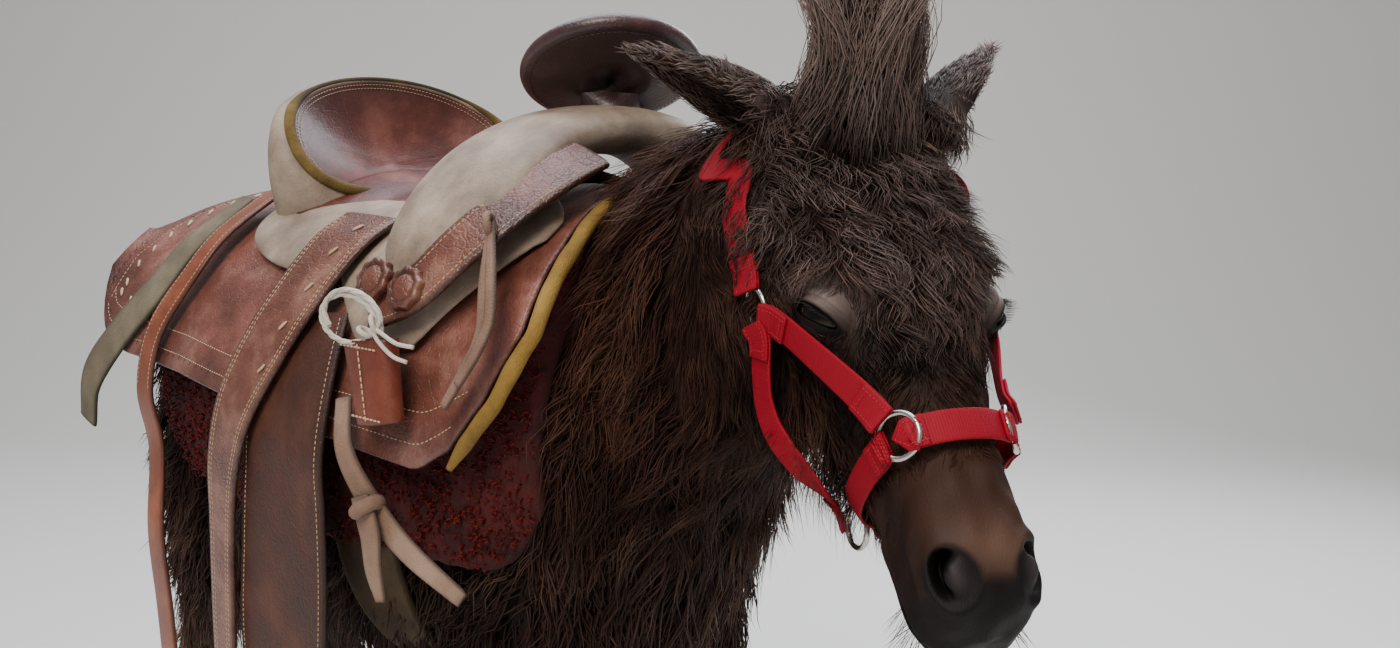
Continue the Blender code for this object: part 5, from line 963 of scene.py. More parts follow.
def growCoat(skin):
    # sorts roots into regions, leaves out what tack, eyes, nostrils and hooves cover, and grows each region
    points, vertexNormals, triangles = meshArrays(skin)
    tree = treeOf(points, triangles)
    covered, webs = nodeTree(tackOver), nodeTree(webNames)
    centres = points[triangles].mean(1)
    region, _ = regionsOf(centres)
    kinds = ("head", "neck", "trunk", "leg")
    density = np.array([coat[k]["density"] for k in kinds])[region] * fineness
    local = headLocal(centres)
    onFace = region == 0
    muzzle = onFace * np.clip((local[:, 0] - 0.280) / 0.045, 0, 1)
    density = density * (1 - 0.85 * muzzle)
    spots, normals, owner = sampleSkin(points, triangles, density, 4)
    normals = unit(vertexNormals[triangles[owner]].mean(1))
    region, unwrapped = regionsOf(spots)
    keep = np.ones(len(spots), bool)
    under = region != 0
    for i in np.nonzero(under)[0]:
        p, n = spots[i], normals[i]
        start = (p + n * 0.002).tolist()
        if -0.31 < p[0] < 0.30 and covered.ray_cast(start, n.tolist(), 0.06)[0] is not None:
            keep[i] = False
    local = headLocal(spots)
    side = np.sign(local[:, 1])
    eyeGap = np.linalg.norm(local * np.stack([np.ones(len(side)), side, np.ones(len(side))], 1)
                            - np.array(head["eye"]), axis=1)
    for turn in (1, -1):
        centre, alongSlit, up, _ = eyeFrame(turn)
        off = spots - centre
        flatGap = np.hypot((off @ alongSlit) / 0.0240, (off @ up - 0.003) / 0.0170)
        keep &= ~((flatGap < 1) & (np.linalg.norm(off, axis=1) < 0.034))
    for turn in (1, -1):
        spot, inward, upward, away = nostrilFrame(turn)
        off = spots - spot
        keep &= (np.hypot(off @ inward, (off @ upward) * 0.8) > 0.019) | (np.abs(off @ away) > 0.04)
    keep &= ~((region == 0) & (local[:, 0] > 0.266 + 0.004 * waves(spots, 0.02, 5)))
    keep &= spots[:, 2] > 0.040
    spots, normals, region, unwrapped, eyeGap = (
        rows[keep] for rows in (spots, normals, region, unwrapped, eyeGap))
    local = headLocal(spots)
    ways, ear = lieOf(spots, normals, region)
    rng = np.random.default_rng(9)
    made = []
    names = {0: "coatHead", 1: "coatNeck", 2: "coatTrunk", 3: "coatLegs"}
    for k, kind in enumerate(kinds):
        size = coat[kind]
        rows = np.nonzero(region == k)[0]
        p, n = spots[rows], normals[rows]
        scale = rng.uniform(0.65, 1.25, len(rows))
        lift = np.full(len(rows), size["lift"]) * rng.uniform(0.5, 1.5, len(rows))
        length = size["length"] * scale
        wave = np.full(len(rows), size["wave"])
        width = np.full(len(rows), size["width"]) * rng.uniform(0.7, 1.3, len(rows))
        pale = np.zeros(len(rows))
        if k == 0:
            a, out = local[rows, 0], local[rows, 2]
            brow = np.clip((0.215 - a) / 0.06, 0, 1) * np.clip((out + 0.060) / 0.035, 0, 1)
            brow = brow * (1 - 0.45 * np.clip(local[rows, 1] / 0.05, 0, 1))
            beard = np.exp(-np.abs((a - 0.200) / 0.065) ** 3) * np.clip((-0.072 - out) / 0.03, 0, 1)
            cheek = np.clip((-0.05 - out) / 0.03, 0, 1) * np.clip((0.25 - a) / 0.08, 0, 1)
            short = np.clip((a - 0.24) / 0.06, 0, 1)
            close = np.clip((0.048 - eyeGap[rows]) / 0.020, 0, 1)
            factor = ((0.62 + 0.95 * brow + 0.45 * cheek) * (1 - 0.78 * short) * (1 - 0.80 * close)
                      + 1.15 * beard)
            length = length * factor
            lift = lift * (factor + 0.2 * brow * (1 - close) + 4.2 * beard) * (1 - 0.7 * short)
            wave = wave * (0.3 + 1.6 * brow) * (1 - close) * (1 - short)
            width = width * (0.75 + 0.35 * brow) * (1 - 0.30 * short)
            here = ear[rows]
            rim = rimOf(p[here])
            length[here] = (0.010 + 0.010 * rim) * scale[here]
            lift[here], wave[here], width[here] = 0.0012 + 0.004 * rim, 0.0006 + 0.0012 * rim, 0.0011
            pale[here] = 0.20 + 0.65 * rim
        if k == 2:
            belly = np.clip((-n[:, 2] - 0.35) / 0.3, 0, 1)
            length, lift = length * (1 + 0.7 * belly), lift * (1 + 0.8 * belly)
        if k == 3:
            feather = np.exp(-((p[:, 2] - 0.10) / 0.04) ** 2) * np.clip(-n[:, 0] + 0.3, 0, 1)
            high = np.clip((p[:, 2] - 0.28) / 0.15, 0, 1)
            length = length * (0.85 + 0.9 * feather + 0.7 * high)
            lift = lift * (0.8 + 1.2 * feather + 0.9 * high)
            length = np.minimum(length, 0.9 * (p[:, 2] - 0.012))
        limit = hairLimit // (6 * size["steps"] - 2)  # strands; each has so many triangles
        pieces = max(1, math.ceil(len(rows) / limit))
        order = np.argsort(p[:, 0] if k else local[rows, 0], kind="stable")
        for part, chosen in enumerate(np.array_split(order, pieces)):
            made.append(growHair(
                f"{names[k]}{part + 1}", p[chosen], n[chosen], ways[rows][chosen], length[chosen],
                width[chosen], lift[chosen], wave[chosen], size["clump"], tree, webs if k < 2 else None,
                20 + 5 * k, unwrapped[rows][chosen], size["steps"], 4.0 if k in (1, 2) else 0.0,
                coat["clumpSpacing"] * (0.55 if k == 0 else 1.0), True, pale[chosen]))
    for piece in made:
        onRoot(piece, "coat")
    return made, tree, webs


# long hair

longHair = {
    "forelock": {"count": 3000, "width": 0.0014, "steps": 9, "wave": 0.0190, "pale": 0.62, "frizz": 0.0042},
    "tail": {"count": 1700, "width": 0.0034, "steps": 9, "wave": 0.0080, "pale": 0.08},
    "mane": {"count": 2600, "width": 0.0019, "steps": 5, "wave": 0.0060},
    "forelockRows": (
        (0.494, -0.022, 0.935, 0.052, 0.070), (0.498, -0.023, 0.975, 0.042, 0.056),
        (0.500, -0.024, 1.015, 0.036, 0.046), (0.499, -0.024, 1.060, 0.038, 0.050),
        (0.496, -0.022, 1.100, 0.040, 0.054), (0.492, -0.020, 1.142, 0.040, 0.056),
    ),
    "tailRows": (
        (-0.455, 0, 0.775, 0.024, 0.024), (-0.492, 0, 0.760, 0.032, 0.034), (-0.522, 0, 0.700, 0.038, 0.046),
        (-0.536, 0, 0.600, 0.040, 0.054), (-0.540, 0, 0.480, 0.038, 0.054), (-0.534, 0, 0.360, 0.030, 0.044),
        (-0.526, 0, 0.255, 0.018, 0.024),
    ),
    "maneRows": (
        (0.292, 0.004, 0.912), (0.318, 0.006, 0.918), (0.350, 0.004, 0.926), (0.386, -0.006, 0.936),
        (0.420, -0.018, 0.944), (0.455, -0.022, 0.950),
    ),
}


def columnHair(name, rows, towards, size, seed, spread=1.0, short=0.45):
    # strands that keep their place in the column's section, sway together in locks and end one by one
    rng = np.random.default_rng(seed)
    count = max(60, int(size["count"] * fineness))
    line = smoothRows(rows, 60)
    _, side, up = frames(line[:, :3], towards)
    r = np.sqrt(rng.random(count))
    t = rng.uniform(0, tau, count)
    end = rng.uniform(short, 1.0, count) ** 0.7
    start = rng.uniform(0, 0.10, count)
    k = start[:, None] + (end - start)[:, None] * np.linspace(0, 1, size["steps"] + 1)[None]
    spots = k * (len(line) - 1)
    low = np.clip(np.floor(spots).astype(int), 0, len(line) - 2)
    part = (spots - low)[..., None]

    def at(values):
        return values[low] * (1 - part) + values[low + 1] * part

    centre, sideWay, upWay = at(line[:, :3]), at(side), at(up)
    radiusUp, radiusSide = at(line[:, 3:4]), at(line[:, 4:5])
    sector = np.floor(t / tau * 9)
    lock = sector + 9 * np.floor(r * 1.9)
    phase = (lock * 2.4) % tau
    gather = 0.55 * k[..., None] * rng.uniform(0.5, 1.2, (count, 1, 1))
    lockTurn = (sector + 0.5) / 9 * tau
    turn = t[:, None, None] * (1 - gather) + lockTurn[:, None, None] * gather
    lockReach = np.where(r > 0.52, 0.82, 0.30)[:, None, None]
    reach = (r[:, None, None] * (1 - gather) + lockReach * gather) * spread
    astray = (rng.random(count) < 0.14)[:, None, None]
    reach = reach * np.where(astray, 1.0 + 0.35 * k[..., None], 1.0)
    path = centre + upWay * radiusUp * reach * np.sin(turn) + sideWay * radiusSide * reach * np.cos(turn)
    wave = size["wave"] * k[..., None]
    path += sideWay * wave * np.sin(phase[:, None, None] + 9 * k[..., None])
    path += upWay * wave * np.cos(phase[:, None, None] * 1.7 + 7 * k[..., None])
    frizz = rng.uniform(0, tau, (count, 1, 1))
    small = size.get("frizz", 0.0022)
    path += (sideWay * small * np.sin(frizz + 16 * k[..., None])
             + upWay * small * np.cos(frizz + 14 * k[..., None]))
    path += rng.normal(0, 0.0022, (count, 1, 3)) * k[..., None]
    normals = unit(upWay[:, 2] * np.sin(t)[:, None] + sideWay[:, 2] * np.cos(t)[:, None])
    widths = size["width"] * rng.uniform(0.6, 1.35, count)
    uv = np.stack([0.02 + 0.96 * t / tau, 0.02 + 0.90 * r], 1)
    return bladesOf(name, path, normals, widths, uv, seed, size["pale"] * rng.uniform(0.3, 1.3, count))


def maneHair(tree, webs):
    # strands rooted along the crest that rise a little, part and fall to both sides of the neck
    rng = np.random.default_rng(8)
    size = longHair["mane"]
    count = int(size["count"] * fineness)
    line = smoothRows(longHair["maneRows"], 80)
    roots = line[rng.integers(0, 80, count)] + rng.normal(0, 1, (count, 3)) * (0.006, 0.012, 0.001)
    side = np.where(rng.random(count) < 0.6, -1.0, 1.0)
    normals = unit(np.stack([np.full(count, -0.05), 0.25 * side, np.full(count, 1.0)], 1))
    ways = project(np.stack([rng.normal(-0.45, 0.2, count), side * rng.uniform(0.3, 1.0, count),
                             np.zeros(count)], 1), normals)
    spots = np.array([tree.find_nearest(p)[0] for p in roots.tolist()])
    length = rng.uniform(0.050, 0.095, count)
    uv = np.stack([(spots[:, 0] - 0.28) / 0.2, 0.5 + (spots[:, 1]) / 0.12], 1)
    return growHair("maneStrands", spots, normals, ways, length,
                    size["width"] * rng.uniform(0.7, 1.3, count),
                    np.full(count, 0.022), np.full(count, size["wave"]), 0.5, tree, webs, 61,
                    np.clip(uv, 0.01, 0.99), size["steps"], 5.0, 0.016)


def lashes(tree):
    # lashes along the upper lids and a few long whiskers on lips and chin
    rng = np.random.default_rng(14)
    paths, normals = [], []
    s = np.linspace(0, 1, 5)
    for turn in (1, -1):
        centre, alongSlit, up, outward = eyeFrame(turn)
        for share in np.linspace(0.12, 0.88, max(14, int(52 * fineness))):
            x, y = slitEdge(math.pi * share)
            z = math.sqrt((head["eyeRadius"] + 0.0018) ** 2 - x * x - y * y)
            root = centre + x * alongSlit + y * up + z * outward
            way = unit(outward * 0.8 + alongSlit * (0.15 + 14 * x) - up * 0.55)
            far = rng.uniform(0.008, 0.013)
            paths.append(root + np.outer(s * far, way) + np.outer(s**2 * 0.0035, up))
            normals.append(up)
        for _ in range(int(36 * fineness) + 6):
            a, out = rng.uniform(0.335, 0.368), rng.uniform(-0.098, -0.070)
            root, normal, _, _ = tree.find_nearest((onHead(a, turn * 0.04, out)).tolist())
            far = rng.uniform(0.012, 0.026)
            way = unit(np.array(normal) + faceWay * 0.5 + rng.normal(0, 0.25, 3))
            paths.append(np.array(root) + np.outer(s * far, way) - np.outer(s**2 * 0.004, (0, 0, 1)))
            normals.append(np.array(normal))
    paths, normals = np.array(paths), np.array(normals)
    uv = rng.uniform(0.1, 0.9, (len(paths), 2))
    return bladesOf("lashesAndWhiskers", paths, normals, np.full(len(paths), 0.0007), uv, 71)


# eyes and hooves

def makeEyes():
    # a glossy ball with a very dark iris and a wide level pupil, drawn by each point's place in the eye
    material, tree, shader = newMaterial("wetCornea")
    tint = addNode(tree, "ShaderNodeAttribute", attribute_name="tint")
    tree.links.new(tint.outputs["Color"], shader.inputs["Base Color"])
    setInputs(shader, Roughness=0.16, IOR=1.38, Specular_IOR_Level=0.30, Coat_Weight=0.25,
              Coat_Roughness=0.04)
    for name, turn in (("right", -1), ("left", 1)):
        centre, alongSlit, up, outward = eyeFrame(turn)
        lat = np.linspace(-1, 1, 48)[:, None] * (math.pi / 2) * 0.999
        lon = np.linspace(0, tau, 72, endpoint=False)[None]
        x, y, z = np.cos(lat) * np.cos(lon), np.cos(lat) * np.sin(lon), np.sin(lat) + 0 * lon
        grid = (centre + head["eyeRadius"] * (x[..., None] * alongSlit + y[..., None] * up
                                              + z[..., None] * outward))
        ball = tubePiece("eyeball" + name.capitalize(), grid, material)
        there, _, _ = meshArrays(ball)
        off = (there - centre) / head["eyeRadius"]
        x, y, z = off @ alongSlit, off @ up, off @ outward
        iris = np.clip((0.74 - np.hypot(x, y)) / 0.05, 0, 1)[:, None] * (z > 0)[:, None]
        pupil = np.clip((1 - np.hypot(x / 0.44, (y + 0.10) / 0.24)) / 0.08, 0, 1)[:, None] * (z > 0)[:, None]
        white, brown, black = (np.array(linear(c)[:3]) for c in ("#140e0c", "#20150c", "#030304"))
        colour = (white * (1 - iris) + brown * iris) * (1 - pupil) + black * pupil
        paint(ball.data.color_attributes.new("tint", "FLOAT_COLOR", "POINT"), colour)
        onRoot(ball, "eye", "eye_" + name)


# leather, cloth and metal

def leatherMaterial(name, colours, rough, grain=0.5, crackle=0.0, gloss=0.0, grainSize=0.0022):
    # tanned hide: mottled colour, pores as a fine bump, worn edges darker by the tone each point carries
    material, tree, shader = newMaterial(name)
    place = addNode(tree, "ShaderNodeTexCoord").outputs["Object"]
    cloud = addNode(tree, "ShaderNodeTexNoise", {"Vector": place}, Scale=16.0, Detail=6.0, Roughness=0.65)
    base = rampNode(tree, cloud.outputs["Fac"], [(0.28, colours[0]), (0.5, colours[1]), (0.74, colours[2])])
    tone = addNode(tree, "ShaderNodeAttribute", attribute_name="tone")
    scale = addNode(tree, "ShaderNodeMath", {0: tone.outputs["Fac"]}, operation="ADD")
    scale.inputs[1].default_value = 1.0
    shade = addNode(tree, "ShaderNodeVectorMath", {0: base, "Scale": scale.outputs["Value"]},
                    operation="SCALE")
    tree.links.new(shade.outputs["Vector"], shader.inputs["Base Color"])
    wear = addNode(tree, "ShaderNodeMapRange", {"Value": cloud.outputs["Fac"]})
    setInputs(wear, To_Min=rough - 0.10, To_Max=rough + 0.12)
    tree.links.new(wear.outputs["Result"], shader.inputs["Roughness"])
    setInputs(shader, IOR=1.5, Coat_Weight=gloss, Coat_Roughness=0.22)
    pores = addNode(tree, "ShaderNodeTexVoronoi", {"Vector": place}, Scale=1 / grainSize)
    bump = addNode(tree, "ShaderNodeBump", {"Height": pores.outputs["Distance"]}, Strength=grain,
                   Distance=0.0006)
    if crackle:
        cracks = addNode(tree, "ShaderNodeTexVoronoi", {"Vector": place},
                         feature="DISTANCE_TO_EDGE", Scale=95.0)
        sharp = addNode(tree, "ShaderNodeMapRange", {"Value": cracks.outputs["Distance"]})
        sharp.inputs["From Max"].default_value = 0.09
        deep = addNode(tree, "ShaderNodeBump",
                       {"Height": sharp.outputs["Result"], "Normal": bump.outputs["Normal"]},
                       Strength=crackle, Distance=0.0012)
        bump = deep
    tree.links.new(bump.outputs["Normal"], shader.inputs["Normal"])
    return material


def plainMaterial(name, colour, rough, metal=0.0, bumpSize=0.0, bumpDepth=0.0, second=None, clouds=30.0):
    # one finish, with an optional second colour in soft clouds and an optional grain of a real size
    material, tree, shader = newMaterial(name)
    setInputs(shader, Roughness=rough, Metallic=metal)
    place = addNode(tree, "ShaderNodeTexCoord").outputs["Object"]
    if second:
        cloud = addNode(tree, "ShaderNodeTexNoise", {"Vector": place}, Scale=clouds, Detail=5.0)
        tree.links.new(rampNode(tree, cloud.outputs["Fac"], [(0.3, colour), (0.7, second)]),
                       shader.inputs["Base Color"])
    else:
        shader.inputs["Base Color"].default_value = linear(colour)
    if bumpSize:
        fine = addNode(tree, "ShaderNodeTexNoise", {"Vector": place}, Scale=1 / bumpSize, Detail=4.0)
        bump = addNode(tree, "ShaderNodeBump", {"Height": fine.outputs["Fac"]}, Strength=0.8,
                       Distance=bumpDepth)
        tree.links.new(bump.outputs["Normal"], shader.inputs["Normal"])
    return material


def webMaterial():
    # flat woven nylon: ribs 1 mm apart across the web and a finer weave along it
    material, tree, shader = newMaterial("wovenNylonWebbing")
    setInputs(shader, Base_Color=linear("#8e001c"), Roughness=0.62, Specular_IOR_Level=0.22)
    place = addNode(tree, "ShaderNodeUVMap", uv_map="uv")
    ribs = addNode(tree, "ShaderNodeTexWave", {"Vector": place.outputs["UV"]}, bands_direction="Y",
                   Scale=160.0)
    lines = addNode(tree, "ShaderNodeTexWave", {"Vector": place.outputs["UV"]}, bands_direction="X",
                    Scale=330.0)
    both = addNode(tree, "ShaderNodeMath", {0: ribs.outputs["Fac"], 1: lines.outputs["Fac"]},
                   operation="MULTIPLY")
    bump = addNode(tree, "ShaderNodeBump", {"Height": both.outputs["Value"]}, Strength=0.6, Distance=0.0005)
    tree.links.new(bump.outputs["Normal"], shader.inputs["Normal"])
    return material


finish = {
    "skirt": leatherMaterial("oiledSaddleLeather", ("#4a271f", "#704237", "#9c7266"), 0.42, 0.8, 0.3, 0.2),
    "strap": leatherMaterial("wornStrapLeather", ("#43241b", "#693d2f", "#946d5b"), 0.40, 0.8, 0.35, 0.2),
    "fender": leatherMaterial("darkFenderLeather", ("#2b130b", "#432113", "#603727"), 0.60, 0.6, 0.25, 0.0),
    "cup": leatherMaterial("polishedSeatLeather", ("#3a1c17", "#5a2e26", "#805044"), 0.42, 0.25, 0.12, 0.15),
    "orange": leatherMaterial("newBridleLeather", ("#5c2a17", "#7c4027", "#a06040"), 0.45, 0.5, 0.0, 0.15),
    "lace": leatherMaterial("oiledKipLeather", ("#4c1f12", "#6b2e1c", "#874630"), 0.50, 0.5, 0.0, 0.1),
    "dark": leatherMaterial("darkHornLeather", ("#241516", "#332022", "#4a3230"), 0.40, 0.4, 0.1, 0.15),
    "hide": leatherMaterial("undyedSmokedHide", ("#6a5b4f", "#8f7e6e", "#b3a392"), 0.62, 0.35, 0.1, 0.0),
    "suede": leatherMaterial("ochreSplitSuede", ("#54401a", "#856728", "#a88642"), 0.88, 0.9, 0.0,
                             0.0, 0.0012),
    "olive": leatherMaterial("oliveSplitSuede", ("#3c2f14", "#5f4c20", "#836d38"), 0.9, 0.9, 0.0,
                             0.0, 0.0012),
    "latigo": leatherMaterial("softLatigoHide", ("#6f5446", "#8a6e5c", "#a18877"), 0.78, 0.8, 0.1,
                              0.0, 0.0015),
    "pad": leatherMaterial("greyGreenSplitSuede", ("#4f4638", "#665c4a", "#7d735f"), 0.9, 0.9, 0.0,
                           0.0, 0.0012),
    "thread": plainMaterial("waxedLinenThread", "#b9a184", 0.7),
    "thong": plainMaterial("creamRawhideThong", "#cbb59a", 0.7, second="#a58c70"),
    "cotton": plainMaterial("braidedCottonRope", "#d3ccc0", 0.85, bumpSize=0.001, bumpDepth=0.0006,
                            second="#b8afa2"),
    "steel": plainMaterial("nickelPlatedSteel", "#c9c6bf", 0.26, 1.0, 0.004, 0.00008),
    "fleece": plainMaterial("maroonWoolFleece", "#2a0607", 0.95, bumpSize=0.003, bumpDepth=0.0025,
                            second="#4a0f0f"),
    "girth": plainMaterial("twistedCottonCord", "#3b2d24", 0.9, bumpSize=0.002, bumpDepth=0.001,
                           second="#54442f"),
    "wood": leatherMaterial("hideCoveredWood", ("#54402f", "#6f5742", "#8a7259"), 0.6, 0.5, 0.0, 0.05),
    "horn": plainMaterial("agedHoofHorn", "#2a2320", 0.5, bumpSize=0.002, bumpDepth=0.0004,
                          second="#4a3e36", clouds=60.0),
    "web": webMaterial(),
}


def gridNormals(grid, outward):
    # unit normals of a grid of points, turned to the side of a given direction
    down = np.gradient(grid, axis=0)
    across = np.gradient(grid, axis=1)
    normal = unit(np.cross(down, across))
    sign = np.sign((normal * outward).sum(-1).mean())
    return normal * (sign if sign else 1)


def slab(name, grid, normals, thick, material, tone=0.0):
    # a sheet with a rounded rim: outer face, inner face a thickness below it, three rings at the border
    rows, columns = grid.shape[:2]
    thick = np.broadcast_to(np.asarray(thick, float), (rows, columns))[..., None]
    tone = np.broadcast_to(np.asarray(tone, float), (rows, columns))
    inner = grid - normals * thick
    i, j = np.arange(rows), np.arange(columns)
    loop = np.concatenate([np.stack([np.zeros_like(j), j], 1)[:-1],
                           np.stack([i, np.full_like(i, columns - 1)], 1)[:-1],
                           np.stack([np.full_like(j, rows - 1), j[::-1]], 1)[:-1],
                           np.stack([i[::-1], np.zeros_like(i)], 1)[:-1]])
    within = np.clip(loop, 1, [rows - 2, columns - 2])

    def at(values, where):
        return values[where[:, 0], where[:, 1]]

    out = unit(at(grid, loop) - at(grid, within))
    rings = [at(grid, loop) - at(normals, loop) * at(thick, loop) * depth + out * at(thick, loop) * reach
             for depth, reach in ((0.12, 0.30), (0.5, 0.44), (0.88, 0.30))]
    points = np.vstack([grid.reshape(-1, 3), inner.reshape(-1, 3), *rings])
    outerFaces = gridFaces(rows, columns)
    count = rows * columns
    innerFaces = outerFaces[:, ::-1] + count
    border = loop[:, 0] * columns + loop[:, 1]
    lines = [border, 2 * count + np.arange(len(loop)), 2 * count + len(loop) + np.arange(len(loop)),
             2 * count + 2 * len(loop) + np.arange(len(loop)), border + count]
    sides = [np.stack([a, np.roll(a, -1), np.roll(b, -1), b], 1) for a, b in zip(lines[:-1], lines[1:])]
    tones = np.concatenate([tone.ravel(), tone.ravel() - 0.1] + [at(tone, loop) - 0.35] * 3)
    return fixNormals(makePiece(name, points, [outerFaces, innerFaces, np.vstack(sides)], material,
                                attributes={"tone": tones}))


def strapGrid(path, normals, widths, count, across=9, crown=0.0006):
    # rows along a smoothed path and columns across it, raised a little along the middle
    rows = np.hstack([path, normals,
                      np.broadcast_to(np.asarray(widths, float).ravel(), (len(path),))[:, None]])
    rows = smoothRows(rows, count)
    centre, half = rows[:, :3], rows[:, 6] / 2
    along = unit(np.gradient(centre, axis=0))
    side = unit(np.cross(along, rows[:, 3:6]))
    normal = np.cross(side, along)
    w = np.linspace(-1, 1, across)
    grid = (centre[:, None] + side[:, None] * (half[:, None] * w)[..., None]
            + normal[:, None] * (crown * (1 - w**2))[None, :, None])
    return grid, np.repeat(normal[:, None], across, 1)


def edgeTone(rows, across, darkness=0.30):
    # darker towards the border of a grid, as handled edges are
    u = np.linspace(-1, 1, rows)[:, None]
    v = np.linspace(-1, 1, across)[None]
    return -darkness * np.maximum(np.abs(v) ** 10, np.abs(u) ** 60)


def strapPiece(name, path, normals, widths, thick, material, count=60, across=9, lift=0.0, tone=0.0):
    grid, outward = strapGrid(path, normals, widths, count, across)
    grid = grid + outward * (thick / 2 + lift)
    return slab(name, grid, outward, thick, material, edgeTone(count, across) + tone), grid, outward


def stitchesAlong(lines, pitch=0.0048, length=0.0032, radius=0.00055):
    # little capsules end to end along lines of points and normals: one template turned to each place
    t = np.linspace(0, tau, 4, endpoint=False)
    s = np.array([-1.0, -0.6, 0.6, 1.0])
    r = np.array([0.35, 1.0, 1.0, 0.35])
    template = np.stack([np.repeat(s, 4) * length / 2, np.tile(np.cos(t), 4) * np.repeat(r, 4) * radius,
                         np.tile(np.sin(t), 4) * np.repeat(r, 4) * radius * 0.8], 1)
    faces = gridFaces(4, 4, True)
    caps = np.array([[3, 2, 1, 0], [12, 13, 14, 15]])
    allPoints, count = [], 0
    for line, normals in lines:
        far = lengthsAlong(line)
        spots = np.arange(pitch / 2, far[-1], pitch)
        centre = np.stack([np.interp(spots, far, line[:, k]) for k in range(3)], 1)
        normal = unit(np.stack([np.interp(spots, far, normals[:, k]) for k in range(3)], 1))
        ahead = unit(np.stack([np.interp(spots + 0.001, far, line[:, k]) for k in range(3)], 1)
                     - np.stack([np.interp(spots - 0.001, far, line[:, k]) for k in range(3)], 1))
        side = np.cross(normal, ahead)
        allPoints.append(centre[:, None] + template[None, :, :1] * ahead[:, None]
                         + template[None, :, 1:2] * side[:, None]
                         + template[None, :, 2:] * normal[:, None])
        count += len(spots)
    points = np.concatenate(allPoints).reshape(-1, 3)
    one = np.vstack([faces, caps])
    return points, (one[None] + 16 * np.arange(count)[:, None, None]).reshape(-1, 4)


def stitchPiece(name, lines, material, slot, **sizes):
    points, faces = stitchesAlong(lines, **sizes)
    return onRoot(fixNormals(makePiece(name, points, [faces], material)), slot)


def insetLines(grid, outward, inset=0.0035, lift=0.0003, sides=(0, -1), ends=(0.02, 0.98)):
    # lines a few millimetres inside the long edges of a strap's grid
    rows = len(grid)
    low, high = int(rows * ends[0]), max(int(rows * ends[1]), 2)
    made = []
    for edge in sides:
        border, other = grid[:, edge], grid[:, -1 if edge == 0 else 0]
        way = unit(other - border)
        near = border + way * inset + outward[:, edge] * lift
        made.append((near[low:high], outward[low:high, edge]))
    return made


def roundTube(name, path, radius, material, around=12, towards=(0, 0, 1), count=None, tone=0.0, wobble=0.0):
    path = np.asarray(path, float)
    rows = np.hstack([path, np.broadcast_to(np.asarray(radius, float).ravel(), (len(path),))[:, None]])
    rows = smoothRows(rows, count or 4 * len(path))
    _, side, up = frames(rows[:, :3], np.asarray(towards, float))
    t = np.linspace(0, tau, around, endpoint=False)
    r = rows[:, 3, None] * (1 + wobble * waves(rows[:, :3], 0.03, 3)[:, None])
    ring = (rows[:, None, :3] + (r * np.cos(t))[..., None] * side[:, None]
            + (r * np.sin(t))[..., None] * up[:, None])
    return tubePiece(name, ring, material, attributes={"tone": np.full(ring.shape[:2], tone)})


def ringPiece(name, path, radius, material, around=10, tone=0.0):
    # a round tube along a closed path
    path = np.asarray(path, float)
    along = unit(np.roll(path, -1, 0) - np.roll(path, 1, 0))
    out = path - path.mean(0)
    out = unit(out - along * (out * along).sum(1)[:, None])
    up = np.cross(along, out)
    t = np.linspace(0, tau, around, endpoint=False)
    radius = np.broadcast_to(np.asarray(radius, float), (len(path),))[:, None]
    ring = (path[:, None] + (radius * np.cos(t))[..., None] * out[:, None]
            + (radius * np.sin(t))[..., None] * up[:, None])
    count = len(path)
    i, j = np.meshgrid(np.arange(count), np.arange(around), indexing="ij")
    n, k = (i + 1) % count, (j + 1) % around
    faces = np.stack([i * around + j, n * around + j, n * around + k, i * around + k], -1).reshape(-1, 4)
    return fixNormals(makePiece(name, ring.reshape(-1, 3), [faces], material,
                                attributes={"tone": np.broadcast_to(tone, (count * around,)).astype(float)}))


def circle(centre, normal, radius, count=40):
    n = unit(np.asarray(normal, float))
    u = unit(np.cross(n, (0.3, 0.5, 0.8)))
    t = np.linspace(0, tau, count, endpoint=False)
    return np.asarray(centre) + radius * (np.outer(np.cos(t), u) + np.outer(np.sin(t), np.cross(n, u)))


# the saddle

saddle = {
    "blanketOut": 0.020, "leather": 0.005, "blanketX": (-0.295, 0.288), "blanketLow": 0.600,
    "horn": (0.203, 0.002, 1.018), "hornAxis": (-0.395, 0.245, 0.885),
    "cantle": (-0.110, 0.0, 0.964), "cantleHalf": (0.134, 0.076), "cantleLean": 37.0,
    "stirrup": (0.020, 0.236, 0.288),
}


def skirtLow(x):
    # height of the skirt's lower edge
    edge = np.interp(x, (-0.38, -0.30, -0.16, 0.10, 0.22, 0.30), (0.757, 0.733, 0.728, 0.706, 0.690, 0.74))
    return edge + 0.06 * np.maximum(0, (-0.345 - x) / 0.04) ** 2


def skirtFront(z):
    # x of the skirt's front edge
    return np.interp(z, (0.69, 0.75, 0.805, 0.87, 0.93), (0.238, 0.284, 0.304, 0.292, 0.262))


def skirtOuter(share):
    # how far out the skirt's outer face is, which stands off more towards its lower edge
    return saddle["blanketOut"] + 0.0026 + 0.024 * share**2 + saddle["leather"]


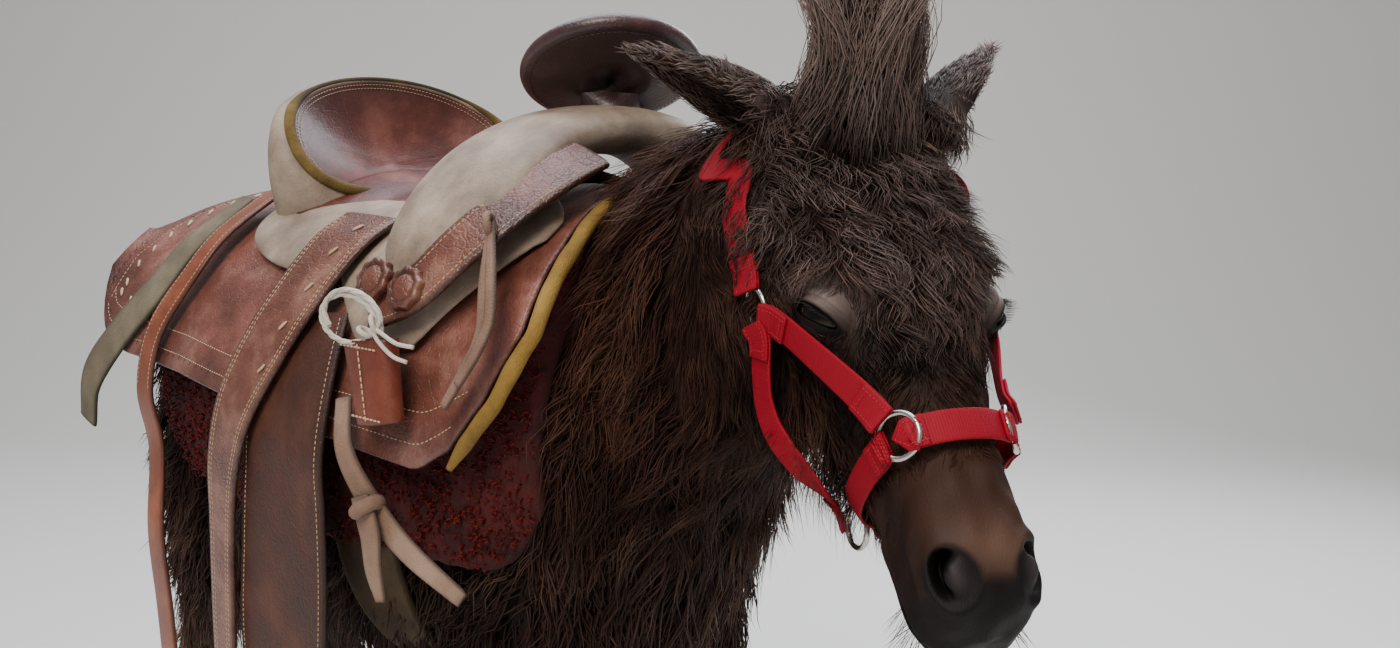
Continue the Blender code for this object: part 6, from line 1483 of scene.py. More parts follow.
def skirtGrid(side, rows=96, columns=48):
    # rows along the back and columns down to the lower edge; the front edge follows its own slanted line
    xs = np.linspace(-0.40, 0.33, 90)
    turns = np.linspace(0, math.pi / 2 + 0.9, 120)
    ends = []
    for x in xs:
        z = saddlePoint(x, math.pi / 2 - turns, skirtOuter(1.0))[..., 2]
        ends.append(np.interp(-skirtLow(x), -z, turns))
    share = np.linspace(0, 1, columns)
    front = np.full(columns, 0.28)
    for _ in range(8):
        down = 0.10 + (np.interp(front, xs, ends) - 0.10) * share
        front = skirtFront(saddlePoint(front, math.pi / 2 - down, skirtOuter(share))[..., 2])
    down = 0.10 + (np.interp(-0.385, xs, ends) - 0.10) * share
    back = np.interp(np.degrees(down), (6, 15, 25, 35, 45), (-0.280, -0.302, -0.337, -0.366, -0.385))
    t = np.linspace(0, 1, rows)[:, None]
    x = back[None] + t * (front - back)[None]
    down = 0.10 + (np.interp(x, xs, ends) - 0.10) * share
    grid = saddlePoint(x, math.pi / 2 - down, skirtOuter(share)[None] + 0 * x)
    grid[..., 1] *= side
    return grid


def flankPath(pairs, side, out, hang=()):
    # points and normals on the saddle's side from pairs of x and height, then a straight hanging end
    pairs = np.array(pairs, float)
    out = np.broadcast_to(np.asarray(out, float), (len(pairs),))
    path = flankPoint(pairs[:, 0], pairs[:, 1], side, out)
    above = flankPoint(pairs[:, 0], pairs[:, 1] + 0.01, side, out)
    slope = np.stack([np.zeros(len(pairs)), above[:, 1] - path[:, 1], np.full(len(pairs), 0.01)], 1)
    normals = unit(np.cross((1.0, 0.0, 0.0), slope))
    normals *= (side * np.sign(normals[:, 1]))[:, None]
    if len(hang):
        path = np.vstack([path, [(x, side * y, z) for x, y, z in hang]])
        normals = np.vstack([normals, [(0, side, 0)] * len(hang)])
    return path, normals


def cantleDish(r, t, depth, wide=1.0, drop=0.0):
    # a dish in the cantle's leaning oval, from its middle at r 0 to its rim at r 1
    lean = math.radians(saddle["cantleLean"])
    up = np.array((-math.sin(lean), 0, math.cos(lean)))
    ahead = np.array((up[2], 0, -up[0]))
    r, t = np.broadcast_arrays(r, t)
    swell = 1 + (wide - 1) * np.sqrt(np.maximum(0, 1 - r**2))
    sag = 0.020 * r * np.cos(t) ** 2 * np.clip(0.3 - np.sin(t), 0, 1)
    sag = sag + drop * np.sqrt(np.maximum(0, 1 - r**2)) * np.cos(t) ** 2 * np.clip(0.5 - np.sin(t), 0, 1)
    return (np.array(saddle["cantle"])
            + (saddle["cantleHalf"][0] * swell * r * np.cos(t))[..., None] * (0, 1, 0)
            + (saddle["cantleHalf"][1] * swell * r * np.sin(t))[..., None] * up
            - (depth * (1 - r**2))[..., None] * ahead - sag[..., None] * (0, 0, 1))


def makeDish(name, front, back, wide, material, innerRim, outerRim, count=96, drop=0.0):
    t = np.linspace(0, tau, count, endpoint=False)[None]
    inside = np.linspace(0.02, 1, 26)[:, None] ** 0.8 * innerRim
    outside = outerRim * np.linspace(1, 0.02, 22)[:, None] ** 0.8
    grid = np.vstack([cantleDish(inside, t, front), cantleDish(outside, t, back, wide, drop)])
    tone = np.vstack([0.20 - 0.45 * inside**4 + 0 * t, -0.10 + 0 * outside + 0 * t])
    return tubePiece(name, grid, material, attributes={"tone": tone})


def dashOf(spot, normal, way, first, last):
    # the line of one stitch, from first to last along its way
    return np.array([spot + way * first, spot + way * last]), np.array([normal, normal])


def makeSkirt(name, side):
    # a skirt with a stitched lower edge, cut ticks and laced thongs at the back corner
    tag = name.capitalize()
    grid = skirtGrid(side)
    rows, columns = grid.shape[:2]
    normals = gridNormals(grid, np.array([0, side, 0.6]))
    v = np.linspace(0, 1, columns)[None]
    u = np.linspace(0, 1, rows)[:, None]
    tone = (-0.30 * v**14 - 0.25 * (1 - u) ** 30
            + 0.18 * waves(grid.reshape(-1, 3), 0.09, 7).reshape(rows, columns))
    onRoot(slab("skirtLeather" + tag, grid, normals, saddle["leather"], finish["skirt"], tone),
           "leather", "skirt_" + name)
    low = grid[3:-3, -3] + normals[3:-3, -3] * 0.0003
    second = grid[3:-3, -6] + normals[3:-3, -6] * 0.0003
    backLine = grid[3, 8:-3] + normals[3, 8:-3] * 0.0003
    stitchPiece("skirtStitches" + tag, [(low, normals[3:-3, -3]), (second, normals[3:-3, -6]),
                                        (backLine, normals[3, 8:-3])], finish["thread"], "leather")
    # cream thongs laced through the back corner, and radial ticks at its rim
    spots = [(5, j) for j in range(6, columns - 6, 4)] + [(5 + 4 * k, columns - 8) for k in range(4)]
    dashes = []
    for i, j in spots:
        centre, normal = grid[i, j] + normals[i, j] * 0.0008, normals[i, j]
        way = unit(grid[i, j + 1] - grid[i, j] + (grid[i + 1, j] - grid[i, j]) * 0.9)
        dashes.append(dashOf(centre, normal, way, -0.0062, 0.0062))
    stitchPiece("skirtThongs" + tag, dashes, finish["thong"], "leather", pitch=0.0120,
                length=0.0110, radius=0.0021)
    ticks = []
    for i in range(4, 44, 2):
        way = unit(grid[i, -1] - grid[i, -4])
        ticks.append(dashOf(grid[i, -2], normals[i, -2], way, -0.011, -0.002))
    for j in range(10, columns - 2, 2):
        way = unit(grid[0, j] - grid[3, j])
        ticks.append(dashOf(grid[1, j], normals[1, j], way, -0.011, -0.002))
    stitchPiece("skirtTicks" + tag, ticks, finish["dark"], "leather", pitch=0.009,
                length=0.008, radius=0.0006)


def makeSkirtRoll(name, side):
    # the padded suede roll down the front edge
    z = np.linspace(0.924, 0.694, 22)
    x = skirtFront(z)
    turns = np.linspace(0, math.pi / 2 + 0.6, 160)
    edge = []
    for a, b in zip(x, z):
        line = saddlePoint(a, math.pi / 2 - turns, saddle["blanketOut"] + 0.004)[..., 2]
        down = np.interp(-b, -line, turns)
        y = saddlePoint(a, math.pi / 2 - down, skirtOuter(down / 1.75))[1]
        edge.append((a + 0.0095, side * y, b))
    thick = np.interp(z, (0.694, 0.715, 0.80, 0.924), (0.0030, 0.0062, 0.0068, 0.0060))
    onRoot(roundTube("skirtRoll" + name.capitalize(), edge, thick, finish["suede"], 18,
                     (0, side, 0), 120, wobble=0.05), "edging", "skirt_roll_" + name)


def makeTreeBar(name, side):
    xs = np.linspace(-0.170, 0.276, 70)[:, None]
    t = np.linspace(0, tau, 40, endpoint=False)[None]
    ends = np.sqrt(np.maximum(0.03, 1 - (np.abs(xs - 0.053) / 0.223) ** 5))
    high = np.radians(np.interp(xs, (-0.22, 0.05, 0.14, 0.20, 0.27), (14, 14, 16, 20, 24)))
    lower = np.radians(np.interp(xs, (-0.22, -0.05, 0.05, 0.14, 0.20, 0.27), (46, 46, 46, 66, 68, 50)))
    down = (high + lower) / 2 + ((lower - high) / 2 * ends + 0.02) * np.cos(t)
    out = skirtOuter(down / 1.75) + 0.0025 + 0.0100 * ends * (1 + np.sin(t))
    ring = saddlePoint(xs + 0 * t, math.pi / 2 - down, out)
    ring[..., 1] *= side
    tone = 0.1 * waves(ring.reshape(-1, 3), 0.05, 3).reshape(ring.shape[:2])
    onRoot(tubePiece("treeBar" + name.capitalize(), ring, finish["hide"], attributes={"tone": tone}),
           "rawhide", "tree_bar_" + name)


def makeFork():
    arch = ((0.178, -0.190, 0.838, 0.040, 0.009), (0.184, -0.180, 0.864, 0.058, 0.015),
            (0.190, -0.154, 0.902, 0.066, 0.019), (0.192, -0.112, 0.938, 0.066, 0.020),
            (0.196, -0.060, 0.961, 0.062, 0.021), (0.202, 0.000, 0.968, 0.054, 0.022))
    rows = smoothRows(list(arch) + [(x, -y, z, w, h) for x, y, z, w, h in arch[-2::-1]], 110)
    along = unit(np.gradient(rows[:, :3], axis=0))
    out = unit(np.cross((1.0, 0.0, 0.0), along))
    t = np.linspace(0, tau, 56, endpoint=False)
    ring = (rows[:, None, :3] + (rows[:, 3, None] * power(np.cos(t), 0.8))[..., None] * (1, 0, 0)
            + (rows[:, 4, None] * power(np.sin(t), 0.8))[..., None] * out[:, None])
    tone = (0.12 * waves(ring.reshape(-1, 3), 0.07, 9).reshape(ring.shape[:2])
            - 0.2 * np.abs(np.cos(t))[None] ** 12)
    onRoot(tubePiece("forkHide", ring, finish["hide"], attributes={"tone": tone}), "rawhide", "fork")


def makeHorn():
    # the horn, its cap a broad shallow disc with a line of stitches above and below
    axis = unit(np.array(saddle["hornAxis"]))
    u = unit(np.cross(axis, (0, 1, 0)))
    v = np.cross(axis, u)
    t = np.linspace(0, tau, 72, endpoint=False)
    around = np.outer(np.cos(t), u) + np.outer(np.sin(t), v)
    level = np.stack([np.cos(t), np.sin(t), 0 * t], -1)
    rings = [np.array((0.204, 0.0, z)) + r * level
             for z, r in ((0.966, 0.036), (0.974, 0.032), (0.990, 0.027), (1.000, 0.026))]
    profile = ((-0.0115, 0.028), (-0.0095, 0.036), (-0.0065, 0.048), (-0.0052, 0.060), (-0.0042, 0.072),
               (-0.003, 0.0785), (0.000, 0.0812), (0.003, 0.0822), (0.006, 0.0820), (0.009, 0.0806),
               (0.0112, 0.078), (0.0130, 0.073), (0.0136, 0.066), (0.0128, 0.055), (0.0120, 0.035),
               (0.0118, 0.012))
    rings += [np.array(saddle["horn"]) + axis * h + r * around for h, r in profile]
    tone = np.zeros((len(rings), len(t)))
    tone[10:14] = 0.5
    onRoot(tubePiece("hornCap", rings, finish["dark"], attributes={"tone": tone}), "leather", "horn")
    rim = circle(np.array(saddle["horn"]) + axis * 0.0137, axis, 0.0725, 120)
    under = circle(np.array(saddle["horn"]) - axis * 0.0047, axis, 0.0735, 120)
    stitchPiece("hornStitches", [(np.vstack([rim, rim[:1]]), np.tile(axis, (121, 1))),
                                 (np.vstack([under, under[:1]]), np.tile(-axis, (121, 1)))],
                plainMaterial("darkWaxedThread", "#3a2a26", 0.6), "leather")


def makeCantle():
    # the cantle: a glossy dish, a pale shell behind it and a suede roll round the rim
    onRoot(makeDish("seatDish", 0.044, 0.050, 1.0, finish["cup"], 0.985, 0.990), "leather", "seat_cup")
    onRoot(makeDish("cantleHide", 0.0515, 0.098, 1.62, finish["hide"], 0.995, 1.005, 96, 0.105), "rawhide",
           "cantle_shell")
    t = np.linspace(0, tau, 140, endpoint=False)
    rim = cantleDish(np.full(140, 1.035), t, 0.0)
    thin = np.clip((np.sin(t) - 0.35) / 0.4, 0, 1)
    onRoot(ringPiece("cantleRoll", rim, 0.0056 - 0.0030 * thin, finish["olive"], 14,
                     np.repeat(-0.62 * thin, 14)), "edging", "cantle_roll")
    lean = math.radians(saddle["cantleLean"])
    ahead = np.array((math.cos(lean), 0, math.sin(lean)))
    for r in (0.93, 0.965):
        line = cantleDish(np.full(141, r), np.linspace(0, tau, 141), 0.044)
        stitchPiece(f"seatDishStitches{int(r * 1000)}", [(line + ahead * 0.0006, np.tile(ahead, (141, 1)))],
                    finish["thread"], "leather", pitch=0.0042, length=0.0028, radius=0.0005)


def makeSeat():
    # the seat between cantle and fork
    x = np.linspace(-0.10, 0.150, 40)[:, None]
    y = np.linspace(-0.140, 0.140, 60)[None]
    z = np.interp(x, (-0.10, -0.03, 0.05, 0.15), (0.930, 0.913, 0.913, 0.935)) - 2.1 * y**2 - 12 * y**4
    grid = np.stack([x + 0 * y, y + 0 * x, z], -1)
    onRoot(slab("seatLeather", grid, gridNormals(grid, np.array([0, 0, 1.0])), 0.006, finish["cup"],
                edgeTone(40, 60)), "leather", "seat")


def makeSaddle():
    for name, side in (("right", -1), ("left", 1)):
        makeSkirt(name, side)
        makeSkirtRoll(name, side)
        makeTreeBar(name, side)
    makeFork()
    makeHorn()
    makeCantle()
    makeSeat()


straps = {
    # down: x, height and how far out it lies; hang: the free end below; wide: its width at each point
    "arcion": {
        "down": ((0.045, 0.884, 0.060), (0.042, 0.862, 0.063), (0.034, 0.820, 0.062),
                 (0.018, 0.770, 0.063), (-0.004, 0.715, 0.065), (-0.024, 0.660, 0.062)),
        "hang": ((-0.034, 0.257, 0.60), (-0.038, 0.255, 0.52), (-0.040, 0.252, 0.44)),
        "wide": (0.088, 0.086, 0.080, 0.074, 0.060, 0.050, 0.040, 0.036, 0.034), "thick": 0.005,
        "piece": "arcionStrap", "finish": "strap", "grid": (110, 15), "stitched": (0.004, 0.008),
    },
    "fender": {
        "down": ((0.066, 0.800, 0.050), (0.070, 0.760, 0.055), (0.067, 0.700, 0.058),
                 (0.061, 0.650, 0.054)),
        "hang": ((0.055, 0.246, 0.58), (0.047, 0.244, 0.50), (0.038, 0.240, 0.435),
                 (0.030, 0.237, 0.395)),
        "wide": (0.072, 0.102, 0.122, 0.130, 0.138, 0.138, 0.112, 0.055), "thick": 0.005,
        "piece": "fenderLeather", "finish": "fender", "grid": (90, 21), "stitched": (0.005,),
    },
    "rear_strap": {
        "down": ((-0.192, 0.902, 0.046), (-0.186, 0.860, 0.050), (-0.188, 0.820, 0.054),
                 (-0.215, 0.762, 0.058), (-0.228, 0.700, 0.058), (-0.222, 0.640, 0.052)),
        "hang": ((-0.206, 0.243, 0.56), (-0.196, 0.240, 0.48), (-0.190, 0.237, 0.41)),
        "wide": 0.030, "thick": 0.004, "piece": "rearStrapLeather", "finish": "orange",
        "grid": (90, 9), "stitched": (0.003,), "stitchedTo": 0.5,
    },
    "rear_billet": {
        "down": ((-0.225, 0.895, 0.045), (-0.238, 0.850, 0.047), (-0.262, 0.800, 0.050),
                 (-0.305, 0.750, 0.057)),
        "hang": ((-0.345, 0.247, 0.70), (-0.360, 0.246, 0.652)),
        "wide": (0.030, 0.042, 0.044, 0.040, 0.038, 0.034), "thick": 0.004,
        "piece": "rearBilletSuede", "finish": "pad", "grid": (60, 9), "slot": "suede",
    },
}


def hangStraps(name, side):
    # the straps of the table on one side; returns the lines of their stitches
    tag, threads = name.capitalize(), []
    for key, strap in straps.items():
        down = np.array(strap["down"])
        path, normals = flankPath(down[:, :2], side, down[:, 2], strap["hang"])
        piece, grid, outward = strapPiece(strap["piece"] + tag, path, normals, strap["wide"],
                                          strap["thick"], finish[strap["finish"]], *strap["grid"])
        onRoot(piece, strap.get("slot", "leather"), f"{key}_{name}")
        for inset in strap.get("stitched", ()):
            threads += insetLines(grid, outward, inset, ends=(0.02, strap.get("stitchedTo", 0.98)))
        if key != "arcion":
            continue
        dashes = []
        for k in range(5):  # cream thong dashes laced down the strap
            i, j = 8 + 9 * k, 5 - k // 2
            centre, normal = grid[i, j] + outward[i, j] * 0.0010, outward[i, j]
            way = unit(grid[i + 3, j] - grid[i, j] + (grid[i, j + 1] - grid[i, j]) * 1.2)
            dashes.append(dashOf(centre, normal, way, -0.0065, 0.0065))
        stitchPiece("arcionThongs" + tag, dashes, finish["thong"], "leather", pitch=0.0125,
                    length=0.0115, radius=0.0018)
    return threads


def makeForkStrap(name, side):
    # a broad strap down the fork with two scalloped rosettes at its foot
    tag = name.capitalize()
    path = np.array([(0.274, side * 0.086, 0.943), (0.272, side * 0.116, 0.929),
                     (0.261, side * 0.153, 0.904), (0.241, side * 0.190, 0.870),
                     (0.208, side * 0.213, 0.833), (0.162, side * 0.221, 0.815)])
    normals = np.array([(0.45, side * 0.25, 0.86), (0.45, side * 0.45, 0.77), (0.40, side * 0.62, 0.67),
                        (0.30, side * 0.78, 0.54), (0.15, side * 0.88, 0.44), (0.05, side * 0.90, 0.42)])
    piece, grid, outward = strapPiece("forkStrapLeather" + tag, path, normals, 0.038, 0.006,
                                      finish["strap"], 70, 13)
    onRoot(piece, "leather", "fork_strap_" + name)
    for k, spot in enumerate(((0.206, 0.219, 0.833), (0.168, 0.223, 0.838))):
        n = unit(np.array((0.08, side * 0.90, 0.42)))
        u = unit(np.cross(n, (0, 0, 1)))
        v = np.cross(n, u)
        t = np.linspace(0, tau, 72, endpoint=False)
        scallop = 1 + 0.06 * np.cos(9 * t)
        rings = []
        for h, r in ((-0.004, 0.0175), (0.0035, 0.0180), (0.0050, 0.0172), (0.0052, 0.0130),
                     (0.0042, 0.0120), (0.0052, 0.0105), (0.0070, 0.0060), (0.0074, 0.0015)):
            edge = 1 + (scallop - 1) * (r > 0.0125)
            rings.append(np.array((spot[0], side * spot[1], spot[2])) + n * h
                         + np.outer(r * edge * np.cos(t), u) + np.outer(r * edge * np.sin(t), v))
        tone = np.zeros((8, 72)) + 0.1
        tone[3:5] = -0.5
        onRoot(tubePiece(f"rosette{tag}{k + 1}", rings, finish["strap"], attributes={"tone": tone}),
               "leather")
    return insetLines(grid, outward, 0.0035)


def makeStirrup(name, side):
    # a bent wooden stirrup covered in hide
    outline = ((0.0, 0.118), (0.022, 0.117), (0.040, 0.100), (0.052, 0.060), (0.056, 0.020),
               (0.054, 0.006), (0.040, 0.000), (0.0, 0.000))
    half = smoothRows(outline, 34)
    loop = np.vstack([half, half[-2:0:-1] * (-1, 1)])
    inward = unit(np.array([0.0, 0.055]) - loop)
    wide = 0.030 + 0.008 / (1 + np.exp((loop[:, 1] - 0.03) / 0.004))
    section = []
    for dx, depth in ((-0.92, 0.0), (0.0, -0.0004), (0.92, 0.0), (1.0, 0.0015), (1.0, 0.0075),
                      (0.92, 0.009), (0.0, 0.0094), (-0.92, 0.009), (-1.0, 0.0075), (-1.0, 0.0015)):
        spot = loop + inward * depth
        section.append(np.stack([saddle["stirrup"][0] + dx * wide,
                                 side * saddle["stirrup"][1] + spot[:, 0],
                                 saddle["stirrup"][2] + spot[:, 1]], 1))
    ring = np.stack(section, 1)
    wood = makePiece("stirrupWood" + name.capitalize(), ring.reshape(-1, 3), [loopFaces(*ring.shape[:2])],
                     finish["wood"], attributes={"tone": np.zeros(ring.size // 3)})
    onRoot(fixNormals(wood), "rawhide", "stirrup_" + name)


def makeGirth():
    # the girth: a broad band of cord under the chest
    angle = np.linspace(math.radians(-4), math.radians(-176), 90)[:, None]
    x = 0.100 + 0.034 * np.linspace(-1, 1, 35)[None]
    ridge = 0.0012 * np.abs(np.sin(np.linspace(-1, 1, 35) * 8.5 * math.pi))[None]
    grid = torsoPoint(x + 0 * angle, angle + 0 * x, 0.0085 + ridge + 0 * angle)
    centre = np.array([0.1, 0, 0.66])
    onRoot(slab("girthCord", grid, unit(grid - centre) * (0, 1, 1), 0.010, finish["girth"]),
           "girth_cord", "cinch")


def makeStraps():
    for name, side in (("right", -1), ("left", 1)):
        threads = hangStraps(name, side) + makeForkStrap(name, side)
        stitchPiece("strapStitches" + name.capitalize(), threads, finish["thread"], "leather")
        makeStirrup(name, side)
    makeGirth()


def makeTies():
    # the small laced things on the near side: a leather cup, a rope tie, a latigo and a saddle string
    t = np.linspace(0, tau, 60, endpoint=False)
    rings = []
    for share in np.linspace(0, 1, 24):
        z = 0.792 - 0.066 * share
        wide = 0.032 - 0.008 * share
        rings.append(np.array((0.184 + 0.014 * share, -0.238, z))
                     + np.stack([wide * power(np.cos(t), 0.7), 0.013 * power(np.sin(t), 0.9),
                                 0.004 * np.cos(t)], -1))
    tone = np.zeros((24, 60)) - 0.25 * np.linspace(-1, 1, 24)[:, None] ** 8
    onRoot(tubePiece("laceCup", rings, finish["lace"], attributes={"tone": tone}), "leather",
           "kid_loop_right")
    seam = np.array([(0.186 + 0.012 * s, -0.2518, 0.790 - 0.062 * s) for s in np.linspace(0, 1, 12)])
    rims = [np.stack([0.184 + 0.014 * s + w * np.linspace(-0.026, 0.026, 12), np.full(12, -0.2512),
                      np.full(12, 0.792 - 0.066 * s)], 1) for s, w in ((0.08, 1.0), (0.92, 0.80))]
    normal = np.tile((0.0, -1.0, 0.0), (12, 1))
    stitchPiece("laceCupStitches", [(seam, normal)] + [(rim, normal) for rim in rims],
                finish["thong"], "leather", pitch=0.0052, length=0.0042, radius=0.0009)
    turn = np.linspace(0, 1.6 * tau, 60)
    k = np.arange(60) * 17 / 59
    turns = np.stack([0.166 + 0.034 * np.cos(turn) + 0.0006 * k,
                      -0.242 - 0.010 * np.abs(np.sin(turn * 0.5)) - 0.0001 * k,
                      0.806 + 0.020 * np.sin(turn) + 0.0004 * k], 1)
    strands = []
    for strand in range(3):  # three strands laid in a twist
        path = smoothRows(turns, 150)
        _, side, up = frames(path, np.array((0, 1, 0.2)))
        lay = np.linspace(0, 26 * tau, 150) / 1.6 / 2 + strand * tau / 3
        strands.append(path + 0.0011 * (np.cos(lay)[:, None] * side + np.sin(lay)[:, None] * up))
    pieces = [roundTube(f"ropeStrand{n}", s, 0.0013, finish["cotton"], 8, (0, 1, 0.2), 150)
              for n, s in enumerate(strands)]
    knots = []
    for n, (centre, size) in enumerate((((0.200, -0.243, 0.806), 0.0075), ((0.192, -0.247, 0.799), 0.0065))):
        loop = circle(centre, (0.6, 0.4, 0.3 + n), size, 30)
        knots.append(ringPiece(f"ropeKnot{n}", loop, 0.0022, finish["cotton"], 8))
    tails = [roundTube("ropeEnd1", [(0.200, -0.246, 0.804), (0.214, -0.247, 0.800), (0.232, -0.246, 0.794),
                                    (0.246, -0.240, 0.792)],
                       0.0017, finish["cotton"], 8, (0, 1, 0), 20),
             roundTube("ropeEnd2", [(0.198, -0.246, 0.803), (0.210, -0.248, 0.794), (0.228, -0.247, 0.784),
                                    (0.240, -0.242, 0.780)],
                       0.0017, finish["cotton"], 8, (0, 1, 0), 20)]
    rope = joinAll(pieces[0], pieces[1:] + knots + tails)
    rope.name = "ropeTie"
    onRoot(rope, "rope", "rope_tie")
    strand = np.array([(0.150, -0.242, 0.740), (0.160, -0.248, 0.700), (0.180, -0.238, 0.660),
                       (0.214, -0.226, 0.624), (0.262, -0.207, 0.590)])
    normals = np.tile((0.0, -1.0, 0.25), (5, 1))
    first, _, _ = strapPiece("latigoStrap", strand, normals, [0.018, 0.020, 0.021, 0.018, 0.012], 0.0035,
                             finish["latigo"], 60, 9)
    knot = ringPiece("knot", circle((0.184, -0.242, 0.656), (0.5, 0.1, -0.8), 0.0095, 26), 0.0062,
                     finish["latigo"], 10)
    tongue = np.array([(0.178, -0.245, 0.664), (0.188, -0.243, 0.636), (0.190, -0.241, 0.606),
                       (0.196, -0.238, 0.580)])
    second, _, _ = strapPiece("tongue", tongue, normals[:4], [0.020, 0.024, 0.020, 0.010], 0.003,
                              finish["latigo"], 40, 9)
    onRoot(joinAll(first, [knot, second]), "suede", "latigo_right")
    normals = np.tile((0.0, -1.0, 0.25), (5, 1))
    knot = ringPiece("knot", circle((0.267, -0.184, 0.886), (0.7, 0.5, 0.2), 0.0075, 26), 0.0034,
                     finish["latigo"], 10)
    ends = []
    for shift, far in ((0.0, 1.0), (0.011, 0.86)):  # two ends hang from the knot side by side
        line = np.array([(0.266, -0.182, 0.886), (0.284, -0.202, 0.846), (0.292, -0.212, 0.806),
                         (0.284, -0.220, 0.778), (0.268, -0.228, 0.748)])
        line[:, 0] += shift * np.array([0.0, 0.7, 1.0, 1.3, 1.6])
        line[:, 2] = 0.886 - (0.886 - line[:, 2]) * far
        ends.append(strapPiece("end", line, normals, [0.006, 0.009, 0.009, 0.009, 0.007], 0.003,
                               finish["latigo"], 60, 7)[0])
    string = joinAll(ends[0], [knot, ends[1]])
    string.name = "saddleString"
    onRoot(string, "suede", "saddle_string_right")


# the blanket

def makeBlanket():
    # a thick fleece pad over the back, its lower corners rounded, with curly pile where it shows
    xs = np.linspace(*saddle["blanketX"], 70)
    over, under = [], []
    for x in xs:
        ends = min(x - saddle["blanketX"][0], saddle["blanketX"][1] - x)
        lift = 0.05 * max(0.0, 1 - ends / 0.05) ** 2
        angles = np.linspace(0, math.pi / 2 + 0.9, 120)
        line = torsoPoint(x, math.pi / 2 - angles, saddle["blanketOut"])[..., 2]
        end = np.interp(-(saddle["blanketLow"] + lift), -line, angles)
        around = np.linspace(-end, end, 116)
        thin = (saddle["blanketOut"] - 0.001) * (1 - 0.45 * (np.abs(around) / end) ** 6)
        over.append(torsoPoint(x, math.pi / 2 + around, thin))
        under.append(torsoPoint(x, math.pi / 2 + around, -0.011))
    over, under = np.array(over), np.array(under)
    normals = gridNormals(over, np.array([0.0, 0.0, 1.0]))
    centre = np.array([0.0, 0.0, 0.66])
    flip = np.sign(((over - centre) * (0, 1, 1) * normals).sum(-1, keepdims=True))
    normals = normals * flip
    lumps = (waves(over.reshape(-1, 3), 0.020, 31).reshape(over.shape[:2])
             + 0.7 * waves(over.reshape(-1, 3), 0.009, 32).reshape(over.shape[:2]))
    over = over + normals * (0.0012 * lumps)[..., None]
    thick = np.linalg.norm(over - under, axis=-1)
    piece = slab("blanketFleece", over, normals, thick, finish["fleece"])
    onRoot(piece, "fleece", "blanket")
    fleeceCurls(over, normals)


def fleeceCurls(grid, normals):
    # pile where no leather covers it: little hooks of wool that turn as they rise and dip
    rng = np.random.default_rng(5)
    cover = nodeTree(("skirt_left", "skirt_right", "skirt_roll_left", "skirt_roll_right", "tree_bar_left",
                      "tree_bar_right"))
    rows, columns = grid.shape[:2]
    count = int(17000 * max(fineness, 0.4))
    u, v = rng.uniform(0, rows - 1.001, count), rng.uniform(0, columns - 1.001, count)
    i, j = u.astype(int), v.astype(int)
    du, dv = (u - i)[:, None], (v - j)[:, None]
    roots = (grid[i, j] * (1 - du) * (1 - dv) + grid[i + 1, j] * du * (1 - dv)
             + grid[i, j + 1] * (1 - du) * dv + grid[i + 1, j + 1] * du * dv)
    out = normals[i, j]
    keep = [cover.ray_cast((p + n * 0.001).tolist(), n.tolist(), 0.014)[0] is None
            for p, n in zip(roots, out)]
    roots, out = roots[keep], out[keep]
    count = len(roots)
    first = project(rng.normal(size=(count, 3)), out)
    second = np.cross(out, first)
    s = np.linspace(0, 1, 4)
    turn = rng.uniform(0, tau, count)[:, None] + 4.2 * s
    reach = (0.0021 * rng.uniform(0.7, 1.3, count))[:, None]
    path = (roots[:, None] + out[:, None]
            * ((0.0048 * np.sin(s * 2.5))[None] * rng.uniform(0.6, 1.2, count)[:, None])[..., None]
            + first[:, None] * (reach * (np.cos(turn) - np.cos(turn[:, :1])))[..., None]
            + second[:, None] * (reach * (np.sin(turn) - np.sin(turn[:, :1])))[..., None])
    uv = np.stack([u[keep] / rows, v[keep] / columns], 1)
    dark, light = np.array(linear("#2e0707")[:3]), np.array(linear("#661614")[:3])
    order = np.argsort(v[keep])
    for k, part in enumerate(np.array_split(order, 2)):
        piece = bladesOf(f"fleecePile{k + 1}", path[part], out[part], np.full(len(part), 0.0026),
                         uv[part], 81 + k)
        there, _, _ = meshArrays(piece)
        share = np.clip(0.5 + 0.35 * waves(there, 0.012, 6) + 0.25
                        * np.tile(np.repeat((0.0, 0.35, 0.7, 1.0), (3, 3, 3, 1)), len(part)), 0, 1)[:, None]
        paint(piece.data.color_attributes["tint"], dark * (1 - share) + light * share)
        onRoot(piece, "fleece")


# the halter

def headPath(spots, out):
    # points and normals from pairs of distance down the head and angle round it, in degrees
    a = np.array([s[0] for s in spots], float)
    angle = np.radians([s[1] for s in spots])
    here = headPoint(a, angle, out)
    normal = np.cross(headPoint(a, angle + 0.05, out) - here, headPoint(a + 0.004, angle, out) - here)
    away = here - onHead(a, 0 * a, np.full(len(a), -0.06))
    return here, unit(normal) * np.sign((normal * away).sum(1))[:, None]


def trimmed(path, first, last, radius=0.0135):
    # a path whose ends stop just past the wire of the rings that it joins, lying over it
    path = np.array(path, float)
    path[0] = first + unit(path[1] - first) * (radius - 0.001)
    path[-1] = last + unit(path[-2] - last) * (radius - 0.001)
    return path


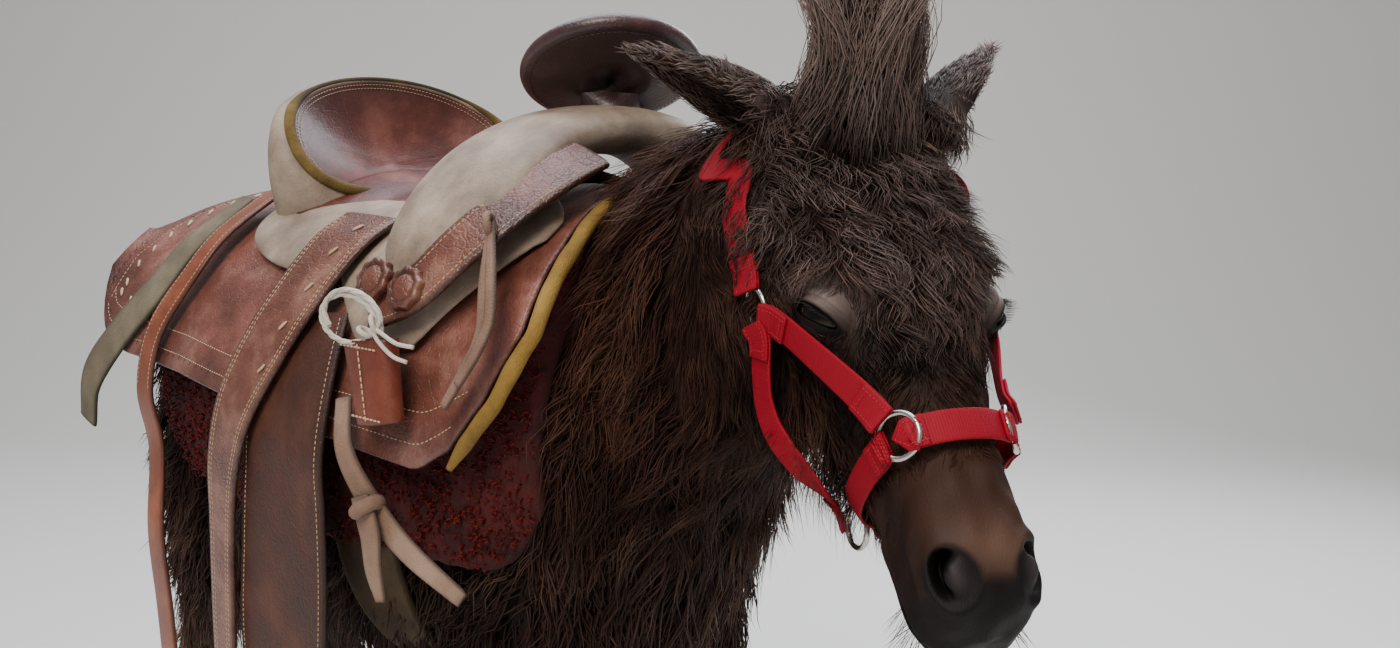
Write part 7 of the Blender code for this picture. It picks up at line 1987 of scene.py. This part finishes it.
def webPiece(name, path, normals, node, count=70, lift=0.0015, width=0.020, thick=0.0024, fold=(1, 1)):
    # nylon webbing with a stitched fold at each end, its uv in metres along and across
    grid, outward = strapGrid(path, normals, width, count, 9, 0.0002)
    far = lengthsAlong(grid[:, 4])
    over = np.exp(-(far / 0.007) ** 2) * fold[0] + np.exp(-((far[-1] - far) / 0.007) ** 2) * fold[1]
    grid = grid + outward * (lift + thick + 0.0030 * over)[:, None, None]
    base = slab(name, grid, outward, thick, finish["web"])
    far = lengthsAlong(grid[:, 4])
    pieces, threads = [], []
    for k in range(2):
        if fold[k]:
            inside = far < 0.026 if k == 0 else far > far[-1] - 0.026
            part = grid[inside] + outward[inside] * thick * 0.95
            pieces.append(slab("fold", part, outward[inside], thick * 0.9, finish["web"]))
            for edge in (1, -2):
                threads.append((part[:, edge] + outward[inside][:, edge] * 0.0002, outward[inside][:, edge]))
            near = part[2 if k else -3]
            threads.append((near[1:-1] + outward[inside][0, 0] * 0.0002,
                            np.repeat(outward[inside][2:3, 0], 7, 0)))
    if pieces:
        joinAll(base, pieces)
    mesh = base.data
    points, _, _ = meshArrays(base)
    tree = kdtree.KDTree(len(grid))
    for i, p in enumerate(grid[:, 4].tolist()):
        tree.insert(p, i)
    tree.balance()
    middle, side = grid[:, 4], unit(grid[:, -1] - grid[:, 0])
    along = unit(np.gradient(middle, axis=0))
    nearest = np.array([tree.find(p)[1] for p in points.tolist()])
    off = points - middle[nearest]
    uv = np.stack([(off * side[nearest]).sum(1), far[nearest] + (off * along[nearest]).sum(1)], 1)
    corners = np.empty(len(mesh.loops), np.int32)
    mesh.loops.foreach_get("vertex_index", corners)
    layer = mesh.uv_layers.new(name="uv")
    layer.data.foreach_set("uv", uv[corners].astype(np.float32).ravel())
    onRoot(base, "webbing", *node)
    return threads


haltPath = (  # the throat strap: down the face, aside and out of it
    (0.1260, 0.0885, -0.0602), (0.1402, 0.0880, -0.0719), (0.1567, 0.0870, -0.0859),
    (0.1727, 0.0840, -0.0993), (0.1897, 0.0800, -0.1060), (0.2090, 0.0730, -0.1070),
    (0.2310, 0.0590, -0.1090), (0.2476, 0.0390, -0.1190), (0.2555, 0.0260, -0.1300),
)


def makeHalter():
    # rings first, then the webbing between them, each strap over the wire of its rings
    threads, centres = [], {}
    ringsAt = {"ring_upper_right": (0.116, 181.5, 0.0110, 0.0140),
               "ring_upper_left": (0.116, -1.5, 0.0110, 0.0140),
               "ring_side_right": (0.247, 141, 0.0080, 0.0150),
               "ring_side_left": (0.247, 39, 0.0080, 0.0150)}
    for name, (a, degrees, out, radius) in ringsAt.items():
        path, normals = headPath([(a, degrees)], out)
        made = ringPiece("steel_" + name, circle(path[0], normals[0], radius, 60), 0.0022,
                         finish["steel"], 14)
        onRoot(made, "steel", name)
        centres[name] = path[0]
    under = onHead(0.258, -0.020, -0.138)
    centres["ring_chin"] = under
    made = ringPiece("steel_ring_chin", circle(under, faceLeft, 0.0150, 60), 0.0022, finish["steel"], 14)
    onRoot(made, "steel", "ring_chin")
    for name, side in (("right", 1), ("left", -1)):
        def turn(degrees):
            return 180 - degrees if side < 0 else degrees
        upper, lower = centres["ring_upper_" + name], centres["ring_side_" + name]
        spots = [(0.116, turn(181)), (0.140, turn(175)), (0.172, turn(165)), (0.210, turn(153)),
                 (0.247, turn(141))]
        path, normals = headPath(spots, 0.0075 if side > 0 else 0.0040)
        threads += webPiece("cheek" + name.capitalize(), trimmed(path, upper, lower), normals,
                            ("cheek_" + name,))
        # the throat strap hangs beside the jaw, its face to the side
        spots = np.array(haltPath)
        path = onHead(spots[:, 0], -side * spots[:, 1], spots[:, 2])
        turned = np.linspace(0, 1, len(spots))[:, None] ** 4
        normals = unit(-side * faceLeft + faceOut * 0.25 - faceOut * 0.8 * turned)
        threads += webPiece("throat" + name.capitalize(), trimmed(path, upper, centres["ring_chin"]),
                            normals, ("throat_" + name,))
    spots = [(0.247, 141), (0.250, 156), (0.253, 182), (0.256, 212), (0.258, 240), (0.258, 270),
             (0.258, 300),
             (0.256, 328), (0.253, 358), (0.250, 384), (0.247, 399)]
    path, normals = headPath(spots, 0.0030)
    threads += webPiece("chinStrap", trimmed(path, centres["ring_side_right"], centres["ring_side_left"]),
                        normals, ("chin_strap",), 110)
    path, normals = headPath([(0.249, d) for d in (141, 132, 122, 111, 100, 90, 80, 69, 58, 48, 39)], 0.0045)
    threads += webPiece("noseBand", trimmed(path, centres["ring_side_right"], centres["ring_side_left"]),
                        normals, ("noseband",), 110)
    ends = [onHead(0.098, side * 0.0910, -0.063) for side in (-1, 1)]
    sides = [onHead(0.054, side * 0.0900, -0.049) for side in (-1, 1)]
    tops = [onHead(0.022, side * 0.0880, -0.036) for side in (-1, 1)]
    crown = np.array([ends[0], sides[0], tops[0], (0.406, -0.104, 0.945), (0.396, -0.066, 0.975),
                      (0.395, -0.020, 0.985), (0.414, 0.026, 0.975), (0.440, 0.062, 0.945), tops[1],
                      sides[1], ends[1]])
    hub = np.array((0.462, -0.024, 0.858))
    out = unit(crown - hub)
    solids = nodeTree(("head", "neck", "mane"))
    reach = []
    for direction in out:
        spot = solids.ray_cast((hub + direction * 0.4).tolist(), (-direction).tolist())
        reach.append(0.4 - spot[3] if spot[0] is not None else 0.06)
    own = np.linalg.norm(crown - hub, axis=1)
    own[3:-3] = 0
    crown = hub + out * np.maximum(np.array(reach) - 0.002, own)[:, None]
    crown = trimmed(crown, centres["ring_upper_right"], centres["ring_upper_left"])
    threads += webPiece("crownStrap", crown, out, ("crown",), 140, 0.001)
    stitchPiece("halterStitches", threads, plainMaterial("redNylonThread", "#a80f22", 0.5), "webbing",
                pitch=0.0032, length=0.0024, radius=0.0004)


def makeHooves():
    # hoof walls with fine growth rings, flared to a flat sole
    for key, name in (("foreleg", "fore"), ("hindleg", "hind")):
        x, y, rx, ry = (0.258, 0.088, 0.047, 0.045) if key == "foreleg" else (-0.376, 0.092, 0.048, 0.045)
        top = body[key][-1]
        t = np.linspace(0, tau, 64, endpoint=False)
        s = np.linspace(0, 1, 30)[:, None]
        for tag, side in (("right", -1), ("left", 1)):
            cx = top[0] + (x - top[0]) * s
            flare = s**0.9
            ax = (top[3] + 0.001) + (rx - top[3] - 0.001) * flare
            ay = (top[4] + 0.001) + (ry - top[4] - 0.001) * flare
            groove = 1 - 0.008 * np.abs(np.sin(s * 20)) * (s > 0.05) * (s < 0.97)
            heel = 1 - 0.10 * np.clip(-np.cos(t), 0, 1) ** 3
            z = 0.050 * (1 - s) - 0.006 * np.clip(-np.cos(t), 0, 1)[None] * (1 - s)
            ring = np.stack([cx + ax * groove * heel * np.cos(t), side * (y + ay * groove * np.sin(t)),
                             z + 0 * t], -1)
            piece = tubePiece(f"hoofHorn{name.capitalize()}{tag.capitalize()}", ring, finish["horn"])
            onRoot(piece, "hoof", f"hoof_{name}_{tag}")


# light, floor and camera

def makeStage():
    # a plain pale floor that curves up into a backdrop behind
    material, _, shader = newMaterial("mattePaintedFloor")
    setInputs(shader, Base_Color=linear("#d9d6d0"), Roughness=0.75)
    profile = [(-14.0, 0.0), (3.0, 0.0)]
    bend = [(3.0 + 1.5 * math.sin(t), 1.5 - 1.5 * math.cos(t)) for t in np.linspace(0, math.pi / 2, 16)[1:]]
    line = np.array(profile + bend + [(4.5, 9.0)])
    away = np.array([-math.sin(cameraAzimuth), math.cos(cameraAzimuth), 0.0])
    across = np.array([math.cos(cameraAzimuth), math.sin(cameraAzimuth), 0.0])
    grid = (line[:, None, :1] * away + line[:, None, 1:] * np.array([0, 0, 1.0])
            + np.array([-16.0, 16.0])[None, :, None] * across)
    floor = makePiece("floor", grid.reshape(-1, 3) - frameShift, [gridFaces(len(line), 2)], material)


def makeLights():
    world = bpy.data.worlds.new("studio")
    bpy.context.scene.world = world
    world.use_nodes = True
    background = world.node_tree.nodes["Background"]
    setInputs(background, Color=linear("#dfe6ef"), Strength=0.38)
    for name, place, aim, size, energy, colour in (
        ("key", (1.6, -2.6, 3.4), (0.1, 0, 0.7), 1.6, 150, "#fff3e4"),
        ("sky", (-0.6, 0.5, 3.8), (0, 0, 0.7), 3.4, 190, "#eaf1ff"),
        ("rim", (-0.4, 2.8, 2.4), (0.2, 0, 0.9), 1.6, 70, "#f2f6ff"),
    ):
        lamp = bpy.data.lights.new(name, "AREA")
        lamp.size, lamp.energy, lamp.color = size, energy, linear(colour)[:3]
        thing = bpy.data.objects.new(name, lamp)
        thing.location = place
        thing.rotation_euler = (Vector(aim) - Vector(place)).to_track_quat("-Z", "Y").to_euler()
        bpy.context.scene.collection.objects.link(thing)


def makeCamera():
    # set as the photographer stood: level with the withers, a metre from the head, 43 degrees off the side
    pitch, roll = math.radians(6.2), math.radians(1.2)
    ahead = Vector((-math.sin(cameraAzimuth) * math.cos(pitch), math.cos(cameraAzimuth) * math.cos(pitch),
                    -math.sin(pitch)))
    right = Vector((math.cos(cameraAzimuth), math.sin(cameraAzimuth), 0))
    up = right.cross(ahead)
    right, up = right * math.cos(roll) + up * math.sin(roll), up * math.cos(roll) - right * math.sin(roll)
    lens = bpy.data.cameras.new("camera")
    lens.sensor_width, lens.lens = 36.0, 36.0 * 1280 / 1400
    lens.clip_start = 0.05
    camera = bpy.data.objects.new("camera", lens)
    turn = Matrix((right, up, -ahead)).transposed().to_4x4()
    camera.matrix_world = Matrix.Translation((1.010, -0.80, 0.92)) @ turn
    bpy.context.scene.collection.objects.link(camera)
    bpy.context.scene.camera = camera


# the whole

skin = makeSkin()
onRoot(skin, "coat", "torso", "neck", "head", "ear_left", "ear_right", "foreleg_left", "foreleg_right",
       "hindleg_left", "hindleg_right")
print("skin", len(skin.data.polygons))
makeEyes()
print("eyes")
coatPieces, skinTree, webTree = growCoat(skin)
for piece, node in (
    (columnHair("forelockStrands", longHair["forelockRows"], (1, 0, 0), longHair["forelock"], 51, 1.0,
                0.55), "forelock"),
    (columnHair("tailStrands", longHair["tailRows"], (1, 0, 0), longHair["tail"], 52), "tail"),
    (maneHair(skinTree, webTree), "mane"),
    (lashes(skinTree), None),
):
    onRoot(piece, "coat", *([node] if node else []))
    coatPieces.append(piece)
print("coat", sum(len(piece.data.polygons) for piece in coatPieces), len(coatPieces))
makeHooves()
makeSaddle()
makeStraps()
makeTies()
print("saddle")
makeBlanket()
makeHalter()
print("blanket and halter")
makeStage()
makeLights()
makeCamera()
